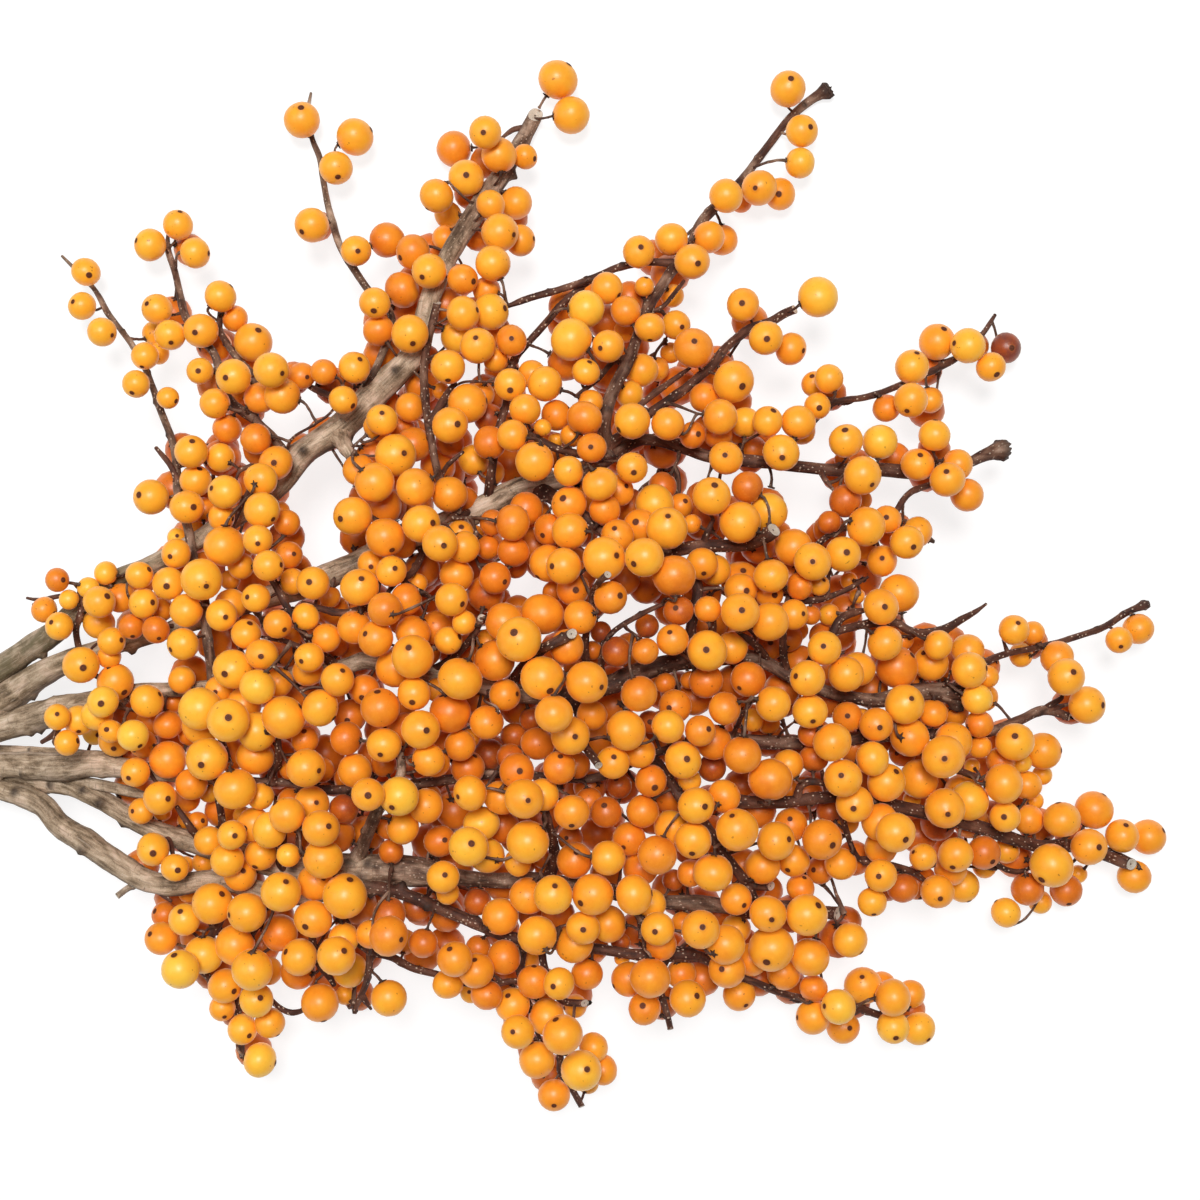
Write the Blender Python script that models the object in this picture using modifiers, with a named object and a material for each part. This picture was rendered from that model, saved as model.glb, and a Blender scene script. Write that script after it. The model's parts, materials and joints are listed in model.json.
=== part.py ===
"""A cut sprig of winterberry, lying on a table.

One stout stem comes down to the table at its cut end and forks into six limbs, which
run out to +X and carry side branches, small twigs and several hundred round berries.
Units are metres, +Z is up, and the table is z = 0. The origin is the middle of the
bounding box on the table.
"""

import heapq
import math

import bmesh
import bpy
import numpy as np
from mathutils import Matrix, Vector
from mathutils.bvhtree import BVHTree

MM = 0.001
GAP = 0.0004  # clearance left between neighbouring pieces
BERRY_GRAIN = 0.00078  # fineness of the berry clusters' skin
FACES_PER_BERRY = 15.5
SPREAD = 1.03  # berries drawn slightly full, because their faces are flat

# Plan data. A plan sheet 1200 units square is laid over the sprig and seen from
# EYE_MM above the table. Across grows to +X and down the sheet grows to -Y.
# Each berry: across, down, radius, depth layer (0 is the top), where its dark eye
# sits (0 0 if it faces away) and its ripeness: n golden, y pale, d deep, r ruddy.
BERRIES = """
58 581 12 0 64 581 r; 49 608 13 1 59 612 d; 60 626 14 0 52 622 n; 74 600 10 1 0 0 y; 107 578 12 1 0 0 y; 93 586 11 1 0 0 y
97 600 16 0 105 594 n; 117 595 15 1 0 0 d; 140 578 14 0 150 572 n; 98 622 16 1 109 632 n; 141 605 15 0 150 604 n; 160 610 13 1 0 0 d
129 625 13 0 130 635 r; 155 628 14 0 158 637 r; 168 584 16 0 166 587 n; 176 554 15 0 170 557 n; 203 577 21.5 0 208 584 n; 186 608 17 0 0 0 n
183 644 16.5 0 170 650 n; 224 617 16 0 228 619 n; 111 644 14 0 121 643 n; 84 664 18 0 86 667 n; 113 660 12 1 0 0 n; 113 686 19 1 122 697 n
101 704 16 0 99 706 y; 147 701 17 0 160 694 n; 183 684 14 1 0 0 n; 60 718 13 0 60 715 n; 68 740 13 0 79 738 n; 81 716 15 1 81 727 y
93 718 16 1 0 0 y; 96 731 14 2 98 735 y; 130 735 16 0 137 746 y; 114 744 17 1 112 753 n; 108 727 12 1 104 725 n; 141 748 14 1 131 754 d
152 722 16 2 157 729 d; 168 725 15 1 0 0 d; 201 708 22 0 0 0 y; 203 724 20 1 0 0 n; 231 722 22 0 231 719 n; 235 668 20 0 227 673 n
222 692 14 1 218 694 n; 228 700 12 2 228 699 n; 210 759 21 0 204 765 n; 233 787 21 0 0 0 n; 163 761 19 1 175 775 d; 136 772 15 0 129 778 n
188 781 16 1 0 0 d; 160 798 16.5 0 168 799 n; 142 806 13 1 133 806 n; 187 798 14 2 0 0 d; 209 792 11 2 0 0 y; 190 735 12 2 0 0 d
172 702 12 2 0 0 d; 154 850 16.5 0 154 854 n; 174 867 14 0 177 870 n; 161 817 9 2 0 0 n; 197 824 11 2 203 822 d; 212 837 15 1 0 0 n
234 834 15 0 237 835 n; 228 862 17 0 0 0 n; 183 828 9 2 0 0 n; 200 857 11 2 0 0 n; 190 864 9 2 0 0 n; 215 902 21 0 225 892 n
188 893 10 2 0 0 n; 164 915 13 1 154 911 r; 187 918 16 0 183 910 n; 161 938 16.5 0 150 933 d
150 245 16 0 136 241 n; 178 225 15 0 180 212 n; 195 253 15.5 0 209 253 n; 86 272 14 0 89 275 n; 82 306 14 0 73 302 n; 102 332 14.5 0 112 335 n
157 309 15.5 0 147 304 n; 155 335 13 2 0 0 y; 171 335 15.5 0 172 343 n; 200 331 17 0 194 333 n; 145 356 14 0 142 367 n; 158 352 11 2 0 0 y
136 384 13.5 0 132 393 n; 168 398 11 0 176 401 n; 222 299 16 0 233 288 n; 231 316 13 1 0 0 d; 200 371 13.5 0 198 371 n; 216 402 15 0 0 0 n
233 379 18 0 225 380 n; 252 341 19 1 257 329 n; 272 373 18 0 283 376 n; 227 429 15 1 0 0 d; 259 403 16 1 0 0 d; 281 391 18.5 1 0 0 n
261 439 16 1 0 0 d; 242 392 12 2 245 398 d
193 452 17 0 194 441 n; 219 457 14.5 1 0 0 y; 192 481 16 1 196 469 n; 151 497 18 0 139 495 n; 187 507 17 0 194 507 n; 224 495 17.5 0 210 491 n
203 517 13 2 0 0 d; 226 519 14 1 238 521 n; 272 466 17 1 270 466 n; 263 478 16.5 0 0 0 n; 260 508 18 0 271 517 n; 287 523 13.5 1 0 0 d
275 505 10 2 0 0 n; 259 537 15.5 0 259 541 n; 222 544 21 0 0 0 n; 240 548 14 2 0 0 d; 289 555 13.5 1 294 554 d; 267 563 16 0 280 562 n
241 566 14 1 0 0 n; 180 537 10 2 180 535 y; 200 540 11 2 0 0 n; 291 582 13 1 0 0 n; 313 583 16.5 0 309 582 n; 256 598 15 0 247 597 n
231 604 16 1 0 0 n; 230 580 10 2 0 0 n; 278 624 14.5 0 285 630 d; 247 618 11 2 250 619 d; 248 636 15 0 252 625 n; 302 620 14 1 0 0 y
326 633 15 1 0 0 n; 292 637 10 2 0 0 n; 330 597 11 2 0 0 n
302 120 18 0 301 108 n; 355 137 19 0 372 129 n; 336 168 16.5 0 338 177 n; 312 225 17 0 302 232 n; 356 251 15 0 358 251 n; 387 240 18 1 0 0 d
413 252 17.5 0 400 258 d; 431 273 18 0 424 279 n; 402 290 18 1 0 0 d; 438 195 17 0 427 210 n; 454 149 18.5 1 0 0 d; 469 179 18 0 469 176 n
487 135 16 0 485 135 n; 448 215 14 2 0 0 y; 445 238 13 2 0 0 n; 463 278 15.5 0 474 280 d; 491 265 18 0 0 0 n
558 80 20 0 570 64 n; 571 115 18.5 0 0 0 n; 520 157 12.5 1 530 159 n; 497 160 18 1 0 0 n; 516 203 16.5 1 0 0 n; 490 205 15 0 0 0 n
503 233 19 0 517 235 n; 516 240 15.5 1 530 238 n; 487 290 14 1 0 0 n; 495 309 18.5 1 510 305 y; 466 313 17.5 0 481 309 n; 639 252 16 0 641 247 n
672 240 16.5 0 0 0 n; 704 237 16 1 0 0 n; 691 262 18 0 697 264 n; 606 291 16 0 618 298 n; 648 290 10 1 650 281 n; 672 296 12 2 0 0 y
788 89 18 0 791 79 n; 802 131 16 0 811 127 n; 800 163 15.5 0 0 0 y; 726 196 17.5 0 713 206 n; 762 188 18 0 758 188 n; 777 194 16 1 776 194 n
741 202 11 2 0 0 d; 722 240 16 2 0 0 n; 818 297 20 0 0 0 y; 743 305 16.5 0 742 303 n
375 306 15.5 0 374 314 n; 383 333 15.5 1 0 0 d; 410 334 19 0 413 344 n; 354 368 16 0 360 359 n; 324 372 13.5 0 0 0 d; 301 381 14 1 307 382 d
343 400 14.5 0 353 406 n; 382 420 16 0 382 413 n; 377 427 14 1 0 0 n; 412 408 15 1 0 0 n; 402 427 14 2 0 0 d; 410 448 18 1 424 442 d
396 458 21 0 405 456 n; 356 466 16.5 1 0 0 n; 376 480 20 0 0 0 n; 418 488 20 0 0 0 n; 449 499 18 1 0 0 n; 470 507 15 2 0 0 d
355 514 19.5 0 343 517 n; 448 367 18 0 448 381 n; 458 335 17 1 0 0 y; 478 346 18 0 476 338 n; 511 341 15.5 0 511 339 d; 499 360 13 1 0 0 n
464 403 20 1 484 400 n; 450 425 18.5 0 458 424 n; 451 443 14.5 2 0 0 d; 483 398 13 2 0 0 n; 488 415 15.5 2 0 0 r; 494 445 17 1 0 0 d
510 437 16 0 0 0 n; 475 461 16 2 0 0 y; 489 471 14 3 0 0 y; 441 391 9 2 0 0 n
586 312 19 0 0 0 y; 625 310 15.5 0 0 0 d; 649 327 15 0 649 340 n; 676 325 14.5 1 682 327 n; 693 351 20 0 694 344 d; 573 337 21 0 0 0 y
607 346 16 0 599 348 n; 586 372 14 0 590 361 n; 588 398 13 1 0 0 n; 625 331 12 2 0 0 n; 545 385 18.5 0 0 0 n; 532 374 14 1 0 0 n
512 387 16 0 512 393 n; 526 411 16 0 0 0 n; 556 414 16 1 570 407 d; 584 421 17.5 0 0 0 d; 573 438 12 1 0 0 n; 591 445 15 0 590 444 d
633 421 18.5 0 619 430 n; 667 424 17 0 651 412 n; 694 435 13.5 1 700 434 d; 640 373 17 2 0 0 y; 659 367 12 3 0 0 y; 669 355 11 3 0 0 y
631 392 14 2 0 0 y; 706 395 15.5 1 716 407 d; 533 459 19.5 0 0 0 n; 568 474 16 0 0 0 n; 600 487 17.5 0 0 0 n; 618 492 15.5 1 626 487 n
632 468 15.5 0 634 473 n; 572 508 18 1 566 502 n; 530 512 17 1 528 516 d; 540 432 9 1 0 0 y; 666 490 15 2 0 0 d; 652 508 20 1 0 0 y
664 528 21 0 665 516 n; 677 502 13 2 682 497 n; 714 498 19 0 717 487 n; 692 524 10 1 0 0 n; 556 440 8 2 0 0 y
766 338 17 0 767 339 n; 791 349 16 1 804 351 n; 731 383 20.5 0 740 388 n; 814 384 13 1 812 376 n; 828 381 15 0 0 0 n; 818 411 13.5 1 820 413 n
798 423 17 0 0 0 n; 802 431 14 2 0 0 y; 769 422 15.5 0 775 411 n; 744 423 16 1 0 0 y; 738 435 10 2 0 0 d; 720 420 18 0 0 0 n
718 430 15 1 0 0 d; 726 458 17 0 725 455 n; 753 458 14.5 2 0 0 d; 781 452 18.5 0 782 457 n; 748 489 16 0 0 0 r; 846 441 17 0 845 430 n
880 442 18 0 0 0 y; 842 460 8 2 0 0 n; 861 478 19.5 0 871 488 n; 844 496 16.5 1 855 505 r; 861 500 11 2 0 0 n; 834 521 12 1 0 0 r
915 469 17 1 918 459 n; 933 438 16 0 934 422 n; 946 477 17.5 0 945 469 n; 953 467 16 1 0 0 n; 967 495 17 1 0 0 n; 912 367 17.5 0 917 353 n
938 342 18.5 1 945 329 n; 966 348 18 0 952 345 y; 1006 348 15.5 1 1012 348 r; 991 367 14.5 0 997 375 n; 908 401 17.5 0 904 412 n; 889 404 14.5 1 0 0 d
930 400 13.5 1 0 0 n
386 537 20 0 393 550 d; 421 526 19.5 0 433 525 n; 402 545 14 2 0 0 n; 443 544 18.5 0 447 546 n; 371 564 14 1 371 567 n; 391 571 15.5 0 395 568 n
360 587 19 0 362 578 n; 411 597 16 1 0 0 n; 418 583 10 2 0 0 y; 384 612 17 0 0 0 d; 353 632 17 1 0 0 n; 374 636 18 0 363 631 d
334 652 12 2 0 0 d; 311 655 15 0 303 659 n; 308 671 16 1 0 0 n; 336 682 17 0 341 673 n; 318 706 18.5 0 332 717 n; 350 716 17 2 347 721 d
365 690 15.5 1 362 698 d; 381 708 19.5 0 378 692 d; 412 654 22 0 408 645 n; 395 668 20 1 0 0 n; 418 632 18 1 0 0 n; 430 631 18 2 0 0 n
435 652 14 2 0 0 d; 451 641 14.5 1 463 637 y; 452 620 10 2 0 0 y; 453 602 16.5 0 464 607 n; 414 693 17 0 412 702 n; 421 731 19.5 0 427 732 n
452 717 21 1 0 0 d; 460 679 22 0 0 0 n; 437 690 12 2 0 0 y; 259 655 16 0 258 657 n; 258 684 18.5 0 0 0 y; 278 682 15.5 1 0 0 n
243 706 18 1 0 0 n; 281 719 21.5 0 298 708 n; 262 730 20 1 283 733 y; 305 740 14 1 304 731 d
512 525 18 0 0 0 d; 492 527 13 1 0 0 d; 545 527 16 1 538 533 d; 570 529 18.5 0 0 0 n; 604 515 16 1 0 0 n; 636 528 17 1 631 524 n
618 541 17 1 615 533 n; 606 556 22 0 619 553 n; 643 560 20 0 632 567 n; 625 580 15 2 0 0 d; 672 578 22 0 0 0 d; 552 560 19 1 541 574 n
565 566 18.5 0 553 566 n; 571 591 17 1 574 592 d; 553 592 11 2 0 0 d; 610 595 17 0 620 593 d; 583 575 14 2 0 0 d; 581 622 17 1 0 0 n
600 634 11 2 0 0 r; 506 619 19 1 0 0 n; 541 618 22 1 0 0 n; 520 642 22.5 0 515 635 n; 567 642 18 1 0 0 n; 590 657 10 2 0 0 d
497 662 21 1 0 0 n; 488 643 14 2 0 0 y; 545 677 22.5 0 553 690 n; 585 682 21.5 0 600 687 n; 480 693 14 2 485 684 d; 502 692 16.5 1 515 691 n
487 720 17 1 0 0 n; 553 711 19.5 0 0 0 n; 592 715 16 1 0 0 n; 569 734 20 0 574 735 n; 515 735 14 3 0 0 r; 530 720 12 3 0 0 r
625 733 20 0 0 0 n; 639 694 19 0 0 0 d; 671 727 17 0 0 0 n; 675 706 17 1 669 708 d; 665 683 11 2 0 0 d; 650 722 12 2 650 722 r
616 650 15.5 1 0 0 r; 648 650 14 0 0 0 d; 673 638 16 0 670 630 d; 647 626 12 2 0 0 r; 680 606 15 1 677 603 r; 512 549 16 1 0 0 d
490 543 13 1 0 0 d; 495 578 16 1 505 582 d; 516 567 12 2 0 0 r; 461 547 16 0 0 0 n; 460 534 15 1 461 526 n; 458 571 17 1 0 0 n
475 535 10 2 0 0 n; 469 624 12 1 0 0 y; 470 738 10 2 0 0 y
742 520 21 0 0 0 n; 768 517 19 1 0 0 y; 698 567 16.5 1 700 577 n; 722 573 16 2 0 0 y; 737 612 20 0 739 610 n; 742 590 17 1 748 591 n
733 578 20 2 736 567 n; 712 612 14 1 0 0 n; 771 576 18 0 0 0 n; 768 594 14 1 774 595 n; 767 621 19.5 0 0 0 n; 789 613 15 1 799 612 n
790 634 11 2 0 0 y; 705 650 21 0 704 649 n; 733 651 17 1 0 0 n; 797 551 19 1 0 0 n; 810 563 19 0 810 563 n; 845 552 18.5 0 849 550 n
866 550 14 2 0 0 n; 880 560 15.5 1 880 557 n; 869 526 20 0 0 0 n; 886 524 14 1 885 522 n; 799 589 14 1 0 0 d; 820 590 11 1 825 585 n
849 581 9 2 0 0 n; 857 596 8 2 0 0 y; 881 607 18 0 885 607 n; 898 592 20.5 1 0 0 n; 811 614 10 1 0 0 d; 828 621 11 2 0 0 y
820 634 14 2 0 0 d; 825 650 17.5 0 824 648 n; 795 656 18 2 0 0 d; 808 678 18 0 796 676 n; 845 673 18.5 0 0 0 n; 858 669 17.5 1 854 681 n
810 711 17.5 0 813 721 n; 773 704 18 0 0 0 n; 723 710 17 0 0 0 d; 706 681 18 1 0 0 d; 746 681 18 1 737 690 d; 690 680 10 2 0 0 d
699 729 16 0 708 727 d; 752 720 12 2 0 0 y; 768 730 12 2 0 0 n; 770 655 14 2 772 650 r; 785 645 14 2 0 0 d; 885 643 18 0 0 0 n
848 717 15 1 848 716 d; 878 727 17 0 882 730 d; 862 722 12 2 0 0 n; 812 735 13 1 0 0 r
905 540 17 0 912 545 n; 917 532 16 1 904 523 n; 903 640 11 2 0 0 n; 938 645 15 0 0 0 n; 931 663 18 1 924 653 n; 968 650 16.5 1 969 655 n
970 673 18 0 987 671 n; 982 676 12 1 0 0 n; 976 697 15.5 1 0 0 y; 985 698 13.5 2 0 0 y; 897 668 21 1 912 656 d; 903 707 20 0 910 701 n
928 714 14.5 1 0 0 n; 907 733 20 1 0 0 n; 955 712 14 2 0 0 n; 979 729 14 1 0 0 d; 979 742 12 1 0 0 n; 948 740 20 1 0 0 n
946 755 21.5 0 947 757 n; 1015 742 19 0 1015 736 n; 1043 751 18.5 1 1061 750 n; 1087 705 18.5 0 1103 705 n; 1066 674 18.5 0 1073 669 n; 1052 657 16.5 1 0 0 n
1014 630 15 0 1018 623 n; 1034 637 12 1 0 0 n; 1021 655 12.5 2 0 0 y; 1119 640 13.5 0 1121 647 n; 1137 624 15.5 1 0 0 n
1005 763 15 1 0 0 d; 1001 785 20 0 0 0 n; 1018 765 10 1 0 0 y; 1026 783 15 1 0 0 n; 1042 775 10 2 0 0 y; 1034 801 10 2 0 0 y; 972 766 8 2 0 0 y
260 756 19 1 252 775 n; 306 768 19.5 0 319 771 n; 287 770 11 2 0 0 d; 347 742 17 1 0 0 d; 354 767 17.5 1 0 0 n; 347 786 14 2 0 0 d
384 745 18 0 380 755 n; 384 764 13 2 0 0 d; 322 777 14 2 0 0 d; 428 757 16.5 0 0 0 n; 436 762 15 1 0 0 n; 409 766 9 2 0 0 r
371 795 17 0 371 796 n; 397 794 19.5 0 390 805 y; 426 789 14 2 0 0 d; 424 808 18 1 0 0 n; 405 826 17 1 0 0 n; 385 829 13 2 0 0 d
391 850 13 2 0 0 d; 440 841 16 2 445 840 d; 443 877 16 0 445 875 n; 448 893 12 1 0 0 n; 419 900 15 2 0 0 r; 259 801 14 1 0 0 y
243 816 10 2 0 0 y; 258 827 17 1 249 831 n; 274 828 18 1 0 0 y; 285 817 18 0 273 805 n; 309 806 18 1 314 805 n; 297 797 14 2 0 0 d
344 808 15 2 0 0 r; 318 829 18.5 0 326 827 n; 339 836 17 2 0 0 d; 323 856 20 0 0 0 n; 293 853 12 1 0 0 y; 316 884 18 1 324 880 n
345 896 22.5 0 350 880 n; 281 892 20 0 286 882 n; 265 857 16.5 1 259 870 n; 241 879 17 1 244 876 n; 247 852 13 2 240 857 d; 244 912 20 0 226 914 n
280 933 19 1 0 0 d; 313 919 19 0 305 927 n; 347 935 16 1 0 0 y; 337 953 20 0 345 948 n; 367 931 15 1 368 913 n; 388 933 20 0 401 937 d
388 919 17 1 0 0 r; 404 942 13 2 0 0 n; 422 943 15 0 0 0 r; 240 946 20 1 0 0 n; 299 957 18.5 0 285 951 n
458 741 16 1 0 0 n; 468 768 17 2 475 756 d; 489 757 16 3 0 0 r; 470 793 17.5 0 457 797 n; 501 798 17.5 1 508 785 n; 527 798 20 0 531 800 n
542 800 17 1 0 0 y; 520 775 18 1 523 775 d; 557 772 17.5 1 558 760 d; 537 744 17 2 0 0 d; 511 757 14 2 521 747 r; 577 765 14 2 0 0 d
614 760 16.5 0 615 754 n; 641 756 16 1 640 747 n; 619 786 13 2 616 779 r; 648 783 16 1 652 790 d; 643 808 17 1 0 0 d; 606 812 16 1 604 805 r
569 811 18 0 569 825 d; 589 801 14 2 0 0 d; 470 844 20 0 473 841 y; 480 826 18 1 0 0 y; 490 856 18 1 0 0 y; 528 842 21.5 0 0 0 n
515 862 14 1 0 0 n; 530 868 12 2 0 0 d; 545 866 10 2 0 0 d; 578 864 18 1 580 856 d; 571 842 13 2 567 842 r; 608 858 17.5 0 0 0 n
631 838 17 1 625 847 d; 640 866 17.5 1 0 0 d; 660 854 20 0 0 0 d; 590 894 21.5 0 577 903 n; 556 895 19.5 0 558 886 n; 525 899 19.5 1 0 0 n
631 895 19.5 0 650 893 n; 500 912 19 1 0 0 n; 482 901 14 2 0 0 r; 537 935 20 0 0 0 n; 573 948 20 1 0 0 n; 584 925 17 0 584 927 n
609 924 18.5 1 0 0 n; 652 908 16 1 0 0 y; 658 932 16.5 0 655 935 n; 656 946 16 1 0 0 d; 620 948 10 2 0 0 r
683 760 18.5 0 687 759 n; 716 743 18 1 0 0 d; 712 768 14 2 0 0 r; 740 754 19.5 0 0 0 d; 773 778 22 0 0 0 d; 788 768 16 1 0 0 n
790 789 10 2 0 0 n; 809 759 15 1 0 0 r; 833 745 19.5 0 0 0 n; 845 776 19.5 0 843 773 n; 870 757 17.5 0 0 0 n; 886 782 19.5 0 896 771 n
854 803 18.5 0 853 808 n; 699 805 19 0 708 806 n; 722 801 17 1 0 0 n; 736 827 21.5 0 731 813 n; 776 841 20 0 790 839 n; 792 825 17 1 791 819 d
821 839 20 0 832 845 d; 830 812 13 2 0 0 r; 846 822 12 2 0 0 y; 766 866 18 1 0 0 n; 790 861 16.5 1 784 871 n; 845 861 16 1 0 0 n
820 870 14 2 813 870 d; 876 847 17 1 0 0 n; 881 873 16 0 879 874 n; 872 902 15 0 874 915 n; 850 940 18 0 862 953 n; 806 912 21.5 0 818 902 n
801 893 14.5 1 805 882 d; 768 913 18.5 0 772 919 n; 740 896 16 1 748 902 n; 810 957 20 0 0 0 n; 770 950 23 0 765 964 n; 752 958 17 1 0 0 n
703 931 20 0 705 929 n; 724 947 20 0 0 0 n; 737 927 15 2 0 0 y; 683 922 12 2 0 0 n; 712 873 20.5 0 0 0 n; 692 873 14 1 0 0 d
673 880 11 2 0 0 r; 674 829 18 1 669 842 n; 690 840 19 0 689 854 n; 688 782 12 1 0 0 y; 783 974 17 1 0 0 n
922 776 19.5 1 0 0 n; 905 757 14 2 899 758 r; 912 799 9 2 0 0 y; 943 806 20.5 0 946 812 n; 972 805 20 1 0 0 y; 962 792 17 2 0 0 n
974 822 18 2 0 0 n; 938 823 17.5 2 0 0 r; 893 831 19.5 0 903 838 n; 884 824 19 1 0 0 n; 923 857 14 0 913 852 n; 956 855 18 0 953 868 n
988 850 17 1 997 859 r; 1006 851 13 2 0 0 y; 985 865 13 2 0 0 y; 948 872 17 1 0 0 n; 963 886 16.5 2 969 901 y; 934 888 16.5 1 937 895 n
903 883 15.5 1 0 0 r; 1051 864 22 0 1041 879 n; 1060 820 18.5 0 1056 802 n; 1005 817 15 0 1004 817 n; 1030 820 15.5 1 0 0 n; 1089 847 18.5 0 1099 847 n
1095 811 19 1 1105 795 n; 1025 890 17 1 0 0 r; 1066 890 16.5 1 1069 904 r; 1078 874 9 2 0 0 y; 1008 910 15 1 998 899 y; 1040 902 12 2 0 0 y
1121 835 17 0 1125 824 n; 1148 837 17.5 1 1163 830 n; 1132 872 16.5 1 0 0 n
183 968 19.5 0 177 954 y; 202 950 19 1 0 0 y; 250 968 21 0 0 0 n; 230 984 17.5 1 239 990 n; 256 995 17 1 260 993 y; 267 975 14 1 0 0 n
298 972 17.5 1 0 0 d; 323 999 19 1 327 1017 n; 351 975 17.5 1 0 0 y; 345 995 10 2 0 0 y; 222 1003 13 1 224 1012 n; 240 1025 15.5 1 247 1032 y
265 1022 15.5 1 273 1035 n; 260 1060 17 0 276 1064 y
389 998 18.5 0 0 0 n; 447 979 15.5 1 0 0 n; 457 961 17.5 0 452 951 d; 478 968 17.5 0 476 957 d; 478 948 13 2 0 0 d; 502 960 18 1 0 0 d
524 957 17 2 0 0 n; 530 982 17 1 530 967 d; 556 984 16 0 550 987 n; 491 997 16 1 0 0 d; 471 992 11 2 469 992 y; 517 1002 17 1 512 993 n
517 1029 17 0 512 1029 n; 550 1015 18 1 0 0 n; 560 1033 20 0 553 1018 n; 575 1006 12 2 564 1008 y; 587 974 16 1 0 0 d; 537 1060 18 0 531 1044 n
554 1095 16.5 0 554 1106 d; 583 1068 21 0 589 1067 y; 592 1052 15 1 0 0 n; 601 1065 15.5 1 0 0 n; 588 1083 11 2 0 0 y
651 975 20 0 0 0 d; 631 983 17.5 1 616 990 d; 643 1006 16.5 0 641 1003 d; 682 972 15 1 0 0 d; 687 996 18.5 0 697 993 n; 722 968 19 1 717 968 n
741 992 16.5 1 748 1003 n; 622 957 8 2 0 0 y
816 993 14 1 0 0 d; 812 1012 17.5 1 796 1013 n; 836 1005 17.5 0 822 1005 y; 843 1027 16.5 1 850 1028 n; 868 987 19 1 867 978 n; 890 997 19 0 0 0 n
882 985 14 2 0 0 n; 911 997 14 1 0 0 n; 893 1027 17 0 896 1038 y; 914 1027 16.5 1 924 1038 y
"""
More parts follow.
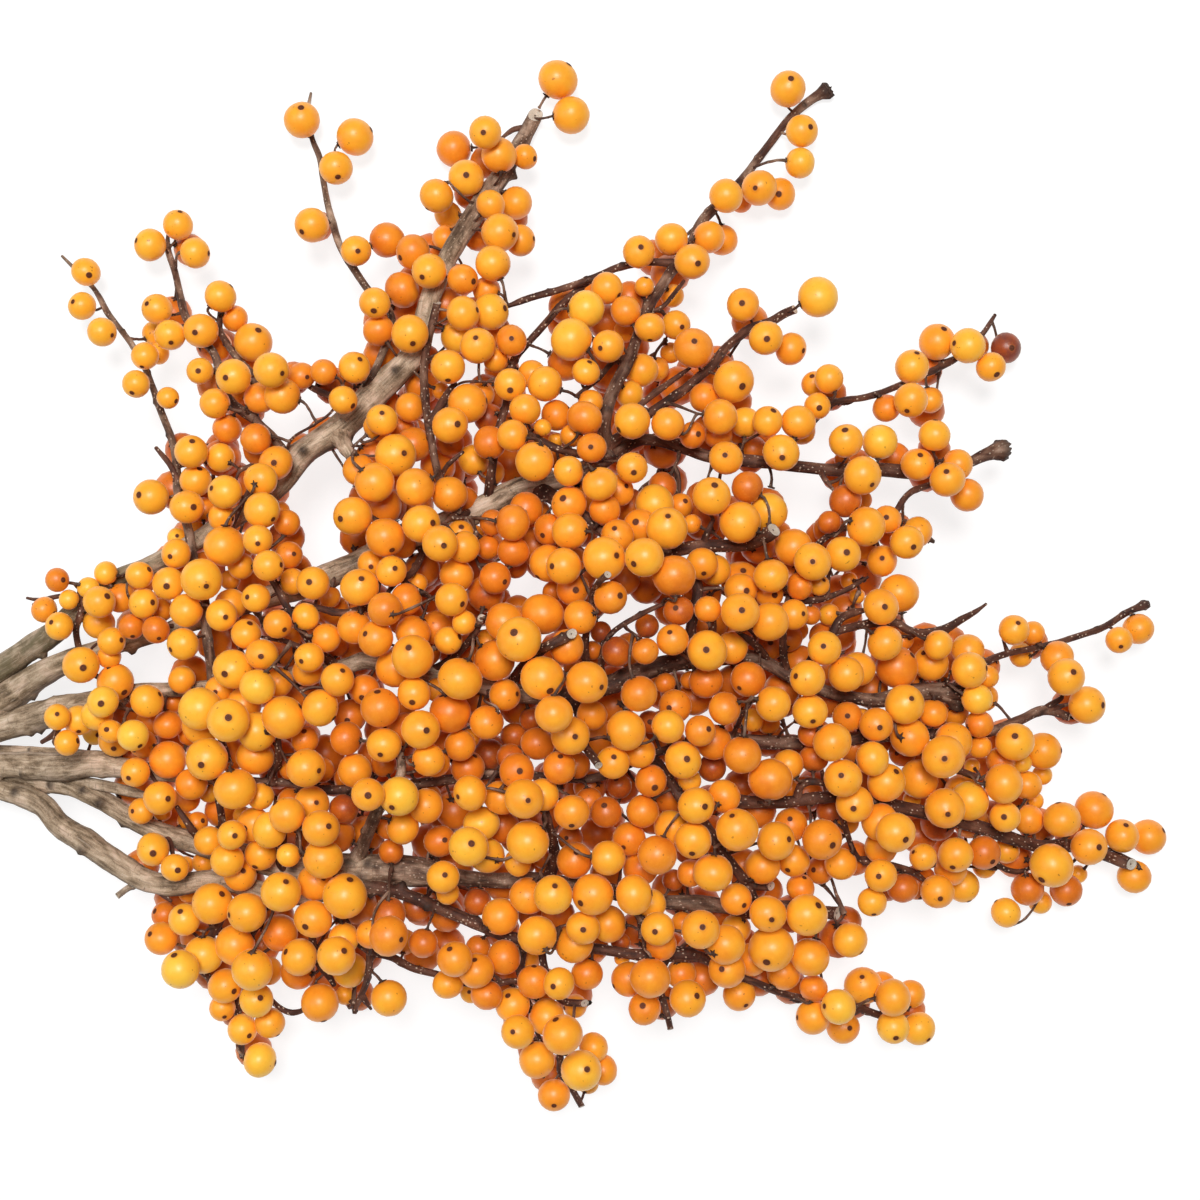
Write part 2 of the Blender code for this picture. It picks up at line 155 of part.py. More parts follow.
# Wood, from the root of each shoot to its tip: name, kind (limb, branch or twig),
# the shoot that carries it, a lift above its usual height in mm, how the tip ends,
# then across, down and thickness of each point in plan units.
WOOD = """
A limb stem 2.0 cut : -250,742,26 -200,737,34 -150,724,33 -100,708,30 -50,690,28 0,668,26 50,635,24 75,612,22 100,590,20 120,577,18 160,560,18 215,530,19 275,490,20 300,455,26 340,428,28 370,398,28 400,370,26 418,350,22 425,320,20 432,292,20 448,258,20 475,215,20 490,190,19 508,165,18 525,135,15 539,108,14
B limb stem -0.8 knob : -250,741,28 -200,738,36 -150,731,35 -100,722,33 -50,712,32 0,700,32 40,675,28 70,660,22 100,650,19 130,642,16 165,632,17 200,620,18 260,600,20 320,580,25 345,568,25 400,545,25 440,526,25 484,507,25 520,487,22 560,480,20 600,462,17 640,440,12 680,447,12 710,457,12 765,463,12 830,470,12 880,470,13 920,472,14 962,465,10 985,455,13 1001,450,17
C limb stem 2.6 shag : -250,750,26 -200,749,33 -150,745,32 -100,739,30 -50,734,28 0,728,27 60,710,28 100,700,20 140,690,14 165,690,14 220,686,15 275,676,16 310,674,16 350,665,16 370,660,17 425,672,18 500,690,18 560,696,18 610,685,18 640,672,20 690,660,18 750,658,14 770,665,14 790,676,13 822,690,12 850,697,12 880,700,15 915,692,18 945,692,18 970,693,16
D limb stem 0.4 cut : -250,758,26 -200,757,34 -150,757,33 -100,758,30 -50,762,27 0,765,26 60,767,28 100,764,26 125,768,20 200,778,12 285,783,8 330,790,9 390,786,10 445,780,10 500,774,9 575,779,8 605,775,9 650,755,8 715,737,8 760,742,14 815,742,13 862,738,12 915,735,11 965,733,10 990,732,10 1020,720,10 1045,710,10 1073,718,8
F limb D -3 taper : -90,760,24 -40,766,20 0,773,20 40,781,20 75,787,20 110,805,20 150,828,20 220,850,24 290,865,28 345,867,30 400,870,32 430,873,26 460,878,15 500,881,16 540,880,14 600,890,14 650,901,14 700,903,16 730,908,14 750,916,10
G limb stem 1.2 taper : -250,762,24 -200,764,30 -150,767,28 -100,772,25 -50,781,22 0,790,20 40,804,22 60,825,24 90,845,25 120,865,25 145,880,23 175,885,22 210,880,20 250,888,18 290,898,16 330,893,15 365,887,14 400,893,13 440,908,12 480,925,12 520,940,12 593,948,10 640,955,12 680,954,16 705,957,12
A2 branch A 2 cut : 336,432,17 345,446,15 351,457,14
A3 twig A 3 taper : 526,128,6 514,129,6 502,138,5
B2 twig B 2 taper : 820,470,6 824,478,6 832,488,5
C2 branch C -1 shag : 938,693,12 950,698,12 958,706,11
C3 twig C 5 taper : 938,692,4 947,683,3 950,672,3
C4 twig C 3 taper : 66,712,8 55,733,7 42,742,7
D2 twig D 2 taper : 1043,711,7 1050,705,7 1062,698,6 1061,689,5
D3 twig D 1 taper : 1047,710,6 1058,707,6 1068,704,5
E twig D -2 taper : 50,768,12 75,780,12 100,785,12 125,790,12 146,796,10
F2 branch F 4 taper : 356,866,15 361,850,14 368,833,14 377,812,13 390,792,12 401,775,11 400,752,9
G2 twig G 1 cut : 146,880,8 130,887,7 115,898,7
G3 twig G 3 taper : 155,886,6 163,895,6 171,901,5
H twig D -9 taper : -50,750,9 0,749,9 40,751,9 80,753,8 112,757,6
T83 twig A 3 taper : 86,601,5 72,597,5 60,596,5 40,600,5 27,598,4
T82 twig C 4 taper : 110,697,6 108,684,6 90,673,6 75,672,5
T84 twig B 6 taper : 81,655,7 77,640,7 76,628,7 81,612,7 79,585,6
T1 twig C 0 taper : 214,686,12 213,675,12 209,650,11 206,625,11 205,605,11 200,585,11 192,553,10 188,528,10 178,495,9 177,470,9 172,440,8 160,408,8 147,372,7 134,348,7 118,326,6 107,312,7 95,290,5 72,266,4 62,256,4
T1b twig T1 2 taper : 178,480,7 170,465,6 156,448,6
T3 twig A 2 knob : 290,462,10 272,436,9 258,422,9 252,406,9 256,386,8 250,372,8 236,357,7 226,342,7 219,328,7 222,312,7
T2 twig T3 1 taper : 256,418,10 238,408,10 223,390,10 219,370,10 213,352,9 200,338,9 186,318,9 181,300,8 175,272,7 168,250,7 168,234,5
T4 twig C 2 taper : 340,668,10 322,655,9 308,640,8 298,625,8 285,603,8 271,577,8 264,560,5
T5 twig A 2 taper : 278,488,7 262,487,6 252,489,6 243,502,6 236,518,5 233,530,4
T6 twig A 3 taper : 284,478,6 268,470,5 254,466,5 240,470,5 236,480,4
T6b twig B 3 cut : 474,511,10 456,498,9 441,482,9 436,466,9 432,445,9 428,420,9 425,395,9 424,370,9 427,345,9 433,320,9 438,299,9
T7 twig A 0 taper : 362,404,9 366,388,8 376,368,8 384,350,8 391,330,8 390,312,8 370,292,8 352,266,8 341,248,8 334,228,8 327,200,7 323,178,7 320,158,7 312,138,6 308,112,5 311,93,4
T7b twig A 6 taper : 286,470,3.5 290,441,3 312,426,3 333,410,3 345,380,3
T7c twig A 2 taper : 372,398,8 350,400,8 328,395,8 312,388,7 302,383,5
T9 twig B 1 knob : 612,456,14 606,440,14 604,425,14 608,405,14 616,385,14 628,362,13 638,335,12 648,308,12 658,292,12 672,270,12 690,245,11 700,224,11 714,208,10 740,182,9 765,150,9 790,118,9 812,99,10 826,91,13
T8 twig T9 1 taper : 678,264,9 650,262,8 620,267,8 600,275,8 580,283,8 555,291,8 530,298,8 508,306,7
T10 twig T9 3 taper : 652,312,5 664,306,5 673,295,5 684,281,5
T11 twig B -2 taper : 488,505,10 490,480,10 495,450,9 500,425,9 506,405,8 508,378,8 514,360,8 527,344,8 545,324,8 563,303,8 586,284,6 600,278,4
T12 twig T6b 2 taper : 429,425,9 440,407,9 450,390,8 455,382,6
T13 twig T6b 3 taper : 439,480,5 447,466,5 463,452,5
T14 twig T12 1 taper : 448,392,3 463,382,3 494,382,3
T16 twig T9 0 cut : 608,446,11 626,432,10 643,418,10 665,403,10 690,385,10 702,374,10 712,366,10 722,352,10 735,340,10 750,329,10 770,322,10 785,313,10 799,308,10
T16b twig T16 3 taper : 622,434,7 632,414,7 645,401,7 658,391,7 690,368,5
T17 twig T9 3 taper : 628,358,7 613,362,6 598,379,6 576,396,5
T18 twig B 2 taper : 616,456,9 600,455,9 585,455,9 555,448,9 528,433,8
T18b twig B 4 taper : 622,454,4 602,461,4 588,466,3
T19 twig B 3 taper : 752,463,8 768,462,8 782,450,7 805,430,7 828,406,7 845,400,7 862,398,7 880,393,7 905,383,7 930,372,7 955,359,7 980,337,6 995,315,5
T20 twig B 2 taper : 948,469,8 941,481,7 930,485,7 912,491,7 903,500,7 895,513,7 881,529,5
T21 twig C 2 taper : 251,680,5 249,668,5 245,658,5 232,635,5
T22 twig B 1 taper : 378,556,9 378,580,8 371,605,8 355,611,8 340,613,8 315,607,7 302,602,5
T22b twig T4 2 taper : 314,647,6 300,647,6 285,641,6 262,637,5
T23 twig B 3 taper : 426,536,8 423,552,8 411,574,8 397,580,8 385,597,5
T23b twig T23 1 taper : 400,579,6 420,592,6 438,601,5
T24 twig B 4 taper : 474,511,7 457,515,7 444,523,6
T25 twig C 3 cut : 428,673,9 449,660,8 463,648,8 474,634,8 483,614,8
T26 twig C 2 cut : 508,690,11 520,670,11 540,651,11 556,642,11 577,631,11
T27 twig C 2 cut : 590,688,8 585,650,8 588,620,8 592,603,7 593,592,7 600,581,7 611,572,8
T29 twig C 3 taper : 606,686,7 601,660,6 611,634,6 640,615,6 668,602,5
T30 twig B -2 cut : 535,486,16 570,508,15 610,536,14 645,553,14 670,551,14 700,546,14 740,545,14 764,538,14 779,524,16
T30b twig T30 2 taper : 704,546,7 706,536,7 713,520,6
T31 twig C -3 taper : 690,660,13 689,640,12 694,612,12 698,590,12 692,566,11
T31b twig C 3 cut : 705,658,9 712,634,9 712,612,9
T32 twig C 3 taper : 768,664,8 764,654,8 752,642,8 738,632,6
T34 twig C 0 taper : 786,674,9 783,640,8 788,602,8 799,570,7 817,545,7 835,532,7 850,527,6 863,522,4
T35 twig T34 1 taper : 788,604,8 800,601,8 818,600,8 832,596,6 850,588,6 868,577,4
T35b twig T35 1 taper : 828,596,5 828,578,5 831,567,4
T36 twig C 1 taper : 802,682,10 814,655,9 833,634,9 850,628,9 872,623,9 895,622,9 908,630,9 925,633,9 945,629,9 962,619,8 975,612,6 986,604,4
T36b twig T36 1 taper : 834,632,8 840,619,8 855,612,8 868,610,6
T37 twig D 2 taper : 732,738,6 735,731,5 742,716,5 752,700,5
T37b twig D 2 taper : 776,740,3 782,732,3 795,721,3
T39 twig C 1 knob : 962,690,9 974,672,8 988,661,8 1010,653,7 1035,648,7 1060,642,7 1085,634,7 1106,626,7 1126,613,7 1145,605,9
T39b twig T39 1 taper : 1008,654,5 1006,648,5 1003,640,4
T42 twig D 2 cut : 912,736,9 922,752,8 940,764,8 960,771,8 981,779,8
T43 twig C 2 cut : 221,690,9 219,720,8 222,742,8 226,752,8 229,764,8
T44 twig D 3 cut : 303,786,7 301,812,7 299,838,7 298,861,7
T45 twig F 3 taper : 296,868,10 284,868,10 280,857,10 283,843,9 285,828,6
T46 twig D 2 taper : 275,784,9 272,774,9 279,760,9 278,745,8 279,730,5
T50 twig G 1 taper : 332,893,9 345,922,9 360,944,8 375,953,8 392,957,8 412,968,8 440,975,8 462,982,8 485,985,8 512,981,7 530,982,5
T51 twig C 2 cut : 574,694,9 580,722,9 585,746,9 592,756,9 601,769,9
T53 twig F 2 taper : 548,880,12 555,855,12 548,825,11 545,806,7
T57 twig F 2 cut : 639,899,8 640,919,7 642,941,7
T58 branch D 0 taper : 645,757,11 656,762,11 668,778,11 680,797,12 690,810,12
T59 branch T58 0 cut : 688,806,12 705,824,11 718,845,11 735,868,11 748,883,11 762,886,10 776,886,10
T59b twig T59 1 taper : 746,882,8 751,890,8 757,899,7
T60 branch T58 0 taper : 686,804,14 712,805,13 738,802,13 780,803,13 815,798,13 840,797,13
T61 twig T60 3 taper : 797,800,8 800,786,8 812,781,8 827,785,7
T62 branch F 0 cut : 742,912,12 785,906,13 826,912,14 844,914,14
T63 twig T60 0 taper : 838,798,8 846,830,7 857,857,6 872,865,5
T65 branch T60 0 cut : 838,797,14 870,801,14 905,808,14 945,818,14 985,829,14 1010,838,14 1040,846,14 1070,846,14 1105,855,13 1120,861,13 1138,866,13
T66 twig T65 1 taper : 986,830,7 990,852,6 1001,867,6 1018,872,6 1029,868,5
T67 twig T63 0 taper : 864,860,8 880,863,8 900,868,8 915,873,7 929,884,5
T69 twig G 0 cut : 222,882,9 222,915,9 206,945,8 199,966,8 209,977,8 217,998,8
T70 twig G 0 taper : 256,889,9 250,940,8 241,980,8 238,1005,8 241,1040,8 242,1057,7
T71 twig T70 1 taper : 245,966,7 255,985,6 267,996,6 280,1008,6 293,1013,7 307,1009,6
T72 twig G 0 taper : 312,895,9 311,930,8 318,962,8 328,975,8 334,985,7
T73 twig T50 0 taper : 370,951,7 369,968,7 366,984,7 359,1000,7 355,1011,5
T73b twig T73 0 taper : 361,995,6 366,1002,6 371,1009,4
T75 twig G 0 cut : 540,942,9 546,972,8 560,999,8 574,1003,8 589,1003,8
T77 twig G 0 cut : 524,940,9 521,975,8 531,1010,8 550,1038,7 560,1054,7 560,1072,7 569,1084,7 577,1098,7 583,1109,7
T76 twig T77 1 taper : 530,1008,6 535,1026,6 541,1042,5
T79 twig G 0 cut : 668,955,8 661,975,7 661,991,7 666,1010,7 671,1032,7
T80 twig G 0 taper : 700,957,9 720,967,9 740,977,8 757,983,8 778,992,8 802,998,8 830,1002,8 855,1007,8 882,1016,8 901,1021,6
T81 twig T80 1 taper : 894,1019,6 902,1012,6 909,1007,5
T85 twig D 1 taper : 130,768,7 140,764,6 148,771,6 156,782,5
T86 twig F 2 taper : 158,831,6 168,838,6 172,850,6 174,862,4
T87 twig F 2 taper : 214,850,9 204,847,8 194,832,8 177,807,7
T88 twig F 3 taper : 219,850,8 222,822,8 218,799,7 215,785,5
"""

EYE_MM = 500.0  # height of the plan's viewpoint above the table
PLAN_MM = 1872.0  # plan units across for one unit of slope from the viewpoint
PLAN_MID = 600.0  # the point of the plan straight below the viewpoint
CROWN_MM = 70.0  # height of the topmost berries' centres
RIM_MM = 8.5  # height of the berries' centres at the rim of the sprig
LAYER_MM = 8.0  # drop from one layer of berries to the next
STEM_BUTT = -335.0  # where the cut stem ends, in plan units
STEM_WIDTH = 60.0  # thickness of the cut stem, in plan units


def canopy(u, v):
    """Height in mm of the top berries' centres over a point of the plan."""
    d = np.sqrt(((u - 530.0) / 620.0) ** 2 + ((v - 650.0) / 480.0) ** 2)
    return np.maximum(RIM_MM, CROWN_MM - (CROWN_MM - RIM_MM) * (0.92 * d) ** 1.7)


def spot(u, v, z):
    """The point in mm at height z that the plan shows at (u, v)."""
    s = (EYE_MM - z) / PLAN_MM
    return np.stack([(u - PLAN_MID) * s, -(v - PLAN_MID) * s, z + 0.0 * u], axis=-1)


def smooth(t):
    t = np.clip(t, 0.0, 1.0)
    return t * t * (3.0 - 2.0 * t)


def spline(points, step):
    """Points every step or so along a smooth curve through the given rows."""
    p = np.asarray(points, float)
    if len(p) < 3:
        n = max(2, int(np.linalg.norm(p[-1, :2] - p[0, :2]) / step) + 1)
        t = np.linspace(0.0, 1.0, n)[:, None]
        return p[0] * (1 - t) + p[-1] * t
    ends = np.vstack([2 * p[0] - p[1], p, 2 * p[-1] - p[-2]])
    out = []
    for i in range(1, len(ends) - 2):
        a, b, c, d = ends[i - 1 : i + 3]
        n = max(1, int(round(np.linalg.norm(c[:2] - b[:2]) / step)))
        t = (np.arange(n) / n)[:, None]
        out.append(
            0.5
            * (
                2 * b
                + (c - a) * t
                + (2 * a - 5 * b + 4 * c - d) * t**2
                + (3 * b - 3 * c + d - a) * t**3
            )
        )
    out.append(p[-1:])
    return np.vstack(out)


def read_wood():
    """Every shoot as a dict: name, kind, parent, end, line (x, y, z, radius in mm), plan."""
    shoots = {}
    butt = spline(
        [(STEM_BUTT, 752, STEM_WIDTH), (-280, 750, 57), (-225, 748, 56), (-180, 746, 50), (-140, 745, 38), (-105, 745, 22)], 6.0
    )
    z = stem_height(butt[:, 0])
    shoots["stem"] = {
        "name": "stem", "kind": "limb", "parent": "", "end": "butt",
        "plan": butt, "line": line_of(butt, z),
    }
    for row in WOOD.strip().splitlines():
        head, tail = row.split(" : ")
        name, kind, parent, lift, end = head.split()
        plan = spline([tuple(map(float, p.split(","))) for p in tail.split()], 6.0)
        u, v = plan[:, 0], plan[:, 1]
        top = canopy(u, v)
        if kind == "limb":
            z = np.minimum(top - 7.5, 14.0 + 0.5 * (top - RIM_MM))
            z = z * smooth(u / 90.0) + stem_height(u) * (1 - smooth(u / 90.0)) + float(lift)
        else:
            z = top - 8.5 + float(lift)
        z = np.maximum(z, 0.5 * plan[:, 2] * 0.26 + 0.4)
        carrier = shoots[parent]
        gap = np.hypot(carrier["plan"][:, 0] - u[0], carrier["plan"][:, 1] - v[0])
        k = int(np.argmin(gap))
        foot = carrier["line"][k, 2]
        run = np.concatenate([[0], np.cumsum(np.hypot(np.diff(u), np.diff(v)))])
        reach = min(max(40.0, 4.5 * abs(float(z[0] - foot))), 0.85 * run[-1])
        z = foot + (z - foot) * smooth(run / reach)
        if parent != "stem" and gap[k] > 2.0:
            joint = carrier["plan"][k].copy()
            joint[2] = plan[0, 2]
            plan = np.vstack([joint, plan])
            z = np.concatenate([[foot], z])
        shoots[name] = {
            "name": name, "kind": kind, "parent": parent, "end": end,
            "plan": plan, "line": line_of(plan, z),
        }
    return shoots


def stem_height(u):
    """Height of the stem's axis: it comes down to the table at its cut end."""
    t = np.clip((u - STEM_BUTT) / -STEM_BUTT, 0.0, 1.2)
    return 7.4 + 9.0 * t**1.2


def line_of(plan, z):
    s = (EYE_MM - z) / PLAN_MM
    return np.concatenate([spot(plan[:, 0], plan[:, 1], z), (0.5 * plan[:, 2] * s)[:, None]], axis=1)


def read_berries():
    rows = []
    for entry in BERRIES.replace("\n", ";").split(";"):
        part = entry.split()
        if part:
            rows.append([float(x) for x in part[:6]] + ["nydr".index(part[6])])
    return np.array(rows)


def near_pairs(plan, reach, other=None, other_reach=None):
    """Pairs whose discs on the plan come near each other."""
    b = plan if other is None else other
    rb = reach if other is None else other_reach
    first, second = [], []
    for i in range(len(plan)):
        start = i + 1 if other is None else 0
        gap = np.hypot(b[start:, 0] - plan[i, 0], b[start:, 1] - plan[i, 1])
        hit = np.nonzero(gap < reach[i] + rb[start:])[0] + start
        first.append(np.full(len(hit), i))
        second.append(hit)
    return np.concatenate(first), np.concatenate(second)


def settle(rows, wood, rng):
    """Finds the berries' depths, so that each keeps its place on the plan and none overlap."""
    u0, v0, r, layer = rows[:, 0], rows[:, 1], rows[:, 2], rows[:, 3]
    u, v = u0.copy(), v0.copy()
    aim = canopy(u, v) - LAYER_MM * layer + rng.uniform(-1.2, 1.2, len(u))
    size0 = r * (EYE_MM - aim) / PLAN_MM
    aim = np.maximum(aim, size0)
    z = aim.copy()
    roam = np.array([3.0, 5.0, 8.0, 10.0])[layer.astype(int)]
    i, j = near_pairs(rows[:, :2], r + 8.0)
    swap = layer[i] > layer[j]
    i, j = np.where(swap, j, i), np.where(swap, i, j)
    same = layer[i] == layer[j]
    bi, wj = near_pairs(rows[:, :2], r + 8.0, wood[:, 4:6], wood[:, 6] / 2 + 4.0)
    count = np.maximum(1.0, np.bincount(np.concatenate([i, j]), minlength=len(u)) / 8.0)
    rounds = 420
    for step in range(rounds):
        p = spot(u, v, z)
        size = r * (EYE_MM - z) / PLAN_MM
        move = np.zeros((len(u), 3))
        d = p[i] - p[j]
        flat = np.hypot(d[:, 0], d[:, 1]) + 1e-9
        need = size[i] + size[j] + 0.18
        dist = np.sqrt(flat**2 + d[:, 2] ** 2)
        over = np.maximum(need - dist, 0.0)
        rise = np.sqrt(np.maximum(need**2 - flat**2, 0.0))
        sign = np.where(same, np.where(d[:, 2] >= 0, 1.0, -1.0), 1.0)
        short = np.maximum(rise - sign * d[:, 2], 0.0)
        short = np.where(same & (over <= 0), 0.0, short)
        push = 0.22 * np.minimum(short, 3.0) * sign
        np.add.at(move[:, 2], i, push)
        np.add.at(move[:, 2], j, -push)
        side = np.where(over > 0, 0.30 * over, 0.0)[:, None] * d[:, :2] / flat[:, None]
        np.add.at(move[:, 0], i, side[:, 0])
        np.add.at(move[:, 0], j, -side[:, 0])
        np.add.at(move[:, 1], i, side[:, 1])
        np.add.at(move[:, 1], j, -side[:, 1])
        w = wood[wj]
        d = p[bi] - w[:, :3]
        flat = np.hypot(d[:, 0], d[:, 1]) + 1e-9
        need = size[bi] + w[:, 3] + 0.2
        dist = np.sqrt(flat**2 + d[:, 2] ** 2)
        over = np.maximum(need - dist, 0.0)
        rise = np.sqrt(np.maximum(need**2 - flat**2, 0.0))
        sign = np.where(layer[bi] <= 1, 1.0, -1.0)
        sign = np.where((flat > 0.85 * need), np.where(d[:, 2] >= 0, 1.0, -1.0), sign)
        short = np.where(over > 0, np.maximum(rise - sign * d[:, 2], 0.0), 0.0)
        best = np.zeros(len(u))
        np.maximum.at(best, bi, short * (sign > 0))
        worst = np.zeros(len(u))
        np.maximum.at(worst, bi, short * (sign < 0))
        move[:, 2] += 0.4 * np.minimum(best, 3.0) - 0.4 * np.minimum(worst, 3.0)
        side = (0.35 * over)[:, None] * d[:, :2] / flat[:, None]
        most = np.zeros((len(u), 2))
        np.add.at(most[:, 0], bi, side[:, 0])
        np.add.at(most[:, 1], bi, side[:, 1])
        move[:, :2] += np.clip(most, -0.4, 0.4)
        pull = 0.05 if step < rounds * 0.6 else (0.01 if step < rounds * 0.8 else 0.0)
        z = z + np.clip(move[:, 2] / count**0.5, -1.6, 1.6) + pull * (aim - z)
        px = PLAN_MM / (EYE_MM - z)
        u = u + np.clip(move[:, 0] * px, -1.5, 1.5) + 0.4 * pull * (u0 - u)
        v = v - np.clip(move[:, 1] * px, -1.5, 1.5) + 0.4 * pull * (v0 - v)
        away = np.hypot(u - u0, v - v0) + 1e-9
        hold = np.minimum(1.0, roam / away)
        u, v = u0 + (u - u0) * hold, v0 + (v - v0) * hold
        size = r * (EYE_MM - z) / PLAN_MM
        z = np.maximum(z, size + 0.02)
        z = np.minimum(z, CROWN_MM + 8.0)
    return u, v, z, r * (EYE_MM - z) / PLAN_MM


def fill(rows, u, v, z, size, wood, rng):
    """Adds the berries below the crown, only where the ones above cover them on the plan."""
    r = rows[:, 2]
    p = spot(u, v, z)
    wide = 17.0
    found = []
    ring = np.linspace(0, 2 * math.pi, 10, endpoint=False)
    du = np.concatenate([[0.0], np.cos(ring), 0.5 * np.cos(ring[::2])])
    dv = np.concatenate([[0.0], np.sin(ring), 0.5 * np.sin(ring[::2])])
    places = []
    for a in np.arange(20.0, 1180.0, 19.0):
        for b in np.arange(90.0, 1100.0, 19.0):
            rim = math.hypot((a - 530.0) / 620.0, (b - 650.0) / 480.0)
            places.append((abs(rim - 0.72), a + rng.uniform(-7, 7), b + rng.uniform(-7, 7)))
    places.sort()
    for level in range(6):
        for _, a, b in places:
            top = float(canopy(np.array(a), np.array(b)))
            wide = 15.0 + 4.0 * rng.random()
            low = wide * EYE_MM / PLAN_MM * 0.985
            h = low + 0.02 + level * (7.6 + 0.8 * rng.random())
            if h > top - 17.0 and level > 0:
                continue
            size_h = wide * (EYE_MM - h) / PLAN_MM
            if level == 0:
                h = size_h
            su, sv = a + wide * du, b + wide * dv
            near = np.nonzero((np.hypot(u - a, v - b) < wide + 24.0) & (z > h + 3.0))[0]
            if len(near) < 3:
                continue
            cover = np.hypot(su[:, None] - u[near], sv[:, None] - v[near]) < 0.96 * r[near]
            if not cover.any(axis=1).all():
                continue
            q = spot(np.array(a), np.array(b), np.array(h))
            if (np.linalg.norm(p - q, axis=1) < size + size_h + 0.3).any():
                continue
            if found:
                f = np.array(found)
                if (np.linalg.norm(f[:, 7:10] - q, axis=1) < f[:, 6] + size_h + 0.3).any():
                    continue
            if (np.linalg.norm(wood[:, :3] - q, axis=1) < wood[:, 3] + size_h + 0.3).any():
                continue
            found.append([a, b, wide, 4.0, h, float(rng.integers(0, 3)), size_h, *q])
    return np.array(found)


# Openings through the sprig on the plan: middle u v, then half the width and height.
WINDOWS = """
320 508 22 46; 300 486 8 14; 142 664 34 16; 246 441 8 16; 236 470 7 8; 300 598 10 8; 112 613 9 7
330 731 10 7; 333 757 8 5; 203 808 13 9; 108 786 14 10; 205 655 5 9; 487 491 9 11; 514 502 12 8
552 489 10 8; 528 587 20 10; 527 549 5 8; 628 613 30 19; 631 659 6 8; 657 638 6 8; 650 480 26 16
640 420 12 8; 720 773 15 10; 791 725 12 9; 765 690 6 6; 845 586 14 8; 868 640 14 12; 875 616 12 7
906 637 7 12; 836 706 5 8; 824 771 6 6; 975 757 11 8; 990 766 9 5; 196 846 8 9; 385 891 12 6
440 903 12 6; 424 936 22 12; 480 925 20 12; 562 959 20 12; 612 962 16 16; 593 848 5 4; 748 846 9 5
824 888 7 12; 787 880 8 10; 790 936 7 8; 410 848 4 4; 700 470 20 20; 735 478 10 14; 545 432 14 8
352 443 16 12; 478 436 10 8; 432 470 5 8; 640 370 8 10; 545 395 10 10; 660 350 12 12; 700 440 8 8
590 380 10 10; 470 375 8 6; 345 590 8 8; 240 570 8 5; 880 480 16 10; 905 560 14 10; 955 690 6 6
375 978 10 16; 300 983 12 10; 810 640 5 5; 60 760 14 10; 120 650 8 5; 66 660 8 14; 150 850 6 6
"""


def wide(mask, cells):
    """The mask grown by a disc of so many cells."""
    out = mask.copy()
    for a in range(-cells, cells + 1):
        for b in range(-cells, cells + 1):
            if a * a + b * b <= (cells + 0.3) ** 2:
                out |= np.roll(np.roll(mask, a, axis=0), b, axis=1)
    return out


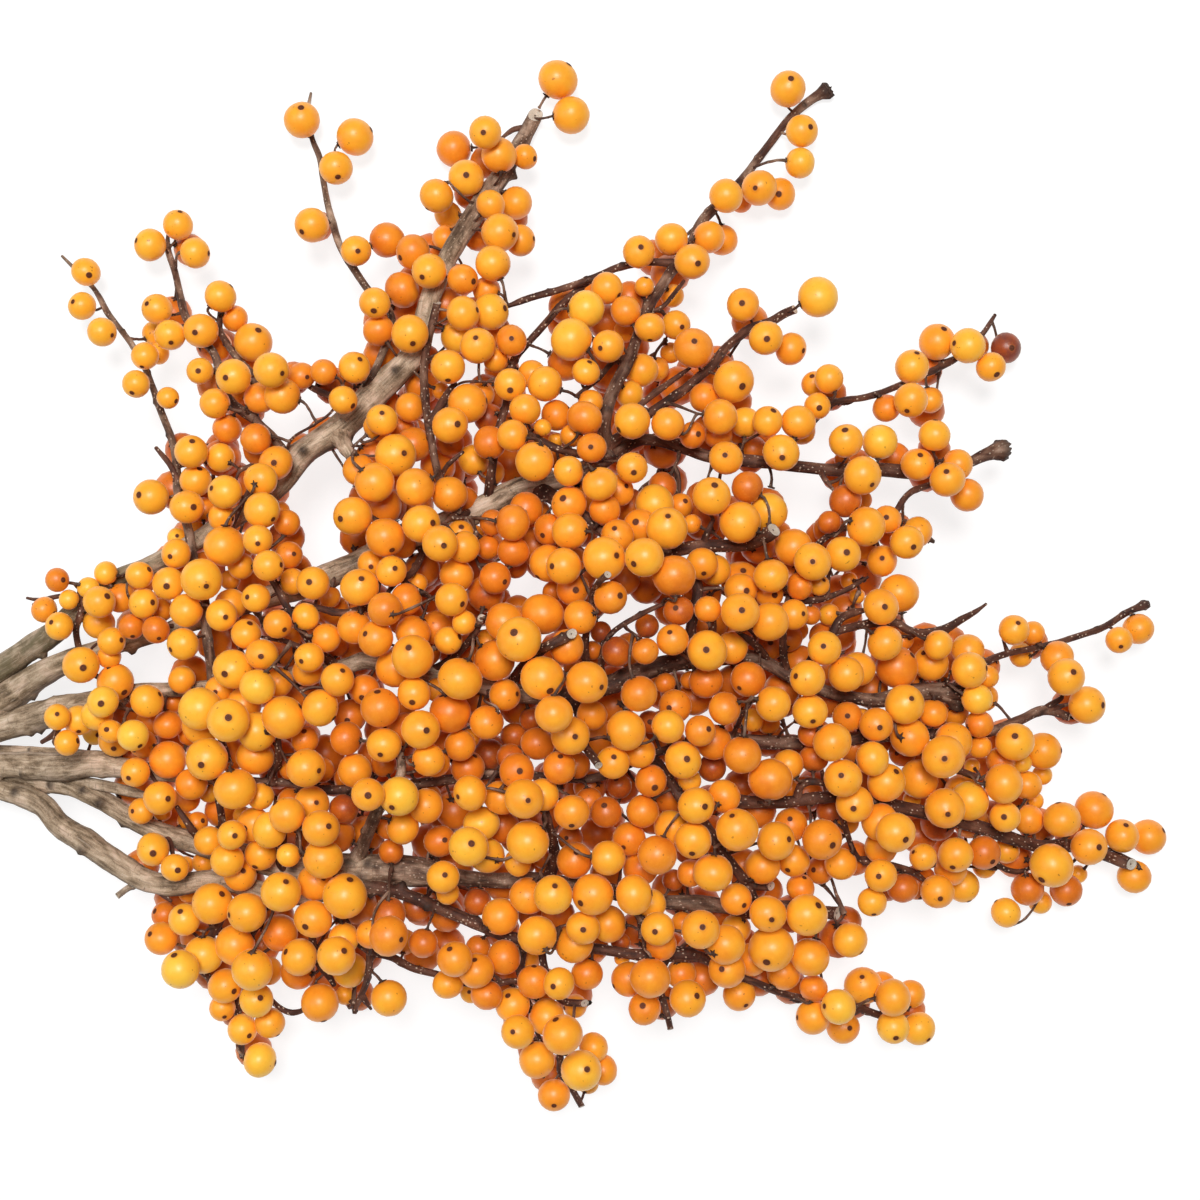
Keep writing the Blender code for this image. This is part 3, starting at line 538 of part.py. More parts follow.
def backfill(u, v, r, z, wood, taken, rng):
    """Adds the berries that close the small gaps between the upper ones on the plan."""
    cell = 3.0
    side = int(1230 / cell)
    axis = np.arange(side) * cell - 9.0
    height = np.full((side, side), -1.0)

    def patch(a, b, wide_by):
        i0, i1 = np.searchsorted(axis, [b - wide_by, b + wide_by])
        j0, j1 = np.searchsorted(axis, [a - wide_by, a + wide_by])
        gu, gv = axis[j0:j1][None, :] - a, axis[i0:i1][:, None] - b
        return slice(i0, i1), slice(j0, j1), gu**2 + gv**2

    def draw(a, b, wide_by, mid, thick):
        rows_at, cols_at, away = patch(a, b, wide_by)
        top = mid + thick * np.sqrt(np.maximum(1.0 - away / wide_by**2, 0.0))
        inside = away < wide_by**2
        here = height[rows_at, cols_at]
        here[inside] = np.maximum(here[inside], top[inside])

    for a, b, c, h in zip(u, v, r, z):
        draw(a, b, c, h, c * (EYE_MM - h) / PLAN_MM)
    for row in taken:
        draw(row[0], row[1], row[2], row[4], row[6])
    for row in wood[::2]:
        draw(row[4], row[5], max(row[6] / 2, 3.2), row[2], row[3])
    solid = height > -0.5
    # Wider gaps close in the thick of the sprig, and only narrow ones near its edges.
    thick = ((axis[None, :] - 510.0) / 410.0) ** 2 + ((axis[:, None] - 690.0) / 265.0) ** 2 < 1.0
    closed = np.where(thick, ~wide(~wide(solid, 5), 5), ~wide(~wide(solid, 2), 2))
    closed[:, axis < 100.0] = False
    barred = np.zeros_like(solid)
    for entry in WINDOWS.replace("\n", ";").split(";"):
        part = [float(x) for x in entry.split()]
        if part:
            barred |= ((axis[None, :] - part[0]) / part[2]) ** 2 + ((axis[:, None] - part[1]) / part[3]) ** 2 < 1.0
    gap = closed & ~solid & ~barred
    p = np.vstack([spot(u, v, z), taken[:, 7:10]])
    size = np.concatenate([r * (EYE_MM - z) / PLAN_MM, taken[:, 6]])
    found = []
    places = []
    for a in np.arange(30.0, 1150.0, 8.0):
        for b in np.arange(90.0, 1090.0, 8.0):
            c = 15.5 + 4.5 * rng.random()
            rows_at, cols_at, away = patch(a, b, c)
            gain = int((gap[rows_at, cols_at] & (away < c * c)).sum())
            if gain >= 7:
                places.append((-gain, a, b, c))
    places.sort()
    for _, a, b, c in places:
        rows_at, cols_at, away = patch(a, b, c)
        inside = away < c * c
        open_now = gap[rows_at, cols_at] & inside
        if open_now.sum() < 6:
            continue
        ceiling = float(canopy(np.array(a), np.array(b))) - 6.0
        best, score = None, 5.0
        for h in np.arange(c * EYE_MM / PLAN_MM * 0.985 + 0.02, ceiling, 2.5):
            size_h = c * (EYE_MM - h) / PLAN_MM
            h = max(h, size_h + 0.02)
            q = spot(np.array(a), np.array(b), np.array(h))
            if (np.linalg.norm(p - q, axis=1) < size + size_h + 0.12).any():
                continue
            if (np.linalg.norm(wood[:, :3] - q, axis=1) < wood[:, 3] + size_h + 0.15).any():
                continue
            top = h + size_h * np.sqrt(np.maximum(1.0 - away / c**2, 0.0))
            seen = inside & (top > height[rows_at, cols_at])
            good = float((seen & open_now).sum())
            bad = float((seen & ~open_now).sum())
            value = good - 1.3 * bad + 0.04 * h
            if bad <= 0.13 * inside.sum() and value > score:
                best, score = (h, size_h, q, top, seen), value
        if best is None:
            continue
        h, size_h, q, top, seen = best
        here = height[rows_at, cols_at]
        here[inside] = np.maximum(here[inside], top[inside])
        gap[rows_at, cols_at] &= ~inside
        p = np.vstack([p, q[None]])
        size = np.append(size, size_h)
        found.append([a, b, c, 3.0, h, float(rng.integers(0, 3)), size_h, *q])
    return np.array(found)




CLUSTERS = 35  # groups of berries that hang together on their own twigs
TIE_MM = 1.35  # half the thickness of a tie between neighbouring berries
OWN = {
    # shoots with a node of their own, and the smaller shoots that belong to them
    "limb_a": "A A2 A3", "limb_b": "B B2", "limb_c": "C C2 C3 C4", "limb_d": "D D2 D3 E",
    "limb_e": "F", "limb_f": "G G2 G3",
    "side_branch_01": "T1 T1b", "side_branch_02": "T3 T2", "side_branch_03": "T6b T12 T13",
    "side_branch_04": "T7", "side_branch_05": "T9 T10 T17", "side_branch_06": "T8",
    "side_branch_07": "T11", "side_branch_08": "T16 T16b", "side_branch_09": "T19",
    "side_branch_10": "T30 T30b", "side_branch_11": "T31", "side_branch_12": "T36 T36b",
    "side_branch_13": "T39 T39b", "side_branch_14": "T58 T59 T59b T60 T61 T65",
    "side_branch_15": "T80 T81", "side_branch_16": "T50 T73 T73b",
}


def gather(shoots, p, size):
    """Groups the berries and the small twigs into clusters joined by short ties that miss the wood."""
    own = {name for names in OWN.values() for name in names.split()} | {"stem"}
    thick = np.vstack([shoots[n]["line"] for n in shoots if n in own])
    pos, rad, chain = [*p], [*size], []
    for shoot in shoots.values():
        if shoot["name"] in own:
            continue
        line = shoot["line"]
        clear = np.linalg.norm(line[:, None, :3] - thick[None, :, :3], axis=2) - thick[None, :, 3]
        keep = (clear.min(axis=1) > np.maximum(line[:, 3], 0.9) + 0.6) & (shoot["plan"][:, 0] > 14.0)
        last = -1
        for k in range(0, len(line), 2):
            if not keep[k]:
                last = -1
                continue
            pos.append(line[k, :3])
            rad.append(max(line[k, 3], 0.95))
            if last >= 0:
                chain.append((last, len(pos) - 1))
            last = len(pos) - 1
    pos, rad = np.array(pos), np.array(rad)
    n = len(p)
    edges = []
    for a, b in chain:
        edges.append((0.1, a, b))
    linked = {(a, b) for a, b in chain}
    for a in range(len(pos)):
        gap = np.linalg.norm(pos[a + 1 :] - pos[a], axis=1) - rad[a + 1 :] - rad[a]
        for k in np.nonzero(gap < 9.0)[0]:
            b = a + 1 + int(k)
            if a >= n and b >= n and gap[k] > 2.0:
                continue
            if (a, b) in linked:
                continue
            t = np.linspace(0.1, 0.9, 7)[:, None]
            path = pos[a] * (1 - t) + pos[b] * t
            lo, hi = path.min(axis=0) - 6.0, path.max(axis=0) + 6.0
            box = thick[((thick[:, :3] > lo) & (thick[:, :3] < hi)).all(axis=1)]
            if len(box):
                clear = np.linalg.norm(path[:, None] - box[None, :, :3], axis=2) - box[None, :, 3]
                if clear.min() < TIE_MM + 0.55:
                    continue
            edges.append((max(float(gap[k]), 0.0) + 0.3, a, b))
    links = [[] for _ in pos]
    for cost, a, b in edges:
        links[a].append((b, cost))
        links[b].append((a, cost))
    part = np.full(len(pos), -1)
    loose = []
    for start in range(len(pos)):
        if part[start] >= 0:
            continue
        part[start], todo, members = start, [start], []
        while todo:
            a = todo.pop()
            members.append(a)
            for b, _ in links[a]:
                if part[b] < 0:
                    part[b] = start
                    todo.append(b)
        if sum(a < n for a in members) < 6:
            loose.extend(members)
    part[loose] = -1
    held = np.nonzero(part[:n] >= 0)[0]
    seeds = [int(held[np.argmin(p[held, 0] + p[held, 1])])]
    away = np.linalg.norm(p[held] - p[seeds[0]], axis=1)
    while len(seeds) < CLUSTERS:
        seeds.append(int(held[np.argmax(away)]))
        away = np.minimum(away, np.linalg.norm(p[held] - p[seeds[-1]], axis=1))
    for _ in range(9):
        group = np.full(len(pos), -1)
        far = np.full(len(pos), 1e9)
        heap = [(0.0, s, k) for k, s in enumerate(seeds)]
        heapq.heapify(heap)
        while heap:
            cost, a, k = heapq.heappop(heap)
            if group[a] >= 0:
                continue
            group[a] = k
            for b, step in links[a]:
                reach = cost + 0.35 * step + 0.13 * float(np.linalg.norm(pos[a] - pos[b])) ** 1.4
                if group[b] < 0 and reach < far[b]:
                    far[b] = reach
                    heapq.heappush(heap, (reach, b, k))
        for k in range(CLUSTERS):
            mine = np.nonzero(group[:n] == k)[0]
            if len(mine):
                mid = p[mine].mean(axis=0)
                seeds[k] = int(mine[np.argmin(np.linalg.norm(p[mine] - mid, axis=1))])
    ties = [[] for _ in range(CLUSTERS)]
    root = list(range(len(pos)))

    def top(a):
        while root[a] != a:
            root[a] = root[root[a]]
            a = root[a]
        return a

    for cost, a, b in sorted(edges):
        if group[a] >= 0 and group[a] == group[b] and top(a) != top(b):
            root[top(a)] = top(b)
            ties[group[a]].append((a, b))
    # A berry with no way to its neighbours hangs on the nearest shoot that has a node of its own.
    owner = {name: node for node, names in OWN.items() for name in names.split()}
    labels = [n for n in shoots if n in owner for _ in shoots[n]["line"]]
    bars = np.vstack([shoots[n]["line"] for n in shoots if n in owner])
    perched = []
    for a in np.nonzero(group[:n] < 0)[0]:
        k = int(np.argmin(np.linalg.norm(bars[:, :3] - p[a], axis=1) - bars[:, 3]))
        perched.append((int(a), owner[labels[k]], bars[k]))
    return pos, rad, group, ties, perched


def layout():
    """Shoots, berries and clusters of the whole sprig, in millimetres."""
    shoots = read_wood()
    rows = read_berries()
    wood = np.vstack([np.concatenate([s["line"], s["plan"]], axis=1) for s in shoots.values()])
    rng = np.random.default_rng(7)
    u, v, z, size = settle(rows, wood, rng)
    hidden = fill(rows, u, v, z, size, wood, rng)
    hidden = np.vstack([hidden, backfill(u, v, rows[:, 2], z, wood, hidden, rng)])
    p = np.vstack([spot(u, v, z), hidden[:, 7:10]])
    size = np.concatenate([size, hidden[:, 6]])
    return shoots, p, size, len(rows), gather(shoots, p, size)


def clear_scene():
    for obj in list(bpy.data.objects):
        bpy.data.objects.remove(obj, do_unlink=True)


def material(name, colour, roughness):
    mat = bpy.data.materials.new(name)
    mat.use_nodes = True
    skin = mat.node_tree.nodes["Principled BSDF"]
    skin.inputs["Base Color"].default_value = (*colour, 1.0)
    skin.inputs["Roughness"].default_value = roughness
    skin.inputs["Metallic"].default_value = 0.0
    mat.diffuse_color = (*colour, 1.0)
    return mat


def put(name, mesh, collection, mat=None):
    obj = bpy.data.objects.new(name, mesh)
    collection.objects.link(obj)
    if mat:
        mesh.materials.clear()
        mesh.materials.append(mat)
    return obj


def evaluated(obj):
    bpy.context.view_layer.update()
    graph = bpy.context.evaluated_depsgraph_get()
    return bpy.data.meshes.new_from_object(obj.evaluated_get(graph), depsgraph=graph)


def baked(obj):
    """Replaces the object's mesh with what its modifiers make of it."""
    mesh = evaluated(obj)
    obj.modifiers.clear()
    old, obj.data = obj.data, mesh
    bpy.data.meshes.remove(old)
    return obj


def tube(name, line, collection, every, sides):
    """A round, tapering shoot along the line (x, y, z, radius in mm) with closed ends."""
    keep = list(range(0, len(line), every))
    if len(line) - 1 - keep[-1] < every // 2 and len(keep) > 1:
        keep.pop()
    keep.append(len(line) - 1)
    curve = bpy.data.curves.new(name, "CURVE")
    curve.dimensions = "3D"
    curve.bevel_depth = MM
    curve.bevel_resolution = sides // 2 - 2
    curve.use_fill_caps = True
    path = curve.splines.new("POLY")
    path.points.add(len(keep) - 1)
    for point, k in zip(path.points, keep):
        x, y, z, radius = line[k]
        point.co = (x * MM, y * MM, z * MM, 1.0)
        point.radius = max(radius, 0.9)
    guide = bpy.data.objects.new(name + "_path", curve)
    collection.objects.link(guide)
    mesh = evaluated(guide)
    bpy.data.objects.remove(guide, do_unlink=True)
    bpy.data.curves.remove(curve)
    shape = bmesh.new()
    shape.from_mesh(mesh)
    bmesh.ops.remove_doubles(shape, verts=shape.verts, dist=1e-6)
    bmesh.ops.recalc_face_normals(shape, faces=shape.faces)
    shape.to_mesh(mesh)
    shape.free()
    return mesh


def combine(obj, cutter, operation):
    cut = obj.modifiers.new("cut", "BOOLEAN")
    cut.operation = operation
    cut.solver = "MANIFOLD"
    cut.object = cutter
    return baked(obj)


def bodies(mesh):
    """The mesh's separate closed bodies as lists of face indices, the largest volume first."""
    shape = bmesh.new()
    shape.from_mesh(mesh)
    shape.faces.ensure_lookup_table()
    seen, found = set(), []
    for face in shape.faces:
        if face.index in seen:
            continue
        todo, group, volume = [face], [], 0.0
        seen.add(face.index)
        while todo:
            here = todo.pop()
            group.append(here.index)
            corners = [loop.vert.co for loop in here.loops]
            for k in range(1, len(corners) - 1):
                volume += corners[0].dot(corners[k].cross(corners[k + 1])) / 6.0
            for edge in here.edges:
                for other in edge.link_faces if len(edge.link_faces) == 2 else ():
                    if other.index not in seen:
                        seen.add(other.index)
                        todo.append(other)
        found.append((volume, group))
    shape.free()
    return sorted(found, key=lambda item: -item[0])


def largest(obj):
    """Keeps only the object's largest body, after closing necks thinner than a few microns."""
    shape = bmesh.new()
    shape.from_mesh(obj.data)
    bmesh.ops.triangulate(shape, faces=shape.faces)
    bmesh.ops.remove_doubles(shape, verts=shape.verts, dist=8e-6)
    shape.to_mesh(obj.data)
    shape.free()
    found = bodies(obj.data)
    if len(found) > 1:
        keep = set(found[0][1])
        shape = bmesh.new()
        shape.from_mesh(obj.data)
        shape.faces.ensure_lookup_table()
        drop = [face for face in shape.faces if face.index not in keep]
        bmesh.ops.delete(shape, geom=drop, context="FACES")
        shape.to_mesh(obj.data)
        shape.free()
    return obj


def tree_of(mesh):
    shape = bmesh.new()
    shape.from_mesh(mesh)
    tree = BVHTree.FromBMesh(shape)
    shape.free()
    return tree


def swollen(obj, helpers):
    """A copy of the object that is larger all round by the clearance."""
    copy = put(obj.name + "_swollen", obj.data.copy(), helpers)
    grow = copy.modifiers.new("grow", "DISPLACE")
    grow.strength = GAP
    grow.mid_level = 0.0
    grow.direction = "NORMAL"
    baked(copy)
    copy.hide_render = True
    copy.display_type = "WIRE"
    return copy


def add_ball(shape, centre, radius, steps):
    bmesh.ops.create_icosphere(
        shape, subdivisions=steps, radius=radius * MM, matrix=Matrix.Translation(Vector(centre) * MM)
    )


def add_rod(shape, a, b, radius, sides):
    a, b = Vector(a) * MM, Vector(b) * MM
    along = b - a
    turn = along.to_track_quat("Z", "Y").to_matrix().to_4x4()
    bmesh.ops.create_cone(
        shape, cap_ends=True, segments=sides, radius1=radius * MM, radius2=radius * MM,
        depth=along.length, matrix=Matrix.Translation((a + b) / 2) @ turn,
    )


def wood_piece(name, lines, balls, collection, helpers, mat, every, sides):
    """A limb or side branch with its small shoots, and any berry that hangs on it by itself."""
    obj = put(name, tube(name, lines[0], collection, every, sides), collection, mat)
    for line in lines[1:]:
        part = put(name + "_shoot", tube(name, line, collection, 3, 4), helpers)
        combine(obj, part, "UNION")
        bpy.data.objects.remove(part, do_unlink=True)
    for centre, radius, foot in balls:
        for add in ("rod", "ball"):
            shape = bmesh.new()
            if add == "rod":
                add_rod(shape, foot[:3], centre, 0.8, 5)
            else:
                add_ball(shape, centre, radius * 1.06, 1)
            mesh = bpy.data.meshes.new(name + "_berry")
            shape.to_mesh(mesh)
            shape.free()
            part = put(name + "_berry", mesh, helpers)
            combine(obj, part, "UNION")
            bpy.data.objects.remove(part, do_unlink=True)
    return obj


def cluster_piece(name, members, count, pos, rad, ties, collection, mat):
    """Berries grown together on their twigs, as one closed skin."""
    shape = bmesh.new()
    for k in members:
        if k < count:
            add_ball(shape, pos[k], rad[k] * SPREAD, 2)
    for a, b in ties:
        add_rod(shape, pos[a], pos[b], TIE_MM, 8)
    mesh = bpy.data.meshes.new(name)
    shape.to_mesh(mesh)
    shape.free()
    obj = put(name, mesh, collection, mat)
    skin = obj.modifiers.new("skin", "REMESH")
    skin.mode = "VOXEL"
    skin.voxel_size = BERRY_GRAIN
    baked(obj)
    largest(obj)
    berries = sum(k < count for k in members)
    want = FACES_PER_BERRY * berries + 2.0 * (len(members) - berries)
    thin = obj.modifiers.new("thin", "DECIMATE")
    thin.ratio = want / len(obj.data.polygons)
    return baked(obj)


def build():
    clear_scene()
    sprig = bpy.data.collections.new("winterberry_sprig")
    helpers = bpy.data.collections.new("cutters")
    bpy.context.scene.collection.children.link(sprig)
    bpy.context.scene.collection.children.link(helpers)
    helpers.hide_render = True
    shoots, p, size, shown, (pos, rad, group, ties, perched) = layout()
    bark = material("grey_bark", (0.42, 0.34, 0.26), 0.8)
    twig = material("purple_twig", (0.16, 0.07, 0.05), 0.6)
    fruit = material("berry_skin", (0.90, 0.38, 0.06), 0.35)
    table = {name: [] for name in OWN}
    for k, node, foot in perched:
        if k < shown:
            table[node].append((p[k], size[k], foot))
    pieces = []

    forks = [shoots["stem"]["line"][:-4]]
    for name in "ABCDFG":
        line, plan = shoots[name]["line"], shoots[name]["plan"]
        forks.append(line[plan[:, 0] < 8.0])
    pieces.append(wood_piece("main_stem", forks, [], sprig, helpers, bark, 8, 8))
    for node, names in OWN.items():
        lines = []
        for k, name in enumerate(names.split()):
            line, plan = shoots[name]["line"], shoots[name]["plan"]
            if name in "ABCDFG":
                line = line[plan[:, 0] > 10.0]
            elif plan[0, 0] < 10.0:
                continue
            lines.append(line)
        limb = node.startswith("limb")
        pieces.append(
            wood_piece(
                node, lines, table[node], sprig, helpers, bark if limb else twig,
                7 if limb else 5, 6 if limb else 4,
            )
        )
    for k in range(CLUSTERS):
        members = [int(a) for a in np.nonzero(group == k)[0]]
        pieces.append(
            cluster_piece(f"berry_cluster_{k + 1:02d}", members, len(p), pos, rad, ties[k], sprig, fruit)
        )

    # What meets the table is flat there, and each piece stands clear of the ones before it.
    slab = bpy.data.meshes.new("table")
    shape = bmesh.new()
    bmesh.ops.create_cube(shape, size=1.0, matrix=Matrix.Translation((0.0, 0.0, -0.5)))
    shape.to_mesh(slab)
    shape.free()
    slab = put("table", slab, helpers)
    done = []
    for obj in pieces:
        if min(v.co.z for v in obj.data.vertices) < 0.0:
            combine(obj, slab, "DIFFERENCE")
        box = np.array([v.co[:] for v in obj.data.vertices])
        low, high = box.min(axis=0) - 2 * GAP, box.max(axis=0) + 2 * GAP
        tree = tree_of(obj.data)
        for other, o_low, o_high, o_tree, cutter in done:
            if (low > o_high).any() or (high < o_low).any():
                continue
            if not tree.overlap(o_tree):
                continue
            combine(obj, cutter, "DIFFERENCE")
            tree = tree_of(obj.data)
            if tree.overlap(tree_of(other.data)):
                combine(obj, other, "DIFFERENCE")
                tree = tree_of(obj.data)
        largest(obj)
        cutter = swollen(obj, helpers)
        box = np.array([v.co[:] for v in cutter.data.vertices])
        done.append((obj, box.min(axis=0), box.max(axis=0), tree_of(cutter.data), cutter))
    for _, _, _, _, cutter in done:
        bpy.data.objects.remove(cutter, do_unlink=True)
    bpy.data.objects.remove(slab, do_unlink=True)

    corners = np.vstack([np.array([v.co[:] for v in obj.data.vertices]) for obj in pieces])
    low, high = corners.min(axis=0), corners.max(axis=0)
    base = bpy.data.objects.new("winterberry_sprig_origin", None)
    sprig.objects.link(base)
    base.location = (-(low[0] + high[0]) / 2, -(low[1] + high[1]) / 2, -low[2])
    for obj in pieces:
        obj.parent = base
        for face in obj.data.polygons:
            face.use_smooth = True
        obj.data.set_sharp_from_angle(angle=math.radians(50))
    print("box in mm:", (low * 1000).round(2), (high * 1000).round(2))
    return pieces


build()
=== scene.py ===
"""Looks of the winterberry sprig: berries with their dark eyes, stalks, twigs and bark.

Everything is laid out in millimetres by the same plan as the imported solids, and then
moved by SHIFT into the row's frame.
"""

import heapq
import json
import math

import bmesh
import bpy
import numpy as np
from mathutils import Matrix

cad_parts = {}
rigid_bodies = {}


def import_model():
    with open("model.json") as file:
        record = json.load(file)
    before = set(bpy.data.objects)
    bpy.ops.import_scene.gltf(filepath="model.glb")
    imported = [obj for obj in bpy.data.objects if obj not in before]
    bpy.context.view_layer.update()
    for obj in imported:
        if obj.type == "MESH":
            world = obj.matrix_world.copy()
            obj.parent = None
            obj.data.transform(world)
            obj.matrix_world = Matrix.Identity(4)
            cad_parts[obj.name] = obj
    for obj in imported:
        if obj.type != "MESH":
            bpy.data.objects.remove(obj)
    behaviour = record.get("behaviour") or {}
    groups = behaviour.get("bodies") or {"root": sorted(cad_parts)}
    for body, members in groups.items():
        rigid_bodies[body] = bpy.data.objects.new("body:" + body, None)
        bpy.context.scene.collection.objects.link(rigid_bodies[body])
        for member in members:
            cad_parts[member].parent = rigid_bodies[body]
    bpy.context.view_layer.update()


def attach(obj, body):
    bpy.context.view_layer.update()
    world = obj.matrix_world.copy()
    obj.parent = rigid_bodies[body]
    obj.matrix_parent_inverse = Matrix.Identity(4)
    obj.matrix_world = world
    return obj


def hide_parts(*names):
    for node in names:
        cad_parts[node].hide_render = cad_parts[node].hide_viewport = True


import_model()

MM = 0.001
SHIFT = np.array([48.195, -5.325, 0.0])  # mm from the plan's middle to the row's origin

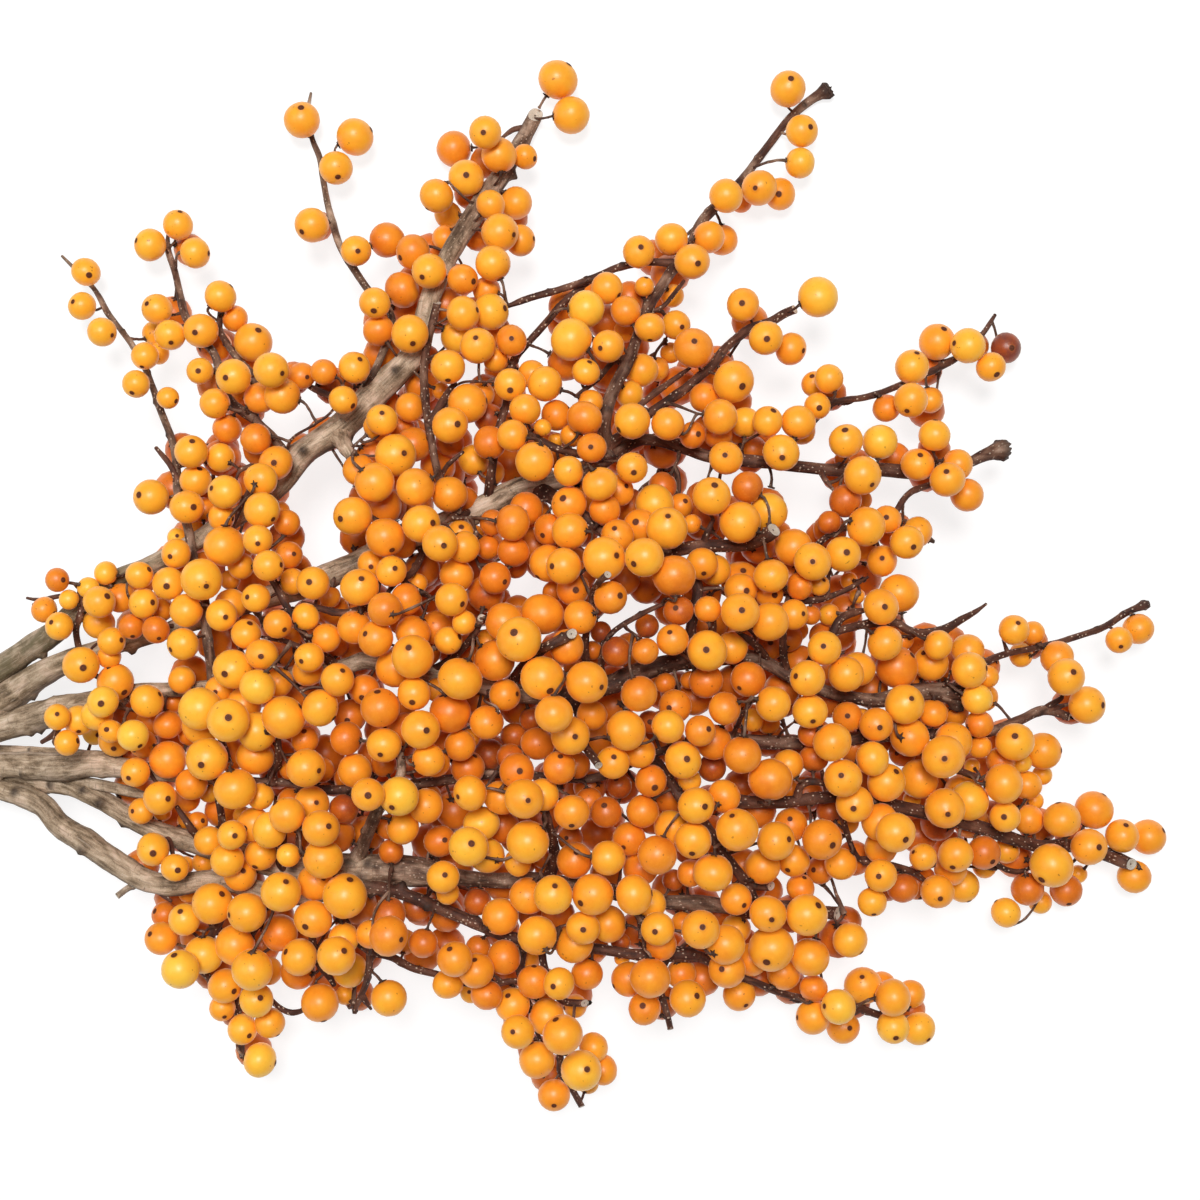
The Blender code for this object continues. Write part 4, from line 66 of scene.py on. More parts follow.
# Plan data. A plan sheet 1200 units square is laid over the sprig and seen from
# EYE_MM above the table. Across grows to +X and down the sheet grows to -Y.
# Each berry: across, down, radius, depth layer (0 is the top), where its dark eye
# sits (0 0 if it faces away) and its ripeness: n golden, y pale, d deep, r ruddy.
BERRIES = """
58 581 12 0 64 581 r; 49 608 13 1 59 612 d; 60 626 14 0 52 622 n; 74 600 10 1 0 0 y; 107 578 12 1 0 0 y; 93 586 11 1 0 0 y
97 600 16 0 105 594 n; 117 595 15 1 0 0 d; 140 578 14 0 150 572 n; 98 622 16 1 109 632 n; 141 605 15 0 150 604 n; 160 610 13 1 0 0 d
129 625 13 0 130 635 r; 155 628 14 0 158 637 r; 168 584 16 0 166 587 n; 176 554 15 0 170 557 n; 203 577 21.5 0 208 584 n; 186 608 17 0 0 0 n
183 644 16.5 0 170 650 n; 224 617 16 0 228 619 n; 111 644 14 0 121 643 n; 84 664 18 0 86 667 n; 113 660 12 1 0 0 n; 113 686 19 1 122 697 n
101 704 16 0 99 706 y; 147 701 17 0 160 694 n; 183 684 14 1 0 0 n; 60 718 13 0 60 715 n; 68 740 13 0 79 738 n; 81 716 15 1 81 727 y
93 718 16 1 0 0 y; 96 731 14 2 98 735 y; 130 735 16 0 137 746 y; 114 744 17 1 112 753 n; 108 727 12 1 104 725 n; 141 748 14 1 131 754 d
152 722 16 2 157 729 d; 168 725 15 1 0 0 d; 201 708 22 0 0 0 y; 203 724 20 1 0 0 n; 231 722 22 0 231 719 n; 235 668 20 0 227 673 n
222 692 14 1 218 694 n; 228 700 12 2 228 699 n; 210 759 21 0 204 765 n; 233 787 21 0 0 0 n; 163 761 19 1 175 775 d; 136 772 15 0 129 778 n
188 781 16 1 0 0 d; 160 798 16.5 0 168 799 n; 142 806 13 1 133 806 n; 187 798 14 2 0 0 d; 209 792 11 2 0 0 y; 190 735 12 2 0 0 d
172 702 12 2 0 0 d; 154 850 16.5 0 154 854 n; 174 867 14 0 177 870 n; 161 817 9 2 0 0 n; 197 824 11 2 203 822 d; 212 837 15 1 0 0 n
234 834 15 0 237 835 n; 228 862 17 0 0 0 n; 183 828 9 2 0 0 n; 200 857 11 2 0 0 n; 190 864 9 2 0 0 n; 215 902 21 0 225 892 n
188 893 10 2 0 0 n; 164 915 13 1 154 911 r; 187 918 16 0 183 910 n; 161 938 16.5 0 150 933 d
150 245 16 0 136 241 n; 178 225 15 0 180 212 n; 195 253 15.5 0 209 253 n; 86 272 14 0 89 275 n; 82 306 14 0 73 302 n; 102 332 14.5 0 112 335 n
157 309 15.5 0 147 304 n; 155 335 13 2 0 0 y; 171 335 15.5 0 172 343 n; 200 331 17 0 194 333 n; 145 356 14 0 142 367 n; 158 352 11 2 0 0 y
136 384 13.5 0 132 393 n; 168 398 11 0 176 401 n; 222 299 16 0 233 288 n; 231 316 13 1 0 0 d; 200 371 13.5 0 198 371 n; 216 402 15 0 0 0 n
233 379 18 0 225 380 n; 252 341 19 1 257 329 n; 272 373 18 0 283 376 n; 227 429 15 1 0 0 d; 259 403 16 1 0 0 d; 281 391 18.5 1 0 0 n
261 439 16 1 0 0 d; 242 392 12 2 245 398 d
193 452 17 0 194 441 n; 219 457 14.5 1 0 0 y; 192 481 16 1 196 469 n; 151 497 18 0 139 495 n; 187 507 17 0 194 507 n; 224 495 17.5 0 210 491 n
203 517 13 2 0 0 d; 226 519 14 1 238 521 n; 272 466 17 1 270 466 n; 263 478 16.5 0 0 0 n; 260 508 18 0 271 517 n; 287 523 13.5 1 0 0 d
275 505 10 2 0 0 n; 259 537 15.5 0 259 541 n; 222 544 21 0 0 0 n; 240 548 14 2 0 0 d; 289 555 13.5 1 294 554 d; 267 563 16 0 280 562 n
241 566 14 1 0 0 n; 180 537 10 2 180 535 y; 200 540 11 2 0 0 n; 291 582 13 1 0 0 n; 313 583 16.5 0 309 582 n; 256 598 15 0 247 597 n
231 604 16 1 0 0 n; 230 580 10 2 0 0 n; 278 624 14.5 0 285 630 d; 247 618 11 2 250 619 d; 248 636 15 0 252 625 n; 302 620 14 1 0 0 y
326 633 15 1 0 0 n; 292 637 10 2 0 0 n; 330 597 11 2 0 0 n
302 120 18 0 301 108 n; 355 137 19 0 372 129 n; 336 168 16.5 0 338 177 n; 312 225 17 0 302 232 n; 356 251 15 0 358 251 n; 387 240 18 1 0 0 d
413 252 17.5 0 400 258 d; 431 273 18 0 424 279 n; 402 290 18 1 0 0 d; 438 195 17 0 427 210 n; 454 149 18.5 1 0 0 d; 469 179 18 0 469 176 n
487 135 16 0 485 135 n; 448 215 14 2 0 0 y; 445 238 13 2 0 0 n; 463 278 15.5 0 474 280 d; 491 265 18 0 0 0 n
558 80 20 0 570 64 n; 571 115 18.5 0 0 0 n; 520 157 12.5 1 530 159 n; 497 160 18 1 0 0 n; 516 203 16.5 1 0 0 n; 490 205 15 0 0 0 n
503 233 19 0 517 235 n; 516 240 15.5 1 530 238 n; 487 290 14 1 0 0 n; 495 309 18.5 1 510 305 y; 466 313 17.5 0 481 309 n; 639 252 16 0 641 247 n
672 240 16.5 0 0 0 n; 704 237 16 1 0 0 n; 691 262 18 0 697 264 n; 606 291 16 0 618 298 n; 648 290 10 1 650 281 n; 672 296 12 2 0 0 y
788 89 18 0 791 79 n; 802 131 16 0 811 127 n; 800 163 15.5 0 0 0 y; 726 196 17.5 0 713 206 n; 762 188 18 0 758 188 n; 777 194 16 1 776 194 n
741 202 11 2 0 0 d; 722 240 16 2 0 0 n; 818 297 20 0 0 0 y; 743 305 16.5 0 742 303 n
375 306 15.5 0 374 314 n; 383 333 15.5 1 0 0 d; 410 334 19 0 413 344 n; 354 368 16 0 360 359 n; 324 372 13.5 0 0 0 d; 301 381 14 1 307 382 d
343 400 14.5 0 353 406 n; 382 420 16 0 382 413 n; 377 427 14 1 0 0 n; 412 408 15 1 0 0 n; 402 427 14 2 0 0 d; 410 448 18 1 424 442 d
396 458 21 0 405 456 n; 356 466 16.5 1 0 0 n; 376 480 20 0 0 0 n; 418 488 20 0 0 0 n; 449 499 18 1 0 0 n; 470 507 15 2 0 0 d
355 514 19.5 0 343 517 n; 448 367 18 0 448 381 n; 458 335 17 1 0 0 y; 478 346 18 0 476 338 n; 511 341 15.5 0 511 339 d; 499 360 13 1 0 0 n
464 403 20 1 484 400 n; 450 425 18.5 0 458 424 n; 451 443 14.5 2 0 0 d; 483 398 13 2 0 0 n; 488 415 15.5 2 0 0 r; 494 445 17 1 0 0 d
510 437 16 0 0 0 n; 475 461 16 2 0 0 y; 489 471 14 3 0 0 y; 441 391 9 2 0 0 n
586 312 19 0 0 0 y; 625 310 15.5 0 0 0 d; 649 327 15 0 649 340 n; 676 325 14.5 1 682 327 n; 693 351 20 0 694 344 d; 573 337 21 0 0 0 y
607 346 16 0 599 348 n; 586 372 14 0 590 361 n; 588 398 13 1 0 0 n; 625 331 12 2 0 0 n; 545 385 18.5 0 0 0 n; 532 374 14 1 0 0 n
512 387 16 0 512 393 n; 526 411 16 0 0 0 n; 556 414 16 1 570 407 d; 584 421 17.5 0 0 0 d; 573 438 12 1 0 0 n; 591 445 15 0 590 444 d
633 421 18.5 0 619 430 n; 667 424 17 0 651 412 n; 694 435 13.5 1 700 434 d; 640 373 17 2 0 0 y; 659 367 12 3 0 0 y; 669 355 11 3 0 0 y
631 392 14 2 0 0 y; 706 395 15.5 1 716 407 d; 533 459 19.5 0 0 0 n; 568 474 16 0 0 0 n; 600 487 17.5 0 0 0 n; 618 492 15.5 1 626 487 n
632 468 15.5 0 634 473 n; 572 508 18 1 566 502 n; 530 512 17 1 528 516 d; 540 432 9 1 0 0 y; 666 490 15 2 0 0 d; 652 508 20 1 0 0 y
664 528 21 0 665 516 n; 677 502 13 2 682 497 n; 714 498 19 0 717 487 n; 692 524 10 1 0 0 n; 556 440 8 2 0 0 y
766 338 17 0 767 339 n; 791 349 16 1 804 351 n; 731 383 20.5 0 740 388 n; 814 384 13 1 812 376 n; 828 381 15 0 0 0 n; 818 411 13.5 1 820 413 n
798 423 17 0 0 0 n; 802 431 14 2 0 0 y; 769 422 15.5 0 775 411 n; 744 423 16 1 0 0 y; 738 435 10 2 0 0 d; 720 420 18 0 0 0 n
718 430 15 1 0 0 d; 726 458 17 0 725 455 n; 753 458 14.5 2 0 0 d; 781 452 18.5 0 782 457 n; 748 489 16 0 0 0 r; 846 441 17 0 845 430 n
880 442 18 0 0 0 y; 842 460 8 2 0 0 n; 861 478 19.5 0 871 488 n; 844 496 16.5 1 855 505 r; 861 500 11 2 0 0 n; 834 521 12 1 0 0 r
915 469 17 1 918 459 n; 933 438 16 0 934 422 n; 946 477 17.5 0 945 469 n; 953 467 16 1 0 0 n; 967 495 17 1 0 0 n; 912 367 17.5 0 917 353 n
938 342 18.5 1 945 329 n; 966 348 18 0 952 345 y; 1006 348 15.5 1 1012 348 r; 991 367 14.5 0 997 375 n; 908 401 17.5 0 904 412 n; 889 404 14.5 1 0 0 d
930 400 13.5 1 0 0 n
386 537 20 0 393 550 d; 421 526 19.5 0 433 525 n; 402 545 14 2 0 0 n; 443 544 18.5 0 447 546 n; 371 564 14 1 371 567 n; 391 571 15.5 0 395 568 n
360 587 19 0 362 578 n; 411 597 16 1 0 0 n; 418 583 10 2 0 0 y; 384 612 17 0 0 0 d; 353 632 17 1 0 0 n; 374 636 18 0 363 631 d
334 652 12 2 0 0 d; 311 655 15 0 303 659 n; 308 671 16 1 0 0 n; 336 682 17 0 341 673 n; 318 706 18.5 0 332 717 n; 350 716 17 2 347 721 d
365 690 15.5 1 362 698 d; 381 708 19.5 0 378 692 d; 412 654 22 0 408 645 n; 395 668 20 1 0 0 n; 418 632 18 1 0 0 n; 430 631 18 2 0 0 n
435 652 14 2 0 0 d; 451 641 14.5 1 463 637 y; 452 620 10 2 0 0 y; 453 602 16.5 0 464 607 n; 414 693 17 0 412 702 n; 421 731 19.5 0 427 732 n
452 717 21 1 0 0 d; 460 679 22 0 0 0 n; 437 690 12 2 0 0 y; 259 655 16 0 258 657 n; 258 684 18.5 0 0 0 y; 278 682 15.5 1 0 0 n
243 706 18 1 0 0 n; 281 719 21.5 0 298 708 n; 262 730 20 1 283 733 y; 305 740 14 1 304 731 d
512 525 18 0 0 0 d; 492 527 13 1 0 0 d; 545 527 16 1 538 533 d; 570 529 18.5 0 0 0 n; 604 515 16 1 0 0 n; 636 528 17 1 631 524 n
618 541 17 1 615 533 n; 606 556 22 0 619 553 n; 643 560 20 0 632 567 n; 625 580 15 2 0 0 d; 672 578 22 0 0 0 d; 552 560 19 1 541 574 n
565 566 18.5 0 553 566 n; 571 591 17 1 574 592 d; 553 592 11 2 0 0 d; 610 595 17 0 620 593 d; 583 575 14 2 0 0 d; 581 622 17 1 0 0 n
600 634 11 2 0 0 r; 506 619 19 1 0 0 n; 541 618 22 1 0 0 n; 520 642 22.5 0 515 635 n; 567 642 18 1 0 0 n; 590 657 10 2 0 0 d
497 662 21 1 0 0 n; 488 643 14 2 0 0 y; 545 677 22.5 0 553 690 n; 585 682 21.5 0 600 687 n; 480 693 14 2 485 684 d; 502 692 16.5 1 515 691 n
487 720 17 1 0 0 n; 553 711 19.5 0 0 0 n; 592 715 16 1 0 0 n; 569 734 20 0 574 735 n; 515 735 14 3 0 0 r; 530 720 12 3 0 0 r
625 733 20 0 0 0 n; 639 694 19 0 0 0 d; 671 727 17 0 0 0 n; 675 706 17 1 669 708 d; 665 683 11 2 0 0 d; 650 722 12 2 650 722 r
616 650 15.5 1 0 0 r; 648 650 14 0 0 0 d; 673 638 16 0 670 630 d; 647 626 12 2 0 0 r; 680 606 15 1 677 603 r; 512 549 16 1 0 0 d
490 543 13 1 0 0 d; 495 578 16 1 505 582 d; 516 567 12 2 0 0 r; 461 547 16 0 0 0 n; 460 534 15 1 461 526 n; 458 571 17 1 0 0 n
475 535 10 2 0 0 n; 469 624 12 1 0 0 y; 470 738 10 2 0 0 y
742 520 21 0 0 0 n; 768 517 19 1 0 0 y; 698 567 16.5 1 700 577 n; 722 573 16 2 0 0 y; 737 612 20 0 739 610 n; 742 590 17 1 748 591 n
733 578 20 2 736 567 n; 712 612 14 1 0 0 n; 771 576 18 0 0 0 n; 768 594 14 1 774 595 n; 767 621 19.5 0 0 0 n; 789 613 15 1 799 612 n
790 634 11 2 0 0 y; 705 650 21 0 704 649 n; 733 651 17 1 0 0 n; 797 551 19 1 0 0 n; 810 563 19 0 810 563 n; 845 552 18.5 0 849 550 n
866 550 14 2 0 0 n; 880 560 15.5 1 880 557 n; 869 526 20 0 0 0 n; 886 524 14 1 885 522 n; 799 589 14 1 0 0 d; 820 590 11 1 825 585 n
849 581 9 2 0 0 n; 857 596 8 2 0 0 y; 881 607 18 0 885 607 n; 898 592 20.5 1 0 0 n; 811 614 10 1 0 0 d; 828 621 11 2 0 0 y
820 634 14 2 0 0 d; 825 650 17.5 0 824 648 n; 795 656 18 2 0 0 d; 808 678 18 0 796 676 n; 845 673 18.5 0 0 0 n; 858 669 17.5 1 854 681 n
810 711 17.5 0 813 721 n; 773 704 18 0 0 0 n; 723 710 17 0 0 0 d; 706 681 18 1 0 0 d; 746 681 18 1 737 690 d; 690 680 10 2 0 0 d
699 729 16 0 708 727 d; 752 720 12 2 0 0 y; 768 730 12 2 0 0 n; 770 655 14 2 772 650 r; 785 645 14 2 0 0 d; 885 643 18 0 0 0 n
848 717 15 1 848 716 d; 878 727 17 0 882 730 d; 862 722 12 2 0 0 n; 812 735 13 1 0 0 r
905 540 17 0 912 545 n; 917 532 16 1 904 523 n; 903 640 11 2 0 0 n; 938 645 15 0 0 0 n; 931 663 18 1 924 653 n; 968 650 16.5 1 969 655 n
970 673 18 0 987 671 n; 982 676 12 1 0 0 n; 976 697 15.5 1 0 0 y; 985 698 13.5 2 0 0 y; 897 668 21 1 912 656 d; 903 707 20 0 910 701 n
928 714 14.5 1 0 0 n; 907 733 20 1 0 0 n; 955 712 14 2 0 0 n; 979 729 14 1 0 0 d; 979 742 12 1 0 0 n; 948 740 20 1 0 0 n
946 755 21.5 0 947 757 n; 1015 742 19 0 1015 736 n; 1043 751 18.5 1 1061 750 n; 1087 705 18.5 0 1103 705 n; 1066 674 18.5 0 1073 669 n; 1052 657 16.5 1 0 0 n
1014 630 15 0 1018 623 n; 1034 637 12 1 0 0 n; 1021 655 12.5 2 0 0 y; 1119 640 13.5 0 1121 647 n; 1137 624 15.5 1 0 0 n
1005 763 15 1 0 0 d; 1001 785 20 0 0 0 n; 1018 765 10 1 0 0 y; 1026 783 15 1 0 0 n; 1042 775 10 2 0 0 y; 1034 801 10 2 0 0 y; 972 766 8 2 0 0 y
260 756 19 1 252 775 n; 306 768 19.5 0 319 771 n; 287 770 11 2 0 0 d; 347 742 17 1 0 0 d; 354 767 17.5 1 0 0 n; 347 786 14 2 0 0 d
384 745 18 0 380 755 n; 384 764 13 2 0 0 d; 322 777 14 2 0 0 d; 428 757 16.5 0 0 0 n; 436 762 15 1 0 0 n; 409 766 9 2 0 0 r
371 795 17 0 371 796 n; 397 794 19.5 0 390 805 y; 426 789 14 2 0 0 d; 424 808 18 1 0 0 n; 405 826 17 1 0 0 n; 385 829 13 2 0 0 d
391 850 13 2 0 0 d; 440 841 16 2 445 840 d; 443 877 16 0 445 875 n; 448 893 12 1 0 0 n; 419 900 15 2 0 0 r; 259 801 14 1 0 0 y
243 816 10 2 0 0 y; 258 827 17 1 249 831 n; 274 828 18 1 0 0 y; 285 817 18 0 273 805 n; 309 806 18 1 314 805 n; 297 797 14 2 0 0 d
344 808 15 2 0 0 r; 318 829 18.5 0 326 827 n; 339 836 17 2 0 0 d; 323 856 20 0 0 0 n; 293 853 12 1 0 0 y; 316 884 18 1 324 880 n
345 896 22.5 0 350 880 n; 281 892 20 0 286 882 n; 265 857 16.5 1 259 870 n; 241 879 17 1 244 876 n; 247 852 13 2 240 857 d; 244 912 20 0 226 914 n
280 933 19 1 0 0 d; 313 919 19 0 305 927 n; 347 935 16 1 0 0 y; 337 953 20 0 345 948 n; 367 931 15 1 368 913 n; 388 933 20 0 401 937 d
388 919 17 1 0 0 r; 404 942 13 2 0 0 n; 422 943 15 0 0 0 r; 240 946 20 1 0 0 n; 299 957 18.5 0 285 951 n
458 741 16 1 0 0 n; 468 768 17 2 475 756 d; 489 757 16 3 0 0 r; 470 793 17.5 0 457 797 n; 501 798 17.5 1 508 785 n; 527 798 20 0 531 800 n
542 800 17 1 0 0 y; 520 775 18 1 523 775 d; 557 772 17.5 1 558 760 d; 537 744 17 2 0 0 d; 511 757 14 2 521 747 r; 577 765 14 2 0 0 d
614 760 16.5 0 615 754 n; 641 756 16 1 640 747 n; 619 786 13 2 616 779 r; 648 783 16 1 652 790 d; 643 808 17 1 0 0 d; 606 812 16 1 604 805 r
569 811 18 0 569 825 d; 589 801 14 2 0 0 d; 470 844 20 0 473 841 y; 480 826 18 1 0 0 y; 490 856 18 1 0 0 y; 528 842 21.5 0 0 0 n
515 862 14 1 0 0 n; 530 868 12 2 0 0 d; 545 866 10 2 0 0 d; 578 864 18 1 580 856 d; 571 842 13 2 567 842 r; 608 858 17.5 0 0 0 n
631 838 17 1 625 847 d; 640 866 17.5 1 0 0 d; 660 854 20 0 0 0 d; 590 894 21.5 0 577 903 n; 556 895 19.5 0 558 886 n; 525 899 19.5 1 0 0 n
631 895 19.5 0 650 893 n; 500 912 19 1 0 0 n; 482 901 14 2 0 0 r; 537 935 20 0 0 0 n; 573 948 20 1 0 0 n; 584 925 17 0 584 927 n
609 924 18.5 1 0 0 n; 652 908 16 1 0 0 y; 658 932 16.5 0 655 935 n; 656 946 16 1 0 0 d; 620 948 10 2 0 0 r
683 760 18.5 0 687 759 n; 716 743 18 1 0 0 d; 712 768 14 2 0 0 r; 740 754 19.5 0 0 0 d; 773 778 22 0 0 0 d; 788 768 16 1 0 0 n
790 789 10 2 0 0 n; 809 759 15 1 0 0 r; 833 745 19.5 0 0 0 n; 845 776 19.5 0 843 773 n; 870 757 17.5 0 0 0 n; 886 782 19.5 0 896 771 n
854 803 18.5 0 853 808 n; 699 805 19 0 708 806 n; 722 801 17 1 0 0 n; 736 827 21.5 0 731 813 n; 776 841 20 0 790 839 n; 792 825 17 1 791 819 d
821 839 20 0 832 845 d; 830 812 13 2 0 0 r; 846 822 12 2 0 0 y; 766 866 18 1 0 0 n; 790 861 16.5 1 784 871 n; 845 861 16 1 0 0 n
820 870 14 2 813 870 d; 876 847 17 1 0 0 n; 881 873 16 0 879 874 n; 872 902 15 0 874 915 n; 850 940 18 0 862 953 n; 806 912 21.5 0 818 902 n
801 893 14.5 1 805 882 d; 768 913 18.5 0 772 919 n; 740 896 16 1 748 902 n; 810 957 20 0 0 0 n; 770 950 23 0 765 964 n; 752 958 17 1 0 0 n
703 931 20 0 705 929 n; 724 947 20 0 0 0 n; 737 927 15 2 0 0 y; 683 922 12 2 0 0 n; 712 873 20.5 0 0 0 n; 692 873 14 1 0 0 d
673 880 11 2 0 0 r; 674 829 18 1 669 842 n; 690 840 19 0 689 854 n; 688 782 12 1 0 0 y; 783 974 17 1 0 0 n
922 776 19.5 1 0 0 n; 905 757 14 2 899 758 r; 912 799 9 2 0 0 y; 943 806 20.5 0 946 812 n; 972 805 20 1 0 0 y; 962 792 17 2 0 0 n
974 822 18 2 0 0 n; 938 823 17.5 2 0 0 r; 893 831 19.5 0 903 838 n; 884 824 19 1 0 0 n; 923 857 14 0 913 852 n; 956 855 18 0 953 868 n
988 850 17 1 997 859 r; 1006 851 13 2 0 0 y; 985 865 13 2 0 0 y; 948 872 17 1 0 0 n; 963 886 16.5 2 969 901 y; 934 888 16.5 1 937 895 n
903 883 15.5 1 0 0 r; 1051 864 22 0 1041 879 n; 1060 820 18.5 0 1056 802 n; 1005 817 15 0 1004 817 n; 1030 820 15.5 1 0 0 n; 1089 847 18.5 0 1099 847 n
1095 811 19 1 1105 795 n; 1025 890 17 1 0 0 r; 1066 890 16.5 1 1069 904 r; 1078 874 9 2 0 0 y; 1008 910 15 1 998 899 y; 1040 902 12 2 0 0 y
1121 835 17 0 1125 824 n; 1148 837 17.5 1 1163 830 n; 1132 872 16.5 1 0 0 n
183 968 19.5 0 177 954 y; 202 950 19 1 0 0 y; 250 968 21 0 0 0 n; 230 984 17.5 1 239 990 n; 256 995 17 1 260 993 y; 267 975 14 1 0 0 n
298 972 17.5 1 0 0 d; 323 999 19 1 327 1017 n; 351 975 17.5 1 0 0 y; 345 995 10 2 0 0 y; 222 1003 13 1 224 1012 n; 240 1025 15.5 1 247 1032 y
265 1022 15.5 1 273 1035 n; 260 1060 17 0 276 1064 y
389 998 18.5 0 0 0 n; 447 979 15.5 1 0 0 n; 457 961 17.5 0 452 951 d; 478 968 17.5 0 476 957 d; 478 948 13 2 0 0 d; 502 960 18 1 0 0 d
524 957 17 2 0 0 n; 530 982 17 1 530 967 d; 556 984 16 0 550 987 n; 491 997 16 1 0 0 d; 471 992 11 2 469 992 y; 517 1002 17 1 512 993 n
517 1029 17 0 512 1029 n; 550 1015 18 1 0 0 n; 560 1033 20 0 553 1018 n; 575 1006 12 2 564 1008 y; 587 974 16 1 0 0 d; 537 1060 18 0 531 1044 n
554 1095 16.5 0 554 1106 d; 583 1068 21 0 589 1067 y; 592 1052 15 1 0 0 n; 601 1065 15.5 1 0 0 n; 588 1083 11 2 0 0 y
651 975 20 0 0 0 d; 631 983 17.5 1 616 990 d; 643 1006 16.5 0 641 1003 d; 682 972 15 1 0 0 d; 687 996 18.5 0 697 993 n; 722 968 19 1 717 968 n
741 992 16.5 1 748 1003 n; 622 957 8 2 0 0 y
816 993 14 1 0 0 d; 812 1012 17.5 1 796 1013 n; 836 1005 17.5 0 822 1005 y; 843 1027 16.5 1 850 1028 n; 868 987 19 1 867 978 n; 890 997 19 0 0 0 n
882 985 14 2 0 0 n; 911 997 14 1 0 0 n; 893 1027 17 0 896 1038 y; 914 1027 16.5 1 924 1038 y
"""
